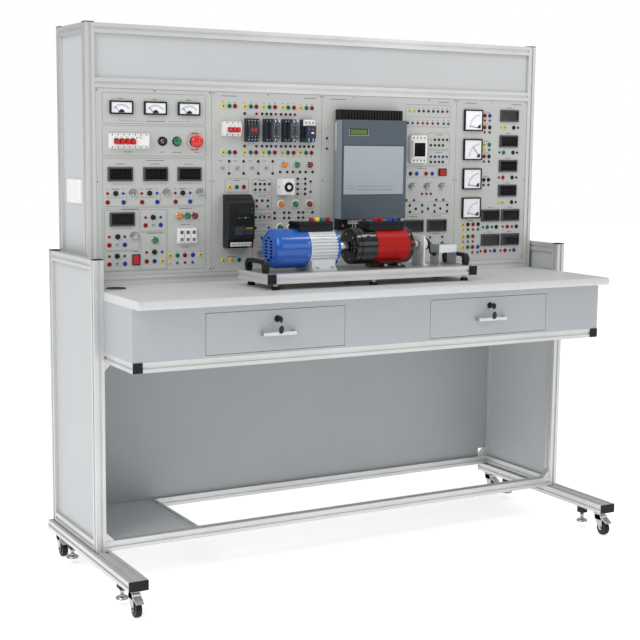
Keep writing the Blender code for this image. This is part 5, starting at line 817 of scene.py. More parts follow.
collars.turned(key_place, OUT, ((0.0, 0.0077), (0.0, 0.0142), (0.0028, 0.0140), (0.0052, 0.0118), (0.0064, 0.0104),
                                (0.0064, 0.0077)), 48)
collars.piece("stop_and_key_collars", "bench", "dark_plastic")
key = Form(handle_chrome)
key.turned(key_place, OUT, ((-0.0095, 0.0), (-0.0095, 0.0068), (0.0068, 0.0068), (0.0074, 0.0062), (0.0074, 0.0)), 32)
key.box(key_place + Vector((-0.0010, -0.0180, -0.0036)), key_place + Vector((0.0010, -0.0070, 0.0036)), 0.0004)
key.wear(fob_plastic)
key.prism(key_place + Vector((-0.0014, 0.0, 0.0)), (BACKWARD, UP), circle(0.0104, 28, 0.0, 360.0, (-0.0274, 0.0)),
          0.0028, 0.0009)
key.piece("key_switch_barrel_and_key", "key", "chrome", "key_switch")

# Miniature breakers: white moulded cases that stand through the sheet, with a stepped nose,
# small printed lines and red toggles tied by a bar. The four-pole one is the mains switch.
case_white = finish("white moulded breaker case", "#EEEEEC", "#E6E6E3", 18.0, (0.3, 0.4), 0.01, 0.7, IOR=1.5)
toggle_red = finish("red breaker toggle", "#C81E1C", "#B81816", 8.0, (0.24, 0.34), IOR=1.5)


def breaker_case(form, place, width, high, proud, slots, slot_middle, slot_high):
    """Stepped case about place; slots are (x0, x1) pairs in mm from its middle."""
    w, h, p = width * MM / 2, high * MM / 2, proud * MM
    form.wear(case_white)
    form.box(place + Vector((-w, -p * 0.72, -h)), place + Vector((w, 0.0, h)), 0.0008)
    form.box(place + Vector((-w + 0.001, -p, -h * 0.64)), place + Vector((w - 0.001, -p * 0.6, h * 0.64)), 0.0009)
    # Dark marks on the nose: painted shade in the toggle slots.
    form.wear(painted_hole_shade)
    for x0, x1 in slots:
        form.box(place + Vector((x0 * MM, -p - 0.00015, (slot_middle - slot_high / 2) * MM)),
                 place + Vector((x1 * MM, -p + 0.0003, (slot_middle + slot_high / 2) * MM)))
    form.wear(print_ink)
    count = round(width / 18)
    for k in range(1, count):
        x = (-width / 2 + k * width / count) * MM
        for z0, z1 in ((-h + 0.0008, -h * 0.66), (h * 0.66, h - 0.0008)):
            strip(form, place + Vector((x, -p * 0.72, z0)), place + Vector((x, -p * 0.72, z1)), 0.5, 0.1)
    # Dark discs above and below: painted shade in the screw holes.
    for k in range(count):
        x = (-width / 2 + (k + 0.5) * width / count) * MM
        for side in (-1, 1):
            spot = place + Vector((x, -p * 0.72, side * h * 0.83))
            form.wear(hole_shade_and_black_lead)
            form.turned(spot, OUT, ((-0.0002, 0.0021), (0.0002, 0.0021), (0.0002, 0.0)), 14)


breakers = Form(case_white)
mains = at("power", 103.6, 402)
breaker_case(breakers, mains, 128, 45, 16, ((-51, -37), (-33.5, -19.5), (-16, -2), (1.5, 15.5)), 0, 15)
breakers.wear(stop_red)
for x in (-44, -26.5, -9, 8.5, 30):
    strip(breakers, mains + Vector(((x - 5) * MM, -0.016, 0.0118)), mains + Vector(((x + 5) * MM, -0.016, 0.0118)), 0.9, 0.12)
breakers.wear(socket_plastics["yellow"])
breakers.prism(mains + Vector((0.030, -0.016, 0.0072)), (RIGHTWARD, UP), ((0, 0), (0.010, 0), (0.010, 0.004), (0, 0.004)),
               0.0002)
# A dark disc on the nose: painted shade in a hole.
breakers.wear(hole_shade_and_black_lead)
breakers.turned(mains + Vector((0.022, -0.016, 0.0092)), OUT, ((-0.0002, 0.0022), (0.0003, 0.0022), (0.0003, 0.0)), 16)
motor_place = at("control", 62, 443)
breaker_case(breakers, motor_place, 58, 45, 30, ((-21, -9), (-4, 8), (12, 24)), -2, 14)
breakers.wear(stop_red)
for x in (-14, 3, 19):
    strip(breakers, motor_place + Vector(((x - 5) * MM, -0.030, 0.0112)),
          motor_place + Vector(((x + 5) * MM, -0.030, 0.0112)), 0.9, 0.12)
breakers.piece("breaker_cases", "bench", "white_sheet")
for node, body, count in (("main_breaker_lever", "main_lever", 4), ("motor_breaker_lever", "motor_lever", 3)):
    low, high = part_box(node)
    lever = Form(toggle_red)
    lever.box((low.x + 0.0002, low.y + 0.0040, high.z - 0.0052), (high.x - 0.0002, low.y + 0.0100, high.z - 0.0004),
              0.0012)
    pitch = (high.x - low.x) / count
    for k in range(count):
        left = low.x + pitch * (k + 0.14)
        wide = pitch * 0.72
        side_view = ((low.y + 0.0002, low.z + 0.0042), (low.y + 0.0022, low.z + 0.0004), (low.y + 0.0075, low.z + 0.0020),
                     (high.y - 0.0008, low.z + 0.0026), (high.y - 0.0008, high.z - 0.0010), (low.y + 0.0060, high.z - 0.0006),
                     (low.y + 0.0030, high.z - 0.0040))
        lever.prism((left, 0.0, 0.0), (BACKWARD, UP), side_view, wide, 0.0006)
    lever.piece(node + "_toggles", body, "red_plastic", node)

# The auxiliary supply's rocker glows red when on; beside it three fuse holders share a white
# moulded block with grips and a nickel contact showing in each window.
rocker_lens = finish("lit red rocker", "#B80D10", "#A00A0C", 6.0, (0.24, 0.34), Coat_Weight=0.1,
                     Emission_Color=colour("#E0201E"), Emission_Strength=0.12)
low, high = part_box("power_rocker_switch")
rocker = Form(rocker_lens)
middle = (low + high) / 2
rocker.prism((low.x + 0.0003, 0.0, 0.0), (BACKWARD, UP), (
    (high.y - 0.0006, low.z + 0.0005), (high.y - 0.0006, high.z - 0.0005), (low.y + 0.0040, high.z - 0.0004),
    (low.y + 0.0030, middle.z + 0.0050), (low.y + 0.0026, middle.z), (low.y + 0.0012, middle.z - 0.0060),
    (low.y + 0.0004, low.z + 0.0006)), high.x - low.x - 0.0006, 0.0005)
rocker.piece("auxiliary_rocker", "rocker", "red_plastic", "power_rocker_switch")
aux = Form(meter_black)


def rocker_frame(form, place, width, high, opening):
    """A black bezel round a rocker, with an opening (width, height) in mm."""
    w, h = width * MM / 2, high * MM / 2
    a, b = opening[0] * MM / 2, opening[1] * MM / 2
    for low_corner, high_corner in (((-w, -h), (w, -b)), ((-w, b), (w, h)), ((-w, -b), (-a, b)), ((a, -b), (w, b))):
        form.box(place + Vector((low_corner[0], -0.0042, low_corner[1])),
                 place + Vector((high_corner[0], 0.0, high_corner[1])), 0.0007)


rocker_frame(aux, at("power", 126, 41.5), 25.5, 33, (21.4, 26.4))
fuses = at("power", 294, 111)
aux.wear(case_white)
aux.box(fuses + Vector((-0.033, -0.0080, -0.024)), fuses + Vector((0.033, 0.0, 0.024)), 0.0012)
for k in (-1, 0, 1):
    middle = fuses + Vector((k * 0.0205, 0.0, 0.0))
    aux.wear(case_white)
    aux.box(middle + Vector((-0.0088, -0.0138, -0.0205)), middle + Vector((0.0088, -0.0070, 0.0205)), 0.0014)
    aux.wear(print_ink)
    for z0, z1 in ((-0.0165, -0.0060), (0.0055, 0.0165)):
        aux.box(middle + Vector((-0.0052, -0.01395, z0)), middle + Vector((0.0052, -0.0136, z1)))
    aux.wear(nickel)
    aux.box(middle + Vector((-0.0030, -0.01402, 0.0072)), middle + Vector((0.0030, -0.0136, 0.0150)))
aux.piece("rocker_bezel_and_fuse_block", "bench", "white_sheet")


# Control module: the motor breaker, three contactors with auxiliary blocks and an overload
# relay, all wired to sockets above and below; toggles, lamps, a timer and push buttons.
phase_groups = ((39, 61, 80), (114, 136, 155), (181, 202, 222), (249, 270, 291), (315, 337, 357))
phase_rows = tuple((z, tone, BIG, tuple(group[k] for group in phase_groups))
                   for z in (514, 370) for k, tone in enumerate(("yellow", "green", "red")))
panel_sheet("control", [(x, z) for x in (5.5, 389.0) for z in edge_screws] + [(197.0, 552.0)])
panel_print(
    "control",
    ((46, 245, 129, 287), (144, 243, 212, 286), (144, 189, 212, 236), (144, 152, 212, 175), (144, 118, 212, 141),
     (144, 84, 212, 107), (144, 20, 212, 73)),
    tuple((x, 335, x, 311) for x in (60, 111, 163, 215))
    + tuple((x0 + 6, z, x1 - 6, z) for z in (177, 160) for x0, x1 in ((223, 258), (276, 311), (328, 363)))
    + tuple((x + 5, 308, x + 22, 308) for x in (242, 289, 336)) + ((20, 110, 20, 150),)
    + tuple((311, z, 331, z) for z in (286, 270, 253, 237)) + ((355, 270, 355, 251),),
    tuple((x, 526, 6) for group in phase_groups for x in group) + tuple((x, 358, 6) for group in phase_groups for x in group)
    + tuple((x, 343, 14) for x in (30, 82, 133, 185)) + ((88, 281, 24), (178, 281, 28), (178, 231, 28), (178, 170, 22),
                                                       (178, 136, 22), (178, 102, 22), (178, 67, 22), (60, 545, 52),
                                                       (350, 545, 44), (70, 40, 34), (303, 226, 10), (254, 226, 10),
                                                       (352, 226, 10)))
panel_sockets("control", phase_rows + (
    (492, "black", SMALL, (114, 176, 192, 208, 244, 261, 278)), (492, "red", SMALL, (156, 225, 294)),
    (390, "black", SMALL, (114, 176, 193, 209, 245, 262, 279, 314, 330, 347, 363)), (390, "blue", SMALL, (156, 226, 295)),
    (342, "black", SMALL, (60, 111, 163, 215)), (304, "black", SMALL, (60, 111, 163, 215)),
    (308, "black", SMALL, (242, 268, 289, 315, 336, 362)), (261, "yellow", BIG, (61,)), (261, "green", BIG, (87,)),
    (261, "red", BIG, (112,)), (270, "black", SMALL, (153, 170, 186, 203)), (252, "black", SMALL, (153,)),
    (252, "red", SMALL, (170,)), (252, "blue", SMALL, (187,)), (286, "black", SMALL, (307, 335)),
    (270, "black", SMALL, (307, 335)), (253, "black", SMALL, (307, 335)), (237, "black", SMALL, (307, 335)),
    (277, "red", SMALL, (355,)), (244, "blue", SMALL, (355,)), (217, "black", SMALL, (158, 178, 198)),
    (199, "red", SMALL, (158,)), (199, "blue", SMALL, (198,)), (177, "black", SMALL, (223, 258, 276, 311, 328, 363)),
    (160, "black", SMALL, (223, 258, 276, 311, 328)), (164, "black", SMALL, (155,)), (164, "blue", SMALL, (170,)),
    (164, "red", SMALL, (186, 203)), (130, "black", SMALL, (154,)), (130, "blue", SMALL, (202,)),
    (96, "blue", SMALL, (177,)), (96, "yellow", SMALL, (202,)), (29, "yellow", BIG, (40, 70)), (29, "green", BIG, (96,))))
lamps("control", ((257, 332, "orange", 11.5), (303, 332, "green", 11.5), (351, 332, "red", 11.5)))
knobs("control", ((176, 46),))
toggles("control", ((37, 320), (90, 320), (141, 320), (193, 320)))

# Push buttons: domed translucent caps that move in white moulded rings; a fixed pair stands
# lower down, half hidden by the motor set.
ring_white = finish("white moulded button ring", "#F3F3F1", "#ECECEA", 12.0, (0.2, 0.3), IOR=1.5)
rings = Form(ring_white)
ring_profile = ((0.0, 0.0112), (0.0, 0.0143), (0.0022, 0.0144), (0.0034, 0.0136), (0.0036, 0.0122), (0.0028, 0.0113))
dome = ((-0.0096, 0.0), (-0.0096, 0.0103), (0.0062, 0.0103), (0.0072, 0.0096), (0.0078, 0.0070), (0.00795, 0.0))
for tone in ("orange", "green", "red"):
    low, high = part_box(tone + "_push_button")
    place = Vector(((low.x + high.x) / 2, panel_y, (low.z + high.z) / 2))
    rings.turned(place, OUT, ring_profile, 44)
    button = Form(lens_plastics[tone])
    button.turned(place, OUT, dome, 44)
    button.piece(tone + "_button_cap", tone + "_button", tone + "_plastic", tone + "_push_button")
for x, tone in ((243, "green"), (283, "red")):
    place = at("control", x, 129)
    rings.wear(ring_white)
    rings.turned(place, OUT, ring_profile, 44)
    rings.wear(lens_plastics[tone])
    rings.turned(place, OUT, [(max(along, 0.0), radius) for along, radius in dome], 44)
rings.piece("button_rings", "bench", "white_sheet")

# Contactors: charcoal moulded frames with a raised nose, blue terminal shrouds with sunk
# screws above and below, and clipped-on auxiliary blocks wired with blue and white leads.
relay_body = finish("charcoal blue contactor moulding", "#262930", "#20232A", 12.0, (0.4, 0.5), 0.01, 0.7, IOR=1.52)
relay_light = finish("grey auxiliary moulding", "#4A4D54", "#41444B", 12.0, (0.4, 0.5), 0.01, 0.7, IOR=1.52)
shroud_blue = finish("dark blue terminal shroud", "#27386F", "#1F2E60", 8.0, (0.35, 0.45), IOR=1.52)
wire_blue = finish("blue lead insulation", "#2C4FB4", "#2644A0", 6.0, (0.35, 0.5), IOR=1.5)
wire_white = finish("white lead insulation", "#E9EAEA", "#DEDFE0", 6.0, (0.35, 0.5), IOR=1.5)
contactors = Form(relay_body)


def terminal_row(form, place, xs, z, proud, plastic, size=3.2):
    """A shroud block and a sunk cross-head screw at each x (mm) of a row."""
    for x in xs:
        spot = place + Vector((x * MM, -proud * MM, z * MM))
        form.wear(plastic)
        form.box(spot + Vector((-size * MM * 1.25, -0.0020, -size * MM * 1.35)),
                 spot + Vector((size * MM * 1.25, 0.0010, size * MM * 1.35)), 0.0004)
        # A dark ring round each screw: painted shade in its sunk hole.
        form.wear(hole_shade_and_black_lead)
        form.turned(spot + Vector((0.0, -0.0020, 0.0)), OUT, ((-0.0002, size * MM), (0.0002, size * MM), (0.0002, 0.0)), 14)
        form.wear(screw_steel)
        form.turned(spot + Vector((0.0, -0.0021, 0.0)), OUT, ((-0.0002, size * MM * 0.62), (0.0003, size * MM * 0.62),
                                                              (0.0003, 0.0)), 12)


def leads(form, place, xs, z, reach, proud):
    """Short insulated wires that dive from terminals to the gap beside the frame."""
    for k, x in enumerate(xs):
        form.wear(wire_white if k % 2 else wire_blue)
        top = place + Vector((x * MM, -(proud + 1.5) * MM, z * MM))
        form.tube((top, top + Vector((0.0004, -0.0020, reach * 0.35 * MM)), top + Vector((0.0012, -0.0008, reach * 0.75 * MM)),
                   top + Vector((0.0016, 0.0055, reach * MM))), 0.0013, 8)


for k, x in enumerate((135, 200, 267, 335)):
    place = at("control", x, 440)
    contactors.wear(relay_body)
    contactors.box(place + Vector((-0.0224, -0.0200, -0.0365)), place + Vector((0.0224, 0.0, 0.0365)), 0.0012)
    if k < 3:
        terminal_row(contactors, place, (-16.5, -5.5, 5.5, 16.5), 29.5, 20, shroud_blue)
        terminal_row(contactors, place, (-16.5, -5.5, 5.5, 16.5), -29.5, 20, shroud_blue)
    if k == 0:
        contactors.wear(relay_body)
        contactors.box(place + Vector((-0.0205, -0.0258, -0.0175)), place + Vector((0.0205, -0.0190, 0.0175)), 0.0014)
        contactors.box(place + Vector((-0.0150, -0.0262, -0.0065)), place + Vector((0.0150, -0.0250, 0.0065)), 0.0006)
        terminal_row(contactors, place, (-16.5, -5.5, 5.5, 16.5), 19.5, 21, relay_body, 2.4)
        terminal_row(contactors, place, (-16.5, -5.5, 5.5, 16.5), -19.5, 21, relay_body, 2.4)
        contactors.wear(toggle_red)
        contactors.box(place + Vector((-0.0100, -0.0268, -0.0050)), place + Vector((0.0100, -0.0255, 0.0050)), 0.0005)
        # A dark bar across the red test button: painted shade in its slot.
        contactors.wear(hole_shade_and_black_lead)
        contactors.box(place + Vector((-0.0012, -0.0270, -0.0055)), place + Vector((0.0012, -0.0264, 0.0055)))
    elif k < 3:
        block = place + Vector((0.0050, 0.0, 0.0))
        contactors.wear(relay_body)
        contactors.box(block + Vector((-0.0162, -0.0300, -0.0275)), block + Vector((0.0162, -0.0190, 0.0275)), 0.0010)
        contactors.wear(relay_light)
        contactors.box(block + Vector((-0.0120, -0.0385, -0.0270)), block + Vector((0.0160, -0.0290, 0.0270)), 0.0012)
        contactors.wear(relay_body)
        contactors.box(block + Vector((-0.0020, -0.0398, -0.0125)), block + Vector((0.0060, -0.0375, 0.0125)), 0.0006)
        terminal_row(contactors, block, (-5.0, 9.0), 19.0, 37.5, relay_light, 2.9)
        terminal_row(contactors, block, (-5.0, 9.0), 8.0, 37.5, relay_light, 2.4)
        terminal_row(contactors, block, (-5.0, 9.0), -18.5, 37.5, relay_light, 2.9)
        leads(contactors, block, (-9.0, -1.0, 7.0, 13.0), 23.0, 11.0, 34.0)
        leads(contactors, block, (-9.0, -1.0, 7.0), -22.0, -13.0, 34.0)
    else:
        contactors.wear(case_white)
        contactors.box(place + Vector((-0.0205, -0.0238, 0.0165)), place + Vector((0.0215, -0.0190, 0.0362)), 0.0012)
        terminal_row(contactors, place, (-12.5, 0.5, 13.5), 27.0, 22.2, case_white, 3.4)
        contactors.wear(relay_body)
        contactors.box(place + Vector((-0.0165, -0.0325, -0.0230)), place + Vector((0.0215, -0.0190, 0.0165)), 0.0014)
        contactors.box(place + Vector((-0.0140, -0.0345, -0.0110)), place + Vector((0.0195, -0.0310, 0.0145)), 0.0010)
        contactors.wear(wire_blue)
        contactors.turned(place + Vector((-0.0062, -0.0340, 0.0070)), OUT, ((-0.0008, 0.0052), (0.0010, 0.0052),
                                                                          (0.0016, 0.0044), (0.0016, 0.0)), 28)
        contactors.box(place + Vector((-0.0130, -0.0356, -0.0095)), place + Vector((-0.0060, -0.0340, -0.0040)), 0.0005)
        contactors.wear(toggle_red)
        contactors.turned(place + Vector((0.0080, -0.0340, 0.0050)), OUT, ((-0.0008, 0.0034), (0.0012, 0.0034),
                                                                         (0.0018, 0.0028), (0.0018, 0.0)), 24)
        contactors.wear(case_white)
        contactors.box(place + Vector((0.0020, -0.0352, -0.0085)), place + Vector((0.0120, -0.0340, -0.0035)), 0.0004)
        leads(contactors, place, (-12.0, -4.5, 3.0, 10.5, 17.0), -19.0, -16.0, 27.0)
contactors.piece("contactors_and_overload_relay", "bench", "charcoal_plastic")

# Timer: a white plug-in time relay with a round black-ringed dial that turns on its face.
timer = Form(case_white)
timer_place = at("control", 254, 261)
timer.box(timer_place + Vector((-0.0238, -0.0330, -0.0263)), timer_place + Vector((0.0238, 0.0, 0.0263)), 0.0014)
timer.box(timer_place + Vector((-0.0225, -0.0398, -0.0250)), timer_place + Vector((0.0225, -0.0320, 0.0250)), 0.0018)
timer.wear(print_ink)
low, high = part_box("timer_dial")
dial_place = Vector(((low.x + high.x) / 2, panel_y - 0.0398, (low.z + high.z) / 2))
for k in range(13):
    angle = math.radians(-45 + 22.5 * k)
    ray = Vector((math.cos(angle), 0.0, math.sin(angle)))
    strip(timer, dial_place + ray * 0.0178, dial_place + ray * 0.0202, 0.6)
timer.wear(socket_plastics["green"])
timer.turned(timer_place + Vector((0.0185, -0.0398, 0.0205)), OUT, ((-0.0003, 0.0015), (0.0004, 0.0012), (0.0004, 0.0)), 14)
# A dark disc on the case's left side: painted shade in a hole.
timer.wear(painted_hole_shade)
timer.turned(timer_place + Vector((-0.0246 + 0.0009, -0.0160, 0.0)), LEFTWARD, ((-0.0003, 0.0030), (0.0003, 0.0030),
                                                                               (0.0003, 0.0)), 14)
timer.piece("timer_case", "bench", "white_sheet")
dial = Form(meter_black)
dial.turned(dial_place, OUT, ((0.0002, 0.0), (0.0002, 0.0158), (0.0012, 0.0159), (0.0026, 0.0152), (0.0030, 0.0140),
                              (0.0030, 0.0118), (0.0022, 0.0114)), 56)
dial.wear(case_white)
dial.turned(dial_place, OUT, ((0.0016, 0.0116), (0.0022, 0.0114), (0.0022, 0.0)), 48)
dial.wear(case_white)
dial.turned(dial_place, OUT, ((0.0020, 0.0072), (0.0038, 0.0066), (0.0040, 0.0058), (0.0040, 0.0)), 32)
dial.wear(meter_black)
dial.box(dial_place + Vector((-0.0006, -0.0041, 0.0008)), dial_place + Vector((0.0006, -0.00395, 0.0056)))
dial.piece("timer_dial_disc", "dial", "dark_plastic", "timer_dial")


# Drive module: rows of sockets around the wall-mounted drive, a solid state relay in its
# holder, speed potentiometers and two panel meters.
panel_sheet("drive", [(x, z) for x in (5.5, 529.0) for z in edge_screws] + [(120.0, 552.0), (420.0, 552.0)])
panel_print(
    "drive",
    ((326, 461, 509, 535), (420, 386, 509, 441), (421, 331, 510, 381), (334, 290, 461, 327), (326, 164, 400, 206),
     (428, 164, 510, 206)),
    ((340, 494, 505, 494), (350, 302, 376, 302), (414, 302, 440, 302)),
    tuple((x, 524, 5) for x in (341, 360, 380, 399, 419, 439, 458, 477, 497)) + ((366, 156, 36), (463, 156, 36),
    (366, 270, 20), (430, 270, 20), (490, 270, 20), (60, 545, 60), (480, 545, 44), (465, 434, 30), (465, 375, 30),
    (398, 320, 40), (462, 95, 30)) + tuple((x, 483, 5) for x in (336, 355, 376, 396, 415, 437, 459, 483, 502)))
panel_sockets("drive", (
    (514, "yellow", SMALL, (341, 360)), (514, "black", SMALL, (380, 399, 419, 439, 458, 477)), (514, "red", SMALL, (497,)),
    (473, "brown", SMALL, (336,)), (473, "blue", SMALL, (355, 459, 483, 502)), (473, "red", SMALL, (376, 396, 415, 437)),
    (418, "yellow", SMALL, (432,)), (418, "black", SMALL, (448, 465, 482, 499)), (399, "black", SMALL, (432, 449, 466, 482)),
    (360, "blue", SMALL, (433, 466, 499)), (360, "black", SMALL, (450, 483)), (342, "black", SMALL, (433, 450, 467, 483)),
    (302, "brown", BIG, (350,)), (302, "blue", BIG, (376, 440)), (302, "red", BIG, (414,)), (233, "red", SMALL, (399, 436)),
    (233, "blue", SMALL, (418,)), (212, "brown", SMALL, (336, 459)), (212, "blue", SMALL, (367, 489)),
    (194, "black", SMALL, (350, 401, 453, 505)), (182, "black", SMALL, (324, 375, 425, 477)),
    (172, "black", SMALL, (351, 402, 453, 505)), (83, "brown", SMALL, (437,)), (83, "blue", SMALL, (488,)),
    (83, "red", SMALL, (340,)), (83, "black", SMALL, (390,)), (60, "red", BIG, (340, 437)), (60, "blue", BIG, (390, 488)),
    (452, "yellow", SMALL, (20,)), (418, "green", SMALL, (20,)), (384, "red", SMALL, (20,)), (96, "black", SMALL, (24, 48)),
    (70, "yellow", BIG, (40,)), (70, "green", BIG, (80,)), (70, "red", BIG, (120,)), (70, "blue", BIG, (160,)),
    (30, "red", BIG, (200, 260)), (30, "blue", BIG, (230, 290))))
knobs("drive", ((356, 257), (419, 257), (480, 257)), 8.5)
digital_meters("drive", ((366.5, 123.5), (463, 123.5)))
relay = Form(case_white)
relay_place = at("drive", 373.5, 385)
relay.box(relay_place + Vector((-0.0325, -0.0160, -0.0468)), relay_place + Vector((0.0325, 0.0, 0.0468)), 0.0018)
relay.box(relay_place + Vector((-0.0290, -0.0238, -0.0290)), relay_place + Vector((0.0290, -0.0150, 0.0290)), 0.0020)
relay.wear(smoked_window)
relay.box(relay_place + Vector((-0.0245, -0.02395, -0.0250)), relay_place + Vector((0.0205, -0.0232, 0.0220)), 0.0008)
terminal_row(relay, relay_place, (-22.0, -7.5, 7.5, 22.0), 38.5, 14.5, case_white, 3.4)
terminal_row(relay, relay_place, (-22.0, -7.5, 7.5, 22.0), -38.5, 14.5, case_white, 3.4)
relay.wear(meter_black)
rocker_frame(relay, at("drive", 482, 307), 33, 25, (28.0, 20.0))
relay.wear(rocker_lens)
spot = at("drive", 482, 307)
relay.prism(spot + Vector((0.0, 0.0, -0.0096)), (RIGHTWARD, BACKWARD), ((-0.0136, -0.0086), (-0.0030, -0.0048),
            (0.0136, -0.0034), (0.0136, 0.0), (-0.0136, 0.0)), 0.0192, 0.0005)
relay.piece("solid_state_relay_and_rocker", "bench", "white_sheet")

# Meter module: four square pointer meters down the left and eight digital meters, each with
# its row of sockets, and three banks of sockets below.
panel_sheet("meter", [(x, z) for x in (5.5, 301.5) for z in edge_screws] + [(152.0, 552.0)])
panel_print("meter", (), (),
            tuple((228, z + 28, 20) for z in (504, 415, 328, 241)) + tuple((x, z + 28, 20) for x in (156, 244)
                                                                         for z in (154, 67))
            + ((60, 545, 50), (260, 545, 44), (70, 137, 24)) + tuple((132, z + 12, 22) for z in (504, 463, 403, 362, 280)))
panel_sockets("meter", tuple((z, tone, BIG, (x,)) for z, row in (
    (504, ((122, "red"), (143, "blue"))), (463, ((122, "red"), (144, "black"))), (403, ((122, "yellow"), (144, "green"))),
    (362, ((123, "red"), (144, "black"))), (280, ((124, "black"), (145, "black"))),
    (464, ((210, "yellow"), (250, "black"))), (376, ((208, "green"), (250, "black"))), (288, ((208, "red"), (249, "black"))),
    (200, ((208, "yellow"), (250, "black"))), (113, ((145, "green"), (185, "black"), (234, "red"), (275, "black"))),
    (28, ((139, "red"), (180, "blue"), (227, "red"), (267, "blue"))),
    (124, ((40, "yellow"), (61, "black"), (83, "red"), (105, "black"))), (82, ((41, "yellow"), (62, "green"), (83, "red"))),
    (44, ((41, "yellow"), (62, "green"), (83, "red"), (106, "blue")))) for x, tone in row)
    + tuple((z, tone, SMALL, (x,)) for z, row in (
        (487, ((122, "red"), (143, "blue"))), (446, ((122, "red"), (144, "black"))), (385, ((122, "yellow"), (144, "green"))),
        (344, ((123, "red"), (144, "black"))), (262, ((124, "black"), (145, "black"))),
        (464, ((194, "yellow"), (269, "black"))), (376, ((190, "green"), (268, "black"))),
        (288, ((190, "red"), (268, "black"))), (200, ((191, "yellow"), (269, "black"))),
        (113, ((126, "green"), (166, "black"), (214, "red"), (255, "black"))),
        (28, ((119, "red"), (161, "blue"), (207, "red"), (249, "blue"))),
        (106, ((40, "yellow"), (61, "black"), (83, "red"), (105, "black"))), (64, ((41, "orange"), (62, "green"),
                                                                                (83, "red"))),
        (25, ((83, "red"), (105, "blue")))) for x, tone in row))
digital_meters("meter", ((228.5, 504.5), (228.5, 415.5), (228.5, 328.5), (228.5, 241.5), (156.5, 154), (244.5, 154),
                         (158.5, 67.5), (246.5, 67.5)))
pointer_meters("meter", ((70.5, 486.5), (70.5, 385.5), (70.5, 283.5), (70.5, 182.0)), 79, 73.5, (30.0, -27.0),
               95.0, 175.0, 47.0, (172.0, 131.0, 172.0, 168.0))


# Wall-mounted DC drive: a slate grey cover with rounded edges over a black finned chassis,
# a plain lighter door, a small green screen, and the terminals along the chassis' foot.
slate = finish("slate grey moulded housing", "#4E5A64", "#48545E", 40.0, (0.38, 0.48), 0.006, 1.6, IOR=1.5)
slate_light = finish("light grey drive door", "#A9AFB6", "#A3A9B0", 40.0, (0.36, 0.46), 0.006, 1.6, IOR=1.5)
# Painted highlight: a lighter copy of the slate grey for the cover's sides, where the light from the left falls.
slate_with_painted_side_light = finish("slate grey with painted side light", "#8C969F", "#869099", 40.0, (0.36, 0.46), 0.006, 1.6, IOR=1.5)
drive_black = finish("black drive moulding", "#0E0F11", "#151719", 20.0, (0.32, 0.44), 0.006, 1.6, IOR=1.38)
screen_green = finish("green liquid crystal screen", "#5E7A34", "#56702F", 10.0, (0.1, 0.18), IOR=1.4)
key_grey = finish("grey rubber key", "#C9CCCE", "#BFC2C5", 5.0, (0.45, 0.6), IOR=1.5)
low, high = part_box("dc_drive")
cover_low, cover_high = low.z + 0.036, high.z - 0.033
front, chassis_front, cover_back = low.y + 0.0030, low.y + 0.0280, high.y - 0.0050
drive = Form(drive_black)
drive.box((low.x + 0.003, chassis_front, low.z), (high.x - 0.003, high.y, high.z), 0.0012)
for k in range(21):
    x = low.x + 0.014 + k * 0.0111
    drive.box((x - 0.0016, chassis_front - 0.0035, cover_high + 0.002), (x + 0.0016, chassis_front + 0.001, high.z - 0.003),
              0.0005)
drive.wear(slate)
corner = 0.0050
outline = ((low.x, cover_back), (low.x, front + corner), (low.x + corner * 0.3, front + corner * 0.3),
           (low.x + corner, front), (high.x - corner, front), (high.x - corner * 0.3, front + corner * 0.3),
           (high.x, front + corner), (high.x, cover_back))
drive.prism((0.0, 0.0, cover_low), (RIGHTWARD, BACKWARD), outline, cover_high - cover_low, 0.0010)
# The cover's sides wear the lighter copy of the slate grey: a painted highlight.
drive.wear(slate_with_painted_side_light)
for x in (low.x, high.x):
    drive.box((x - 0.0004, front + corner + 0.001, cover_low + 0.002), (x + 0.0004, cover_back - 0.002, cover_high - 0.002))
door_low, door_high = cover_low + 0.0816, cover_high - 0.0846
door_left, door_right = low.x + 0.0040, high.x - 0.0140
# A dark box just bigger than the door: painted shade in the gap round it.
drive.wear(painted_hole_shade)
drive.box((door_left - 0.0008, front - 0.0002, door_low - 0.0016), (door_right + 0.0010, front + 0.001, door_high + 0.0022))
drive.wear(slate_light)
drive.box((door_left, front - 0.0012, door_low), (door_right, front + 0.001, door_high), 0.0005)
drive.wear(slate)
for x0, x1, z in ((0.012, 0.036, 0.0300), (0.050, 0.200, 0.0265), (0.012, 0.044, 0.0190), (0.050, 0.190, 0.0150)):
    drive.box((door_left + x0, front - 0.00135, door_low + z), (door_left + x1, front - 0.0010, door_low + z + 0.0009))
for z in (door_low - 0.0130, cover_low + 0.0260):
    for k in range(6):
        x = low.x + 0.026 + k * 0.0385
        drive.box((x - 0.0090, front - 0.0010, z - 0.0022), (x + 0.0090, front + 0.001, z + 0.0022), 0.0007)
screen_left, screen_top = low.x + 0.0255, cover_high - 0.0300
drive.wear(key_grey)
drive.box((screen_left - 0.0030, front - 0.0008, screen_top - 0.0225), (screen_left + 0.0720, front + 0.001,
                                                                        screen_top + 0.0010), 0.0012)
drive.wear(meter_black)
drive.box((screen_left - 0.0012, front - 0.0012, screen_top - 0.0205), (screen_left + 0.0700, front - 0.0004,
                                                                        screen_top + 0.0010), 0.0008)
drive.wear(screen_green)
drive.box((screen_left + 0.0020, front - 0.0014, screen_top - 0.0185), (screen_left + 0.0660, front - 0.0008,
                                                                        screen_top - 0.0015), 0.0006)
drive.wear(powder_white)
drive.box((low.x - 0.0008, high.y - 0.0160, cover_high - 0.1000),
          (low.x + 0.0010, high.y - 0.0052, cover_high - 0.0080), 0.0003)
drive.wear(screw_steel)
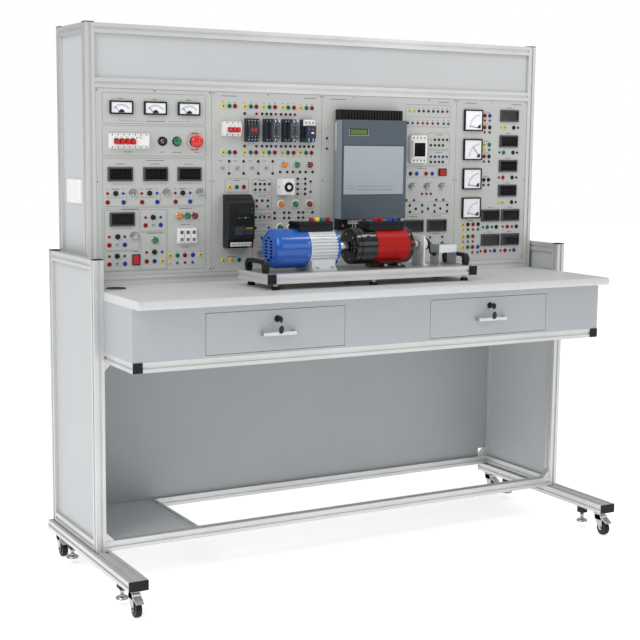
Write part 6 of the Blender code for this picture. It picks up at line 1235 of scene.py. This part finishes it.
for x in (low.x + 0.018, high.x - 0.018):
    drive.turned((x, chassis_front, low.z + 0.014), OUT, ((-0.0005, 0.0042), (0.0010, 0.0040), (0.0018, 0.0026),
                                                          (0.0018, 0.0)), 24)
for k in range(17):
    x = low.x + 0.040 + k * 0.0110
    drive.wear(socket_plastics["green"] if k in (5, 11) else case_white)
    drive.box((x - 0.0044, chassis_front - 0.0120, low.z + 0.0200), (x + 0.0044, chassis_front + 0.001, low.z + 0.0340),
              0.0008)
    drive.wear(screw_steel)
    drive.turned((x, chassis_front - 0.0120, low.z + 0.0265), OUT, ((-0.0002, 0.0030), (0.0004, 0.0028), (0.0004, 0.0)), 12)
    drive.wear(wire_white if k % 3 else hole_shade_and_black_lead)
    drive.tube(((x, chassis_front - 0.0100, low.z + 0.0205), (x, chassis_front - 0.0090, low.z + 0.0120),
                (x + 0.001, chassis_front - 0.0016, low.z + 0.0030)), 0.0015, 8)
drive.piece("dc_drive_housing", "bench", "slate_plastic", "dc_drive")

# Frequency inverter: a charcoal moulded case whose head slopes back under cooling slots, with
# a dark display, four small keys, a type plate zone left bare, and terminals along its foot.
charcoal = finish("charcoal moulded inverter case", "#212427", "#1B1E21", 30.0, (0.38, 0.5), 0.006, 1.6, IOR=1.38)
display_dark = finish("dark green display", "#1B2723", "#16211D", 10.0, (0.08, 0.15), IOR=1.5)
key_yellow = finish("yellow printed keys", "#C9B63A", "#BBA92F", 5.0, (0.4, 0.5), IOR=1.5)
low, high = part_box("inverter")
front = low.y
inverter = Form(charcoal)
profile = ((high.y, low.z), (high.y, high.z), (front + 0.0260, high.z), (front + 0.0040, high.z - 0.0190),
           (front + 0.0008, high.z - 0.0260), (front + 0.0008, low.z + 0.0285), (front + 0.0105, low.z + 0.0265),
           (front + 0.0105, low.z))
inverter.prism((low.x, 0.0, 0.0), (BACKWARD, UP), profile, high.x - low.x, 0.0012)
# Dark strips on the sloping head and the sides: painted shade in the cooling slots.
inverter.wear(painted_hole_shade)
head_start = Vector((0.0, front + 0.0060, high.z - 0.0172))
head_end = Vector((0.0, front + 0.0245, high.z - 0.0014))
normal = (head_end - head_start).cross(Vector(RIGHTWARD)).normalized()
for k in range(9):
    x = low.x + 0.0125 + k * 0.0081
    base = Vector((x, 0.0, 0.0))
    length = (head_end - head_start).length
    along = (head_end - head_start).normalized()
    side = along.cross(normal)
    inverter.prism(base + head_start.lerp(head_end, 0.10) - normal * 0.0001, (along, side) if normal.y < 0 else (side, along),
                   ((0.0, -0.0024), (length * 0.82, -0.0024), (length * 0.82, 0.0024), (0.0, 0.0024)), 0.0004)
for k in range(10):
    z = low.z + 0.045 + k * 0.0098
    for side in (low.x, high.x):
        inverter.box((side - 0.0002, front + 0.012, z), (side + 0.0002, high.y - 0.006, z + 0.0050))


def inlay(x0, z0, x1, z1, worn, proud=0.0004):
    """A flat field of the inverter's face, in mm from its lower left corner."""
    inverter.wear(worn)
    inverter.box((low.x + x0 * MM, front + 0.0008 - proud, low.z + z0 * MM),
                 (low.x + x1 * MM, front + 0.0012, low.z + z1 * MM), min(proud * 0.5, 0.0004), 1)


inlay(4, 72, 86, 140, drive_black, 0.0005)
inlay(31, 104, 74, 128, display_dark, 0.0007)
for x, worn in ((36, stop_red), (46.5, socket_plastics["green"]), (57, key_grey), (67.5, relay_light)):
    inlay(x - 2.4, 94, x + 2.4, 98, worn, 0.0007)
for x in (79,):
    for z in (110, 122):
        inlay(x - 2.4, z, x + 2.4, z + 6, relay_light, 0.0007)
inlay(22, 42, 52, 66, relay_light, 0.0006)
for row in range(3):
    for column in range(3):
        inlay(25 + column * 9.2, 45 + row * 6.8, 31 + column * 9.2, 49.4 + row * 6.8, meter_black, 0.0007)
for k in range(4):
    inlay(58 + k * 6.6, 60.5, 62.4 + k * 6.6, 64.5, key_yellow, 0.0007)
for row in range(3):
    inlay(56, 44 + row * 5.2, 84, 46.4 + row * 5.2, relay_light, 0.0005)
# A dark strip behind the terminals: painted shade in the recess along the foot.
inverter.wear(painted_hole_shade)
inverter.box((low.x + 0.004, front + 0.0098, low.z + 0.002), (high.x - 0.004, front + 0.0108, low.z + 0.024))
for k in range(9):
    x = low.x + 0.0120 + k * 0.0082
    inverter.wear(case_white)
    inverter.box((x - 0.0034, front + 0.0040, low.z + 0.006), (x + 0.0034, front + 0.0106, low.z + 0.0185), 0.0008)
    # A dark disc in each terminal: painted shade in the screw hole.
    inverter.wear(hole_shade_and_black_lead)
    inverter.turned((x, front + 0.0040, low.z + 0.0125), OUT, ((-0.0002, 0.0022), (0.0002, 0.0022), (0.0002, 0.0)), 12)
for k, tone in ((7.4, wire_white), (8.0, toggle_red), (8.5, toggle_red)):
    x = low.x + 0.0120 + k * 0.0082
    inverter.wear(tone)
    inverter.tube(((x - 0.002, front + 0.0062, low.z + 0.0150), (x, front + 0.0035, low.z + 0.0105),
                   (x + 0.002, front + 0.0055, low.z + 0.0040), (x + 0.003, front + 0.0140, low.z + 0.0016)), 0.0013, 8)
inverter.piece("inverter_case", "bench", "charcoal_plastic", "inverter")


# Motor set, base: a rectangle of the same profile with a sheet deck, black end caps, a folded
# aluminium channel over the sensor, tapered rubber feet on studs, and moulded bow handles.
foot_rubber = finish("black rubber foot", "#0F1011", "#18191A", 6.0, (0.55, 0.75), 0.008, 1.5, IOR=1.38)
sheet_aluminium = finish("brushed aluminium sheet", "#CFD1D2", "#BFC2C3", 30.0, (0.3, 0.42), 0.01, 1.2, Metallic=0.8)


def base_finish(c):
    """Profile, black cap, rubber foot or bare sheet, by where a face of the base lies."""
    if c.y < -0.2192:
        return 1
    if c.z < 0.9020:
        return 2
    return 3 if c.z > 0.9402 else 0


dress(("motor_base",), (anodised, cap_plastic, foot_rubber, sheet_aluminium), base_finish)
low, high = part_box("motor_base")
feet = Form(foot_rubber)
for x in (low.x + 0.036, (low.x + high.x) / 2, high.x - 0.036):
    for y in (-0.201, -0.041):
        feet.wear(foot_rubber)
        feet.turned((x, y, low.z), UP, ((0.0, 0.0), (0.0, 0.0119), (0.0006, 0.0123), (0.0030, 0.0123), (0.0090, 0.0105),
                                        (0.0100, 0.0095), (0.0100, 0.0)), 36)
        feet.wear(zinc)
        feet.turned((x, y, low.z), UP, ((0.0098, 0.0), (0.0098, 0.0075), (0.0104, 0.0080), (0.0140, 0.0080),
                                        (0.0145, 0.0074), (0.0145, 0.0)), 6)
        feet.turned((x, y, low.z), UP, ((0.0140, 0.0), (0.0140, 0.0061), (0.0184, 0.0061), (0.0184, 0.0)), 20)
feet.piece("base_rubber_feet_and_nuts", "motor_set", "tread")
handle_plastic = finish("black moulded handle", "#101113", "#181A1C", 14.0, (0.34, 0.48), 0.006, 1.6, IOR=1.38)
for side in ("left", "right"):
    low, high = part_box(side + "_carry_handle")
    bow = Form(handle_plastic)
    y0, y1, z0, z1 = low.y, high.y, low.z, high.z
    bend, arm = 0.0150, 0.0112
    outer = [(y0, z0), *[(y0 + bend - b, z1 - bend + a) for b, a in circle(bend, 7, 0.0, 90.0)],
             *[(y1 - bend + a, z1 - bend + b) for a, b in reversed(circle(bend, 7, 0.0, 90.0))], (y1, z0)]
    flare, inner = 0.020, 0.0085
    inside = [(y1 - flare, z0), (y1 - arm - 0.0022, z0 + 0.0080),
              *[(y1 - arm - inner + a, z1 - arm - inner + b) for a, b in circle(inner, 6, 0.0, 90.0)],
              *[(y0 + arm + inner - a, z1 - arm - inner + b) for a, b in reversed(circle(inner, 6, 0.0, 90.0))],
              (y0 + arm + 0.0022, z0 + 0.0080), (y0 + flare, z0)]
    bow.prism((low.x, 0.0, 0.0), (BACKWARD, UP), outer + inside, high.x - low.x, 0.0032, 3)
    bow.wear(zinc)
    for y in (y0 + 0.0100, y1 - 0.0100):
        bow.turned(((low.x + high.x) / 2, y, z1 - 0.0006), UP, ((-0.002, 0.0), (-0.002, 0.0034), (0.0001, 0.0032),
                                                                (0.0004, 0.0020), (0.0004, 0.0)), 6)
    bow.piece(side + "_bow_handle", "motor_set", "dark_plastic", side + "_carry_handle")

# Induction motor: an aluminium stator with long cooling fins, a pressed fan cowl in glossy
# blue enamel whose end is pierced by staggered slots, and a ribbed blue end bell.
blue_enamel = finish("glossy blue enamel", "#1D5AB6", "#1950A6", 60.0, (0.16, 0.24), 0.006, 9.0, Coat_Weight=0.3,
                     Coat_Roughness=0.05, IOR=1.45)
cast_fins = finish("bead blasted cast aluminium", "#DADCDD", "#CDD0D1", 12.0, (0.32, 0.46), 0.008, 1.8, Metallic=0.35)
box_black = finish("black moulded terminal box", "#0A0B0D", "#101214", 16.0, (0.2, 0.32), 0.003, 2.0, IOR=1.38)
shaft_y, shaft_z = -0.121, 1.0085
core = Vector((0.0, shaft_y, shaft_z))
low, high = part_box("fan_cowl")
cowl_start, cowl_end = low.x, high.x
reach = 0.0608


def applied(target, cutter):
    """Cuts target's mesh with cutter's for good and returns the result as a new form."""
    shapes = []
    for form in (target, cutter):
        bmesh.ops.recalc_face_normals(form.mesh, faces=form.mesh.faces[:])
        data = bpy.data.meshes.new("shape")
        form.mesh.to_mesh(data)
        form.mesh.free()
        shape = bpy.data.objects.new("shape", data)
        bpy.context.scene.collection.objects.link(shape)
        shapes.append(shape)
    change = shapes[0].modifiers.new("cut", "BOOLEAN")
    change.solver = "EXACT"
    change.object = shapes[1]
    graph = bpy.context.evaluated_depsgraph_get()
    result = Form(target.finishes[0])
    result.mesh.from_mesh(shapes[0].evaluated_get(graph).to_mesh())
    for shape in shapes:
        bpy.data.objects.remove(shape)
    return result


bend = 0.0200
corner = [(cowl_start + bend - bend * math.cos(math.radians(a)), reach - bend + bend * math.sin(math.radians(a)))
          for a in range(0, 91, 10)]
wall = 0.0018
shell = Form(blue_enamel)
inner_wall = [(min(x + wall, cowl_end), r - wall) for x, r in reversed(corner)]
shell.turned(core, RIGHTWARD, [(cowl_start, 0.0)] + corner + [(cowl_end - 0.0008, reach), (cowl_end, reach - 0.0008),
             (cowl_end, reach - wall)] + [(x, min(r, reach - wall)) for x, r in inner_wall] + [(cowl_start + wall, 0.0)], 96)
slots = Form(blue_enamel)
slot_spots = [(side * 0.0165, (row - 2.5) * 0.0096) for side in (-1, 1) for row in range(6)]
for y, z in slot_spots + [(0.0, 0.0335), (0.0, -0.0335)]:
    slots.box(core + Vector((cowl_start - 0.004, y - 0.0095, z - 0.0026)),
              core + Vector((cowl_start + 0.006, y + 0.0095, z + 0.0026)), 0.0018)
cowl = applied(shell, slots)
# Painted shade: the cowl's inside faces and its slot walls wear the near black hole finish, for the dark inside of the
# cowl.
cowl.wear(painted_hole_shade)
heart = core + Vector(((cowl_start + cowl_end) / 2, 0.0, 0.0))
for face in cowl.mesh.faces:
    centre = face.calc_center_median()
    radial = math.hypot(centre.y - shaft_y, centre.z - shaft_z)
    shaded_slot_wall = radial < reach - bend and cowl_start + 0.0003 < centre.x < cowl_start + wall
    face.material_index = 1 if shaded_slot_wall or face.normal.dot(centre - heart) < 0 else 0
cowl.wear(zinc)
for angle in (20, 160, 200, 340):
    out = Vector((0.0, math.cos(math.radians(angle)), math.sin(math.radians(angle))))
    cowl.turned(core + Vector((cowl_end - 0.0085, 0.0, 0.0)) + out * (reach - 0.0022), out, (
        (0.0, 0.0036), (0.0018, 0.0036), (0.0022, 0.0026), (0.0022, 0.0)), 20)
cowl.piece("fan_cowl_pressing", "motor_set", "blue_enamel", "fan_cowl")

stator = Form(cast_fins)
stator_start, bell_start, bell_end = cowl_end + 0.0003, cowl_end + 0.0950, cowl_end + 0.1210
fins, root, tip = 36, 0.0560, 0.0606
outline = []
for i in range(fins):
    for share, radius in ((0.16, root), (0.34, root), (0.44, tip - 0.0006), (0.50, tip), (0.80, tip), (0.86, tip - 0.0006)):
        angle = 2 * math.pi * (i + share) / fins
        outline.append((radius * math.cos(angle), radius * math.sin(angle)))
stator.prism(core + Vector((stator_start, 0.0, 0.0)), (BACKWARD, UP), outline, bell_start - stator_start, 0.0004, 1)
stator.turned(core, RIGHTWARD, ((stator_start, 0.0075), (stator_start, 0.0588), (stator_start + 0.004, 0.0588),
                                (stator_start + 0.004, 0.0575)), 72)
foot_low = 0.9408
foot_start, foot_end = stator_start + 0.0057, bell_start - 0.0060
ankle = ((-0.062, 0.0), (0.062, 0.0), (0.062, 0.0068), (0.0525, 0.0074), (0.0500, 0.0120), (0.0495, 0.0340),
         (-0.0495, 0.0340), (-0.0500, 0.0120), (-0.0525, 0.0074), (-0.062, 0.0068))
stator.prism((foot_start, shaft_y, foot_low), (BACKWARD, UP), ankle, foot_end - foot_start, 0.0010)
for x in (foot_start + 0.0150, foot_end - 0.0150):
    for side in (-1, 1):
        spot = Vector((x, shaft_y + side * 0.0565, foot_low + 0.0070))
        stator.wear(zinc)
        stator.turned(spot, UP, ((-0.0005, 0.0), (-0.0005, 0.0066), (0.0010, 0.0066), (0.0010, 0.0)), 28)
        stator.turned(spot, UP, ((0.0008, 0.0), (0.0008, 0.0050), (0.0014, 0.0055), (0.0048, 0.0055), (0.0054, 0.0049),
                                 (0.0054, 0.0)), 6)
stator.wear(blue_enamel)
stator.turned(core, RIGHTWARD, ((bell_start - 0.0005, 0.0550), (bell_start - 0.0005, 0.0596), (bell_start + 0.0015, 0.0602),
                                (bell_start + 0.0075, 0.0598), (bell_start + 0.0105, 0.0570), (bell_start + 0.0150, 0.0470),
                                (bell_start + 0.0170, 0.0330), (bell_start + 0.0185, 0.0225), (bell_end - 0.0008, 0.0205),
                                (bell_end, 0.0190), (bell_end, 0.0080)), 96)
for k in range(12):
    angle = math.radians(30 * k + 15)
    out = Vector((0.0, math.cos(angle), math.sin(angle)))
    side = Vector((0.0, -out.z, out.y))
    rib = ((0.0, 0.0215), (0.0035, 0.0300), (0.0060, 0.0460), (0.0125, 0.0560), (0.0190, 0.0580), (0.0190, 0.0200))
    stator.prism(core + Vector((bell_end - 0.0028, 0.0, 0.0)) - side * 0.0011, (LEFTWARD, out), rib,
                 0.0022 if Vector(LEFTWARD).cross(out).dot(side) > 0 else -0.0022, 0.0004, 1)
stator.wear(zinc)
for k in range(4):
    angle = math.radians(90 * k + 45)
    out = Vector((0.0, math.cos(angle), math.sin(angle)))
    stator.turned(core + Vector((bell_start + 0.0098, 0.0, 0.0)) + out * 0.0540, RIGHTWARD, (
        (0.0, 0.0), (0.0, 0.0042), (0.0040, 0.0042), (0.0046, 0.0036), (0.0046, 0.0)), 6)


def terminal_housing(form, start, end, low_z, height, shares, tones):
    """A moulded box with a screwed lid and a row of tall insulated sockets in its top."""
    form.wear(box_black)
    y0, y1 = shaft_y - 0.035, shaft_y + 0.035
    form.box((start + 0.0012, y0 + 0.0012, low_z), (end - 0.0012, y1 - 0.0012, low_z + height * 0.62), 0.0020)
    form.box((start, y0, low_z + height * 0.60), (end, y1, low_z + height), 0.0030, 3)
    form.wear(zinc)
    for x in (start + 0.0070, end - 0.0070):
        for y in (y0 + 0.0065, y1 - 0.0065):
            form.turned((x, y, low_z + height - 0.0004), UP, ((-0.001, 0.0), (-0.001, 0.0026), (0.0004, 0.0026),
                                                              (0.0008, 0.0018), (0.0008, 0.0)), 16)
    for share, tone in zip(shares, tones):
        spot = (start + share * (end - start), y0 + 0.0175, low_z + height)
        form.wear(socket_plastics[tone])
        form.turned(spot, UP, ((-0.001, 0.0), (-0.001, 0.0079), (0.0085, 0.0079), (0.0106, 0.0072), (0.0117, 0.0058),
                               (0.0119, 0.0040), (0.0050, 0.0036), (0.0050, 0.0030)), 32)
        # The dark core of each socket: painted shade in its hole.
        form.wear(hole_shade_and_black_lead)
        form.turned(spot, UP, ((0.0048, 0.0), (0.0048, 0.0038), (0.0052, 0.0038), (0.0052, 0.0)), 16)


terminal_housing(stator, bell_start - 0.1280, bell_start - 0.0040, 1.0595, 0.031, (0.43, 0.59, 0.75, 0.91),
                 ("red", "yellow", "green", "red"))
stator.piece("induction_motor", "motor_set", "cast_aluminium", "ac_motor")

# Direct current machine: a glossy black brush bell with its bolts, a smooth deep red yoke, a
# black rear bell, a bolted foot bracket and a terminal box.
red_enamel = finish("deep red enamel", "#AE0A05", "#A00803", 60.0, (0.34, 0.42), 0.004, 9.0, IOR=1.3)
bell_black = finish("glossy black enamel", "#08090A", "#0D0E0F", 30.0, (0.14, 0.24), 0.006, 6.0, Coat_Weight=0.4,
                    Coat_Roughness=0.08, IOR=1.38)
low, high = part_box("dc_motor")
brush_end, yoke_start, yoke_end, drive_end = low.x + 0.0035, low.x + 0.0808, low.x + 0.2008, low.x + 0.2228
machine = Form(bell_black)
machine.turned(core, RIGHTWARD, (
    (brush_end - 0.0030, 0.0080), (brush_end - 0.0030, 0.0215), (brush_end, 0.0230), (brush_end, 0.0535),
    (brush_end + 0.0012, 0.0558), (brush_end + 0.0035, 0.0570), (brush_end + 0.0170, 0.0572), (brush_end + 0.0178, 0.0550),
    (brush_end + 0.0198, 0.0550), (brush_end + 0.0206, 0.0572), (yoke_start - 0.0030, 0.0574), (yoke_start, 0.0560)), 96)
machine.wear(red_enamel)
machine.turned(core, RIGHTWARD, ((yoke_start, 0.0500), (yoke_start, 0.0562), (yoke_start + 0.0014, 0.0570),
                                 (yoke_end - 0.0014, 0.0570), (yoke_end, 0.0562), (yoke_end, 0.0500)), 96)
machine.wear(bell_black)
machine.turned(core, RIGHTWARD, (
    (yoke_end - 0.0008, 0.0540), (yoke_end - 0.0006, 0.0566), (yoke_end + 0.0010, 0.0574), (yoke_end + 0.0120, 0.0574),
    (yoke_end + 0.0145, 0.0560), (yoke_end + 0.0170, 0.0500), (yoke_end + 0.0190, 0.0360), (yoke_end + 0.0205, 0.0190),
    (drive_end - 0.0006, 0.0182), (drive_end, 0.0172), (drive_end, 0.0080)), 96)
for k in range(6):
    angle = math.radians(60 * k + 15)
    out = Vector((0.0, math.cos(angle), math.sin(angle)))
    machine.wear(zinc)
    machine.turned(core + Vector((brush_end + 0.0002, 0.0, 0.0)) + out * 0.0400, LEFTWARD, (
        (0.0, 0.0), (0.0, 0.0038), (0.0022, 0.0038), (0.0028, 0.0030), (0.0028, 0.0)), 6)
for angle in (150, 210, 330, 30):
    out = Vector((0.0, math.cos(math.radians(angle)), math.sin(math.radians(angle))))
    machine.wear(bell_black)
    machine.turned(core + Vector((brush_end + 0.0450, 0.0, 0.0)) + out * 0.0562, out, (
        (0.0, 0.0), (0.0, 0.0088), (0.0014, 0.0084), (0.0014, 0.0)), 28)
yoke_middle = (yoke_start + yoke_end) / 2
# Two dark discs on the yoke: painted shade in screw holes.
for angle in (195, 345):
    out = Vector((0.0, math.cos(math.radians(angle)), math.sin(math.radians(angle))))
    machine.wear(painted_hole_shade)
    machine.turned(core + Vector((yoke_middle, 0.0, 0.0)) + out * 0.0568, out, (
        (0.0, 0.0), (0.0, 0.0034), (0.0003, 0.0034), (0.0003, 0.0)), 24)
machine.wear(bell_black)
bracket = ((-0.0548, 0.0), (0.0548, 0.0), (0.0548, 0.0058), (0.0345, 0.0062), (0.0300, 0.0100), (0.0320, 0.0245),
           (-0.0320, 0.0245), (-0.0300, 0.0100), (-0.0345, 0.0062), (-0.0548, 0.0058))
bracket_start = yoke_middle - 0.0425
machine.prism((bracket_start, shaft_y, foot_low), (BACKWARD, UP), bracket, 0.0850, 0.0010)
for x in (bracket_start + 0.0175, bracket_start + 0.0675):
    for side in (-1, 1):
        spot = Vector((x, shaft_y + side * 0.0450, foot_low + 0.0056))
        machine.wear(zinc)
        machine.turned(spot, UP, ((-0.0005, 0.0), (-0.0005, 0.0072), (0.0012, 0.0072), (0.0012, 0.0)), 28)
        machine.turned(spot, UP, ((0.0010, 0.0), (0.0010, 0.0054), (0.0016, 0.0059), (0.0056, 0.0059), (0.0064, 0.0050),
                                  (0.0064, 0.0)), 6)
terminal_housing(machine, yoke_end - 0.1448, yoke_end - 0.0098, 1.0590, 0.027, (0.26, 0.39, 0.66, 0.79),
                 ("red", "red", "blue", "blue"))
machine.piece("direct_current_machine", "motor_set", "red_enamel", "dc_motor")

# Rotor: ground steel shafts, the cooling fan seen through the cowl's slots, a machined jaw
# coupling with a red spider, and a cream insulating coupling to the encoder.
ground_steel = finish("ground steel shaft", "#C4C6C8", "#A6A8AA", 5.0, (0.12, 0.22), Metallic=1.0)
coupling_metal = finish("machined aluminium hub", "#D2D3D3", "#B5B7B8", 4.0, (0.2, 0.3), 0.01, 0.5, Metallic=1.0)
spider_red = finish("red urethane spider", "#B5161A", "#9E1115", 5.0, (0.35, 0.5), IOR=1.5)
cream_nylon = finish("cream nylon coupling", "#E4DCC6", "#D8CFB6", 6.0, (0.3, 0.45), 0.01, 0.6, IOR=1.53)
fan_plastic = finish("black fan plastic", "#1A1B1C", "#242526", 8.0, (0.45, 0.6), IOR=1.5)
neck = (bell_end + brush_end) / 2
rotor = Form(ground_steel)
fan_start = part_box("rotor_shaft")[0].x + 0.0005
stub, link_end = drive_end + 0.0100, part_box("encoder_bracket")[0].x - 0.0034
rotor.turned(core, RIGHTWARD, ((fan_start, 0.0), (fan_start, 0.0066), (fan_start + 0.0006, 0.0072), (stub, 0.0072),
                               (stub, 0.0)), 40)
rotor.turned(core, RIGHTWARD, ((stub - 0.001, 0.0), (stub - 0.001, 0.0039), (link_end + 0.012, 0.0039),
                               (link_end + 0.012, 0.0)), 28)
rotor.wear(coupling_metal)
for side in (-1, 1):
    axis = (float(side), 0.0, 0.0)
    rotor.turned(core + Vector((neck, 0.0, 0.0)), axis, ((0.0035, 0.0074), (0.0035, 0.0150), (0.0042, 0.0158), (0.0130, 0.0158),
                                                        (0.0138, 0.0150), (0.0138, 0.0074)), 56)
    for k in range(3):
        angle = math.radians(120 * k + (60 if side > 0 else 0))
        jaw = circle(0.0156, 6, math.degrees(angle) - 24, math.degrees(angle) + 24)
        jaw += circle(0.0085, 6, math.degrees(angle) + 24, math.degrees(angle) - 24)
        x = neck + (0.0034 - 0.0068 if side > 0 else -0.0034)
        rotor.prism(core + Vector((x, 0.0, 0.0)), (BACKWARD, UP), jaw, 0.0068, 0.0003, 1)
# Dark discs on the jaw hubs: painted shade in the set screw holes.
rotor.wear(painted_hole_shade)
for side in (-1, 1):
    for angle in (205, 25):
        out = Vector((0.0, math.cos(math.radians(angle)), math.sin(math.radians(angle))))
        rotor.turned(core + Vector((neck + side * 0.0090, 0.0, 0.0)) + out * 0.0157, out, ((0.0, 0.0), (0.0, 0.0023),
                                                                                        (0.0002, 0.0023), (0.0002, 0.0)), 16)
rotor.wear(spider_red)
rotor.turned(core, RIGHTWARD, ((neck - 0.0030, 0.0074), (neck - 0.0030, 0.0148), (neck + 0.0030, 0.0148),
                               (neck + 0.0030, 0.0074)), 48)
rotor.wear(cream_nylon)
link = link_end - stub
for x0, x1 in ((stub - 0.0060, stub + link * 0.36), (stub + link * 0.62, link_end)):
    rotor.turned(core, RIGHTWARD, ((x0, 0.0040), (x0, 0.0100), (x0 + 0.0008, 0.0108), (x1 - 0.0008, 0.0108), (x1, 0.0100),
                                   (x1, 0.0040)), 44)
rotor.wear(spider_red)
rotor.turned(core, RIGHTWARD, ((stub + link * 0.35, 0.0040), (stub + link * 0.35, 0.0098), (stub + link * 0.63, 0.0098),
                               (stub + link * 0.63, 0.0040)), 40)
rotor.wear(fan_plastic)
rotor.turned(core, RIGHTWARD, ((fan_start + 0.0005, 0.0072), (fan_start + 0.0005, 0.0170), (fan_start + 0.0060, 0.0180),
                               (fan_start + 0.0075, 0.0440), (fan_start + 0.0090, 0.0440), (fan_start + 0.0090, 0.0072)), 48)
for k in range(9):
    angle = math.radians(40 * k)
    out = Vector((0.0, math.cos(angle), math.sin(angle)))
    side = Vector((0.0, -out.z, out.y))
    blade = ((0.0, 0.0150), (0.0, 0.0430), (0.0070, 0.0440), (0.0075, 0.0150))
    rotor.prism(core + Vector((fan_start + 0.0004, 0.0, 0.0)) - side * 0.0008, (RIGHTWARD, out), blade,
                0.0016 if Vector(RIGHTWARD).cross(out).dot(side) > 0 else -0.0016)
rotor.piece("rotor_and_couplings", "rotor", "plated_steel", "rotor_shaft")

# Encoder: a black round encoder behind a white folded bracket, whose lead drops in an easy
# bend to the sensor under the channel.
bracket_white = finish("white stoved enamel", "#E6E8E8", "#DEE0E0", 60.0, (0.3, 0.4), 0.01, 3.0, IOR=1.45)
lead_black = finish("black cable sheath", "#0D0E0F", "#151617", 8.0, (0.4, 0.55), 0.01, 0.6, IOR=1.38)


def eased(points, steps=8):
    """A smooth path through the points, with steps places between each pair."""
    path = [Vector(p) for p in points]
    ends = [path[0] * 2 - path[1]] + path + [path[-1] * 2 - path[-2]]
    places = []
    for a, b, c, d in zip(ends, ends[1:], ends[2:], ends[3:]):
        for step in range(steps):
            t = step / steps
            places.append(0.5 * (2 * b + (c - a) * t + (2 * a - 5 * b + 4 * c - d) * t * t
                                 + (3 * b - a - 3 * c + d) * t ** 3))
    return places + [path[-1]]


low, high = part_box("encoder_bracket")
web = low.x
fold = ((web, low.z), (high.x, low.z), (high.x, low.z + 0.0050), (web + 0.0085, low.z + 0.0055),
        (web + 0.0050, low.z + 0.0090), (web + 0.0050, high.z), (web, high.z))
plate_form = Form(bracket_white)
plate_form.prism((0.0, high.y, 0.0), (RIGHTWARD, UP), fold, high.y - low.y, 0.0006, 1)
hole = Form(bracket_white)
hole.turned(core + Vector((web, 0.0, 0.0)), RIGHTWARD, ((-0.004, 0.0), (-0.004, 0.0118), (0.010, 0.0118), (0.010, 0.0)), 40)
holder = applied(plate_form, hole)
holder.wear(zinc)
for y in (low.y + 0.0130, high.y - 0.0130):
    holder.turned((high.x - 0.0050, y, low.z + 0.0046), UP, ((0.0, 0.0), (0.0, 0.0042), (0.0030, 0.0042),
                                                             (0.0036, 0.0034), (0.0036, 0.0)), 6)
for angle in (30, 150, 270):
    out = Vector((0.0, math.cos(math.radians(angle)), math.sin(math.radians(angle))))
    holder.turned(core + Vector((web + 0.0002, 0.0, 0.0)) + out * 0.0160, LEFTWARD, (
        (0.0, 0.0), (0.0, 0.0022), (0.0016, 0.0020), (0.0016, 0.0)), 18)
holder.piece("encoder_bracket_plate", "motor_set", "white_sheet", "encoder_bracket")
sensor = Form(bracket_white)
start = web + 0.0063
sensor.turned(core, RIGHTWARD, ((start, 0.0042), (start, 0.0180), (start + 0.0008, 0.0188), (start + 0.0190, 0.0188),
                                (start + 0.0196, 0.0182)), 56)
sensor.wear(box_black)
sensor.turned(core, RIGHTWARD, ((start + 0.0192, 0.0100), (start + 0.0192, 0.0190), (start + 0.0200, 0.0194),
                                (start + 0.0270, 0.0190), (start + 0.0290, 0.0178), (start + 0.0290, 0.0)), 56)
sensor.wear(lead_black)
sensor.turned(core, RIGHTWARD, ((start + 0.0285, 0.0), (start + 0.0285, 0.0056), (start + 0.0335, 0.0048),
                                (start + 0.0335, 0.0)), 24)
lead = eased([(x, shaft_y, z) for x, z in ((start + 0.0315, 1.0085), (start + 0.0375, 1.0045), (start + 0.0400, 0.9960),
                                           (start + 0.0405, 0.9860), (start + 0.0440, 0.9780), (start + 0.0520, 0.9745),
                                           (0.2736, 0.9740))])
sensor.tube(lead, 0.0029, 14)
sensor.turned((0.2732, shaft_y, 0.9740), LEFTWARD, ((-0.0006, 0.0), (-0.0006, 0.0062), (0.0040, 0.0062), (0.0070, 0.0044),
                                                    (0.0070, 0.0)), 20)
sensor.piece("encoder_and_lead", "motor_set", "dark_plastic", "encoder")
flap = Form(bracket_white)
flap.box((0.2732, -0.1474, 0.9795), (0.3418, -0.1459, 1.0052), 0.0006)
flap.piece("sensor_channel_flap", "motor_set", "white_sheet")
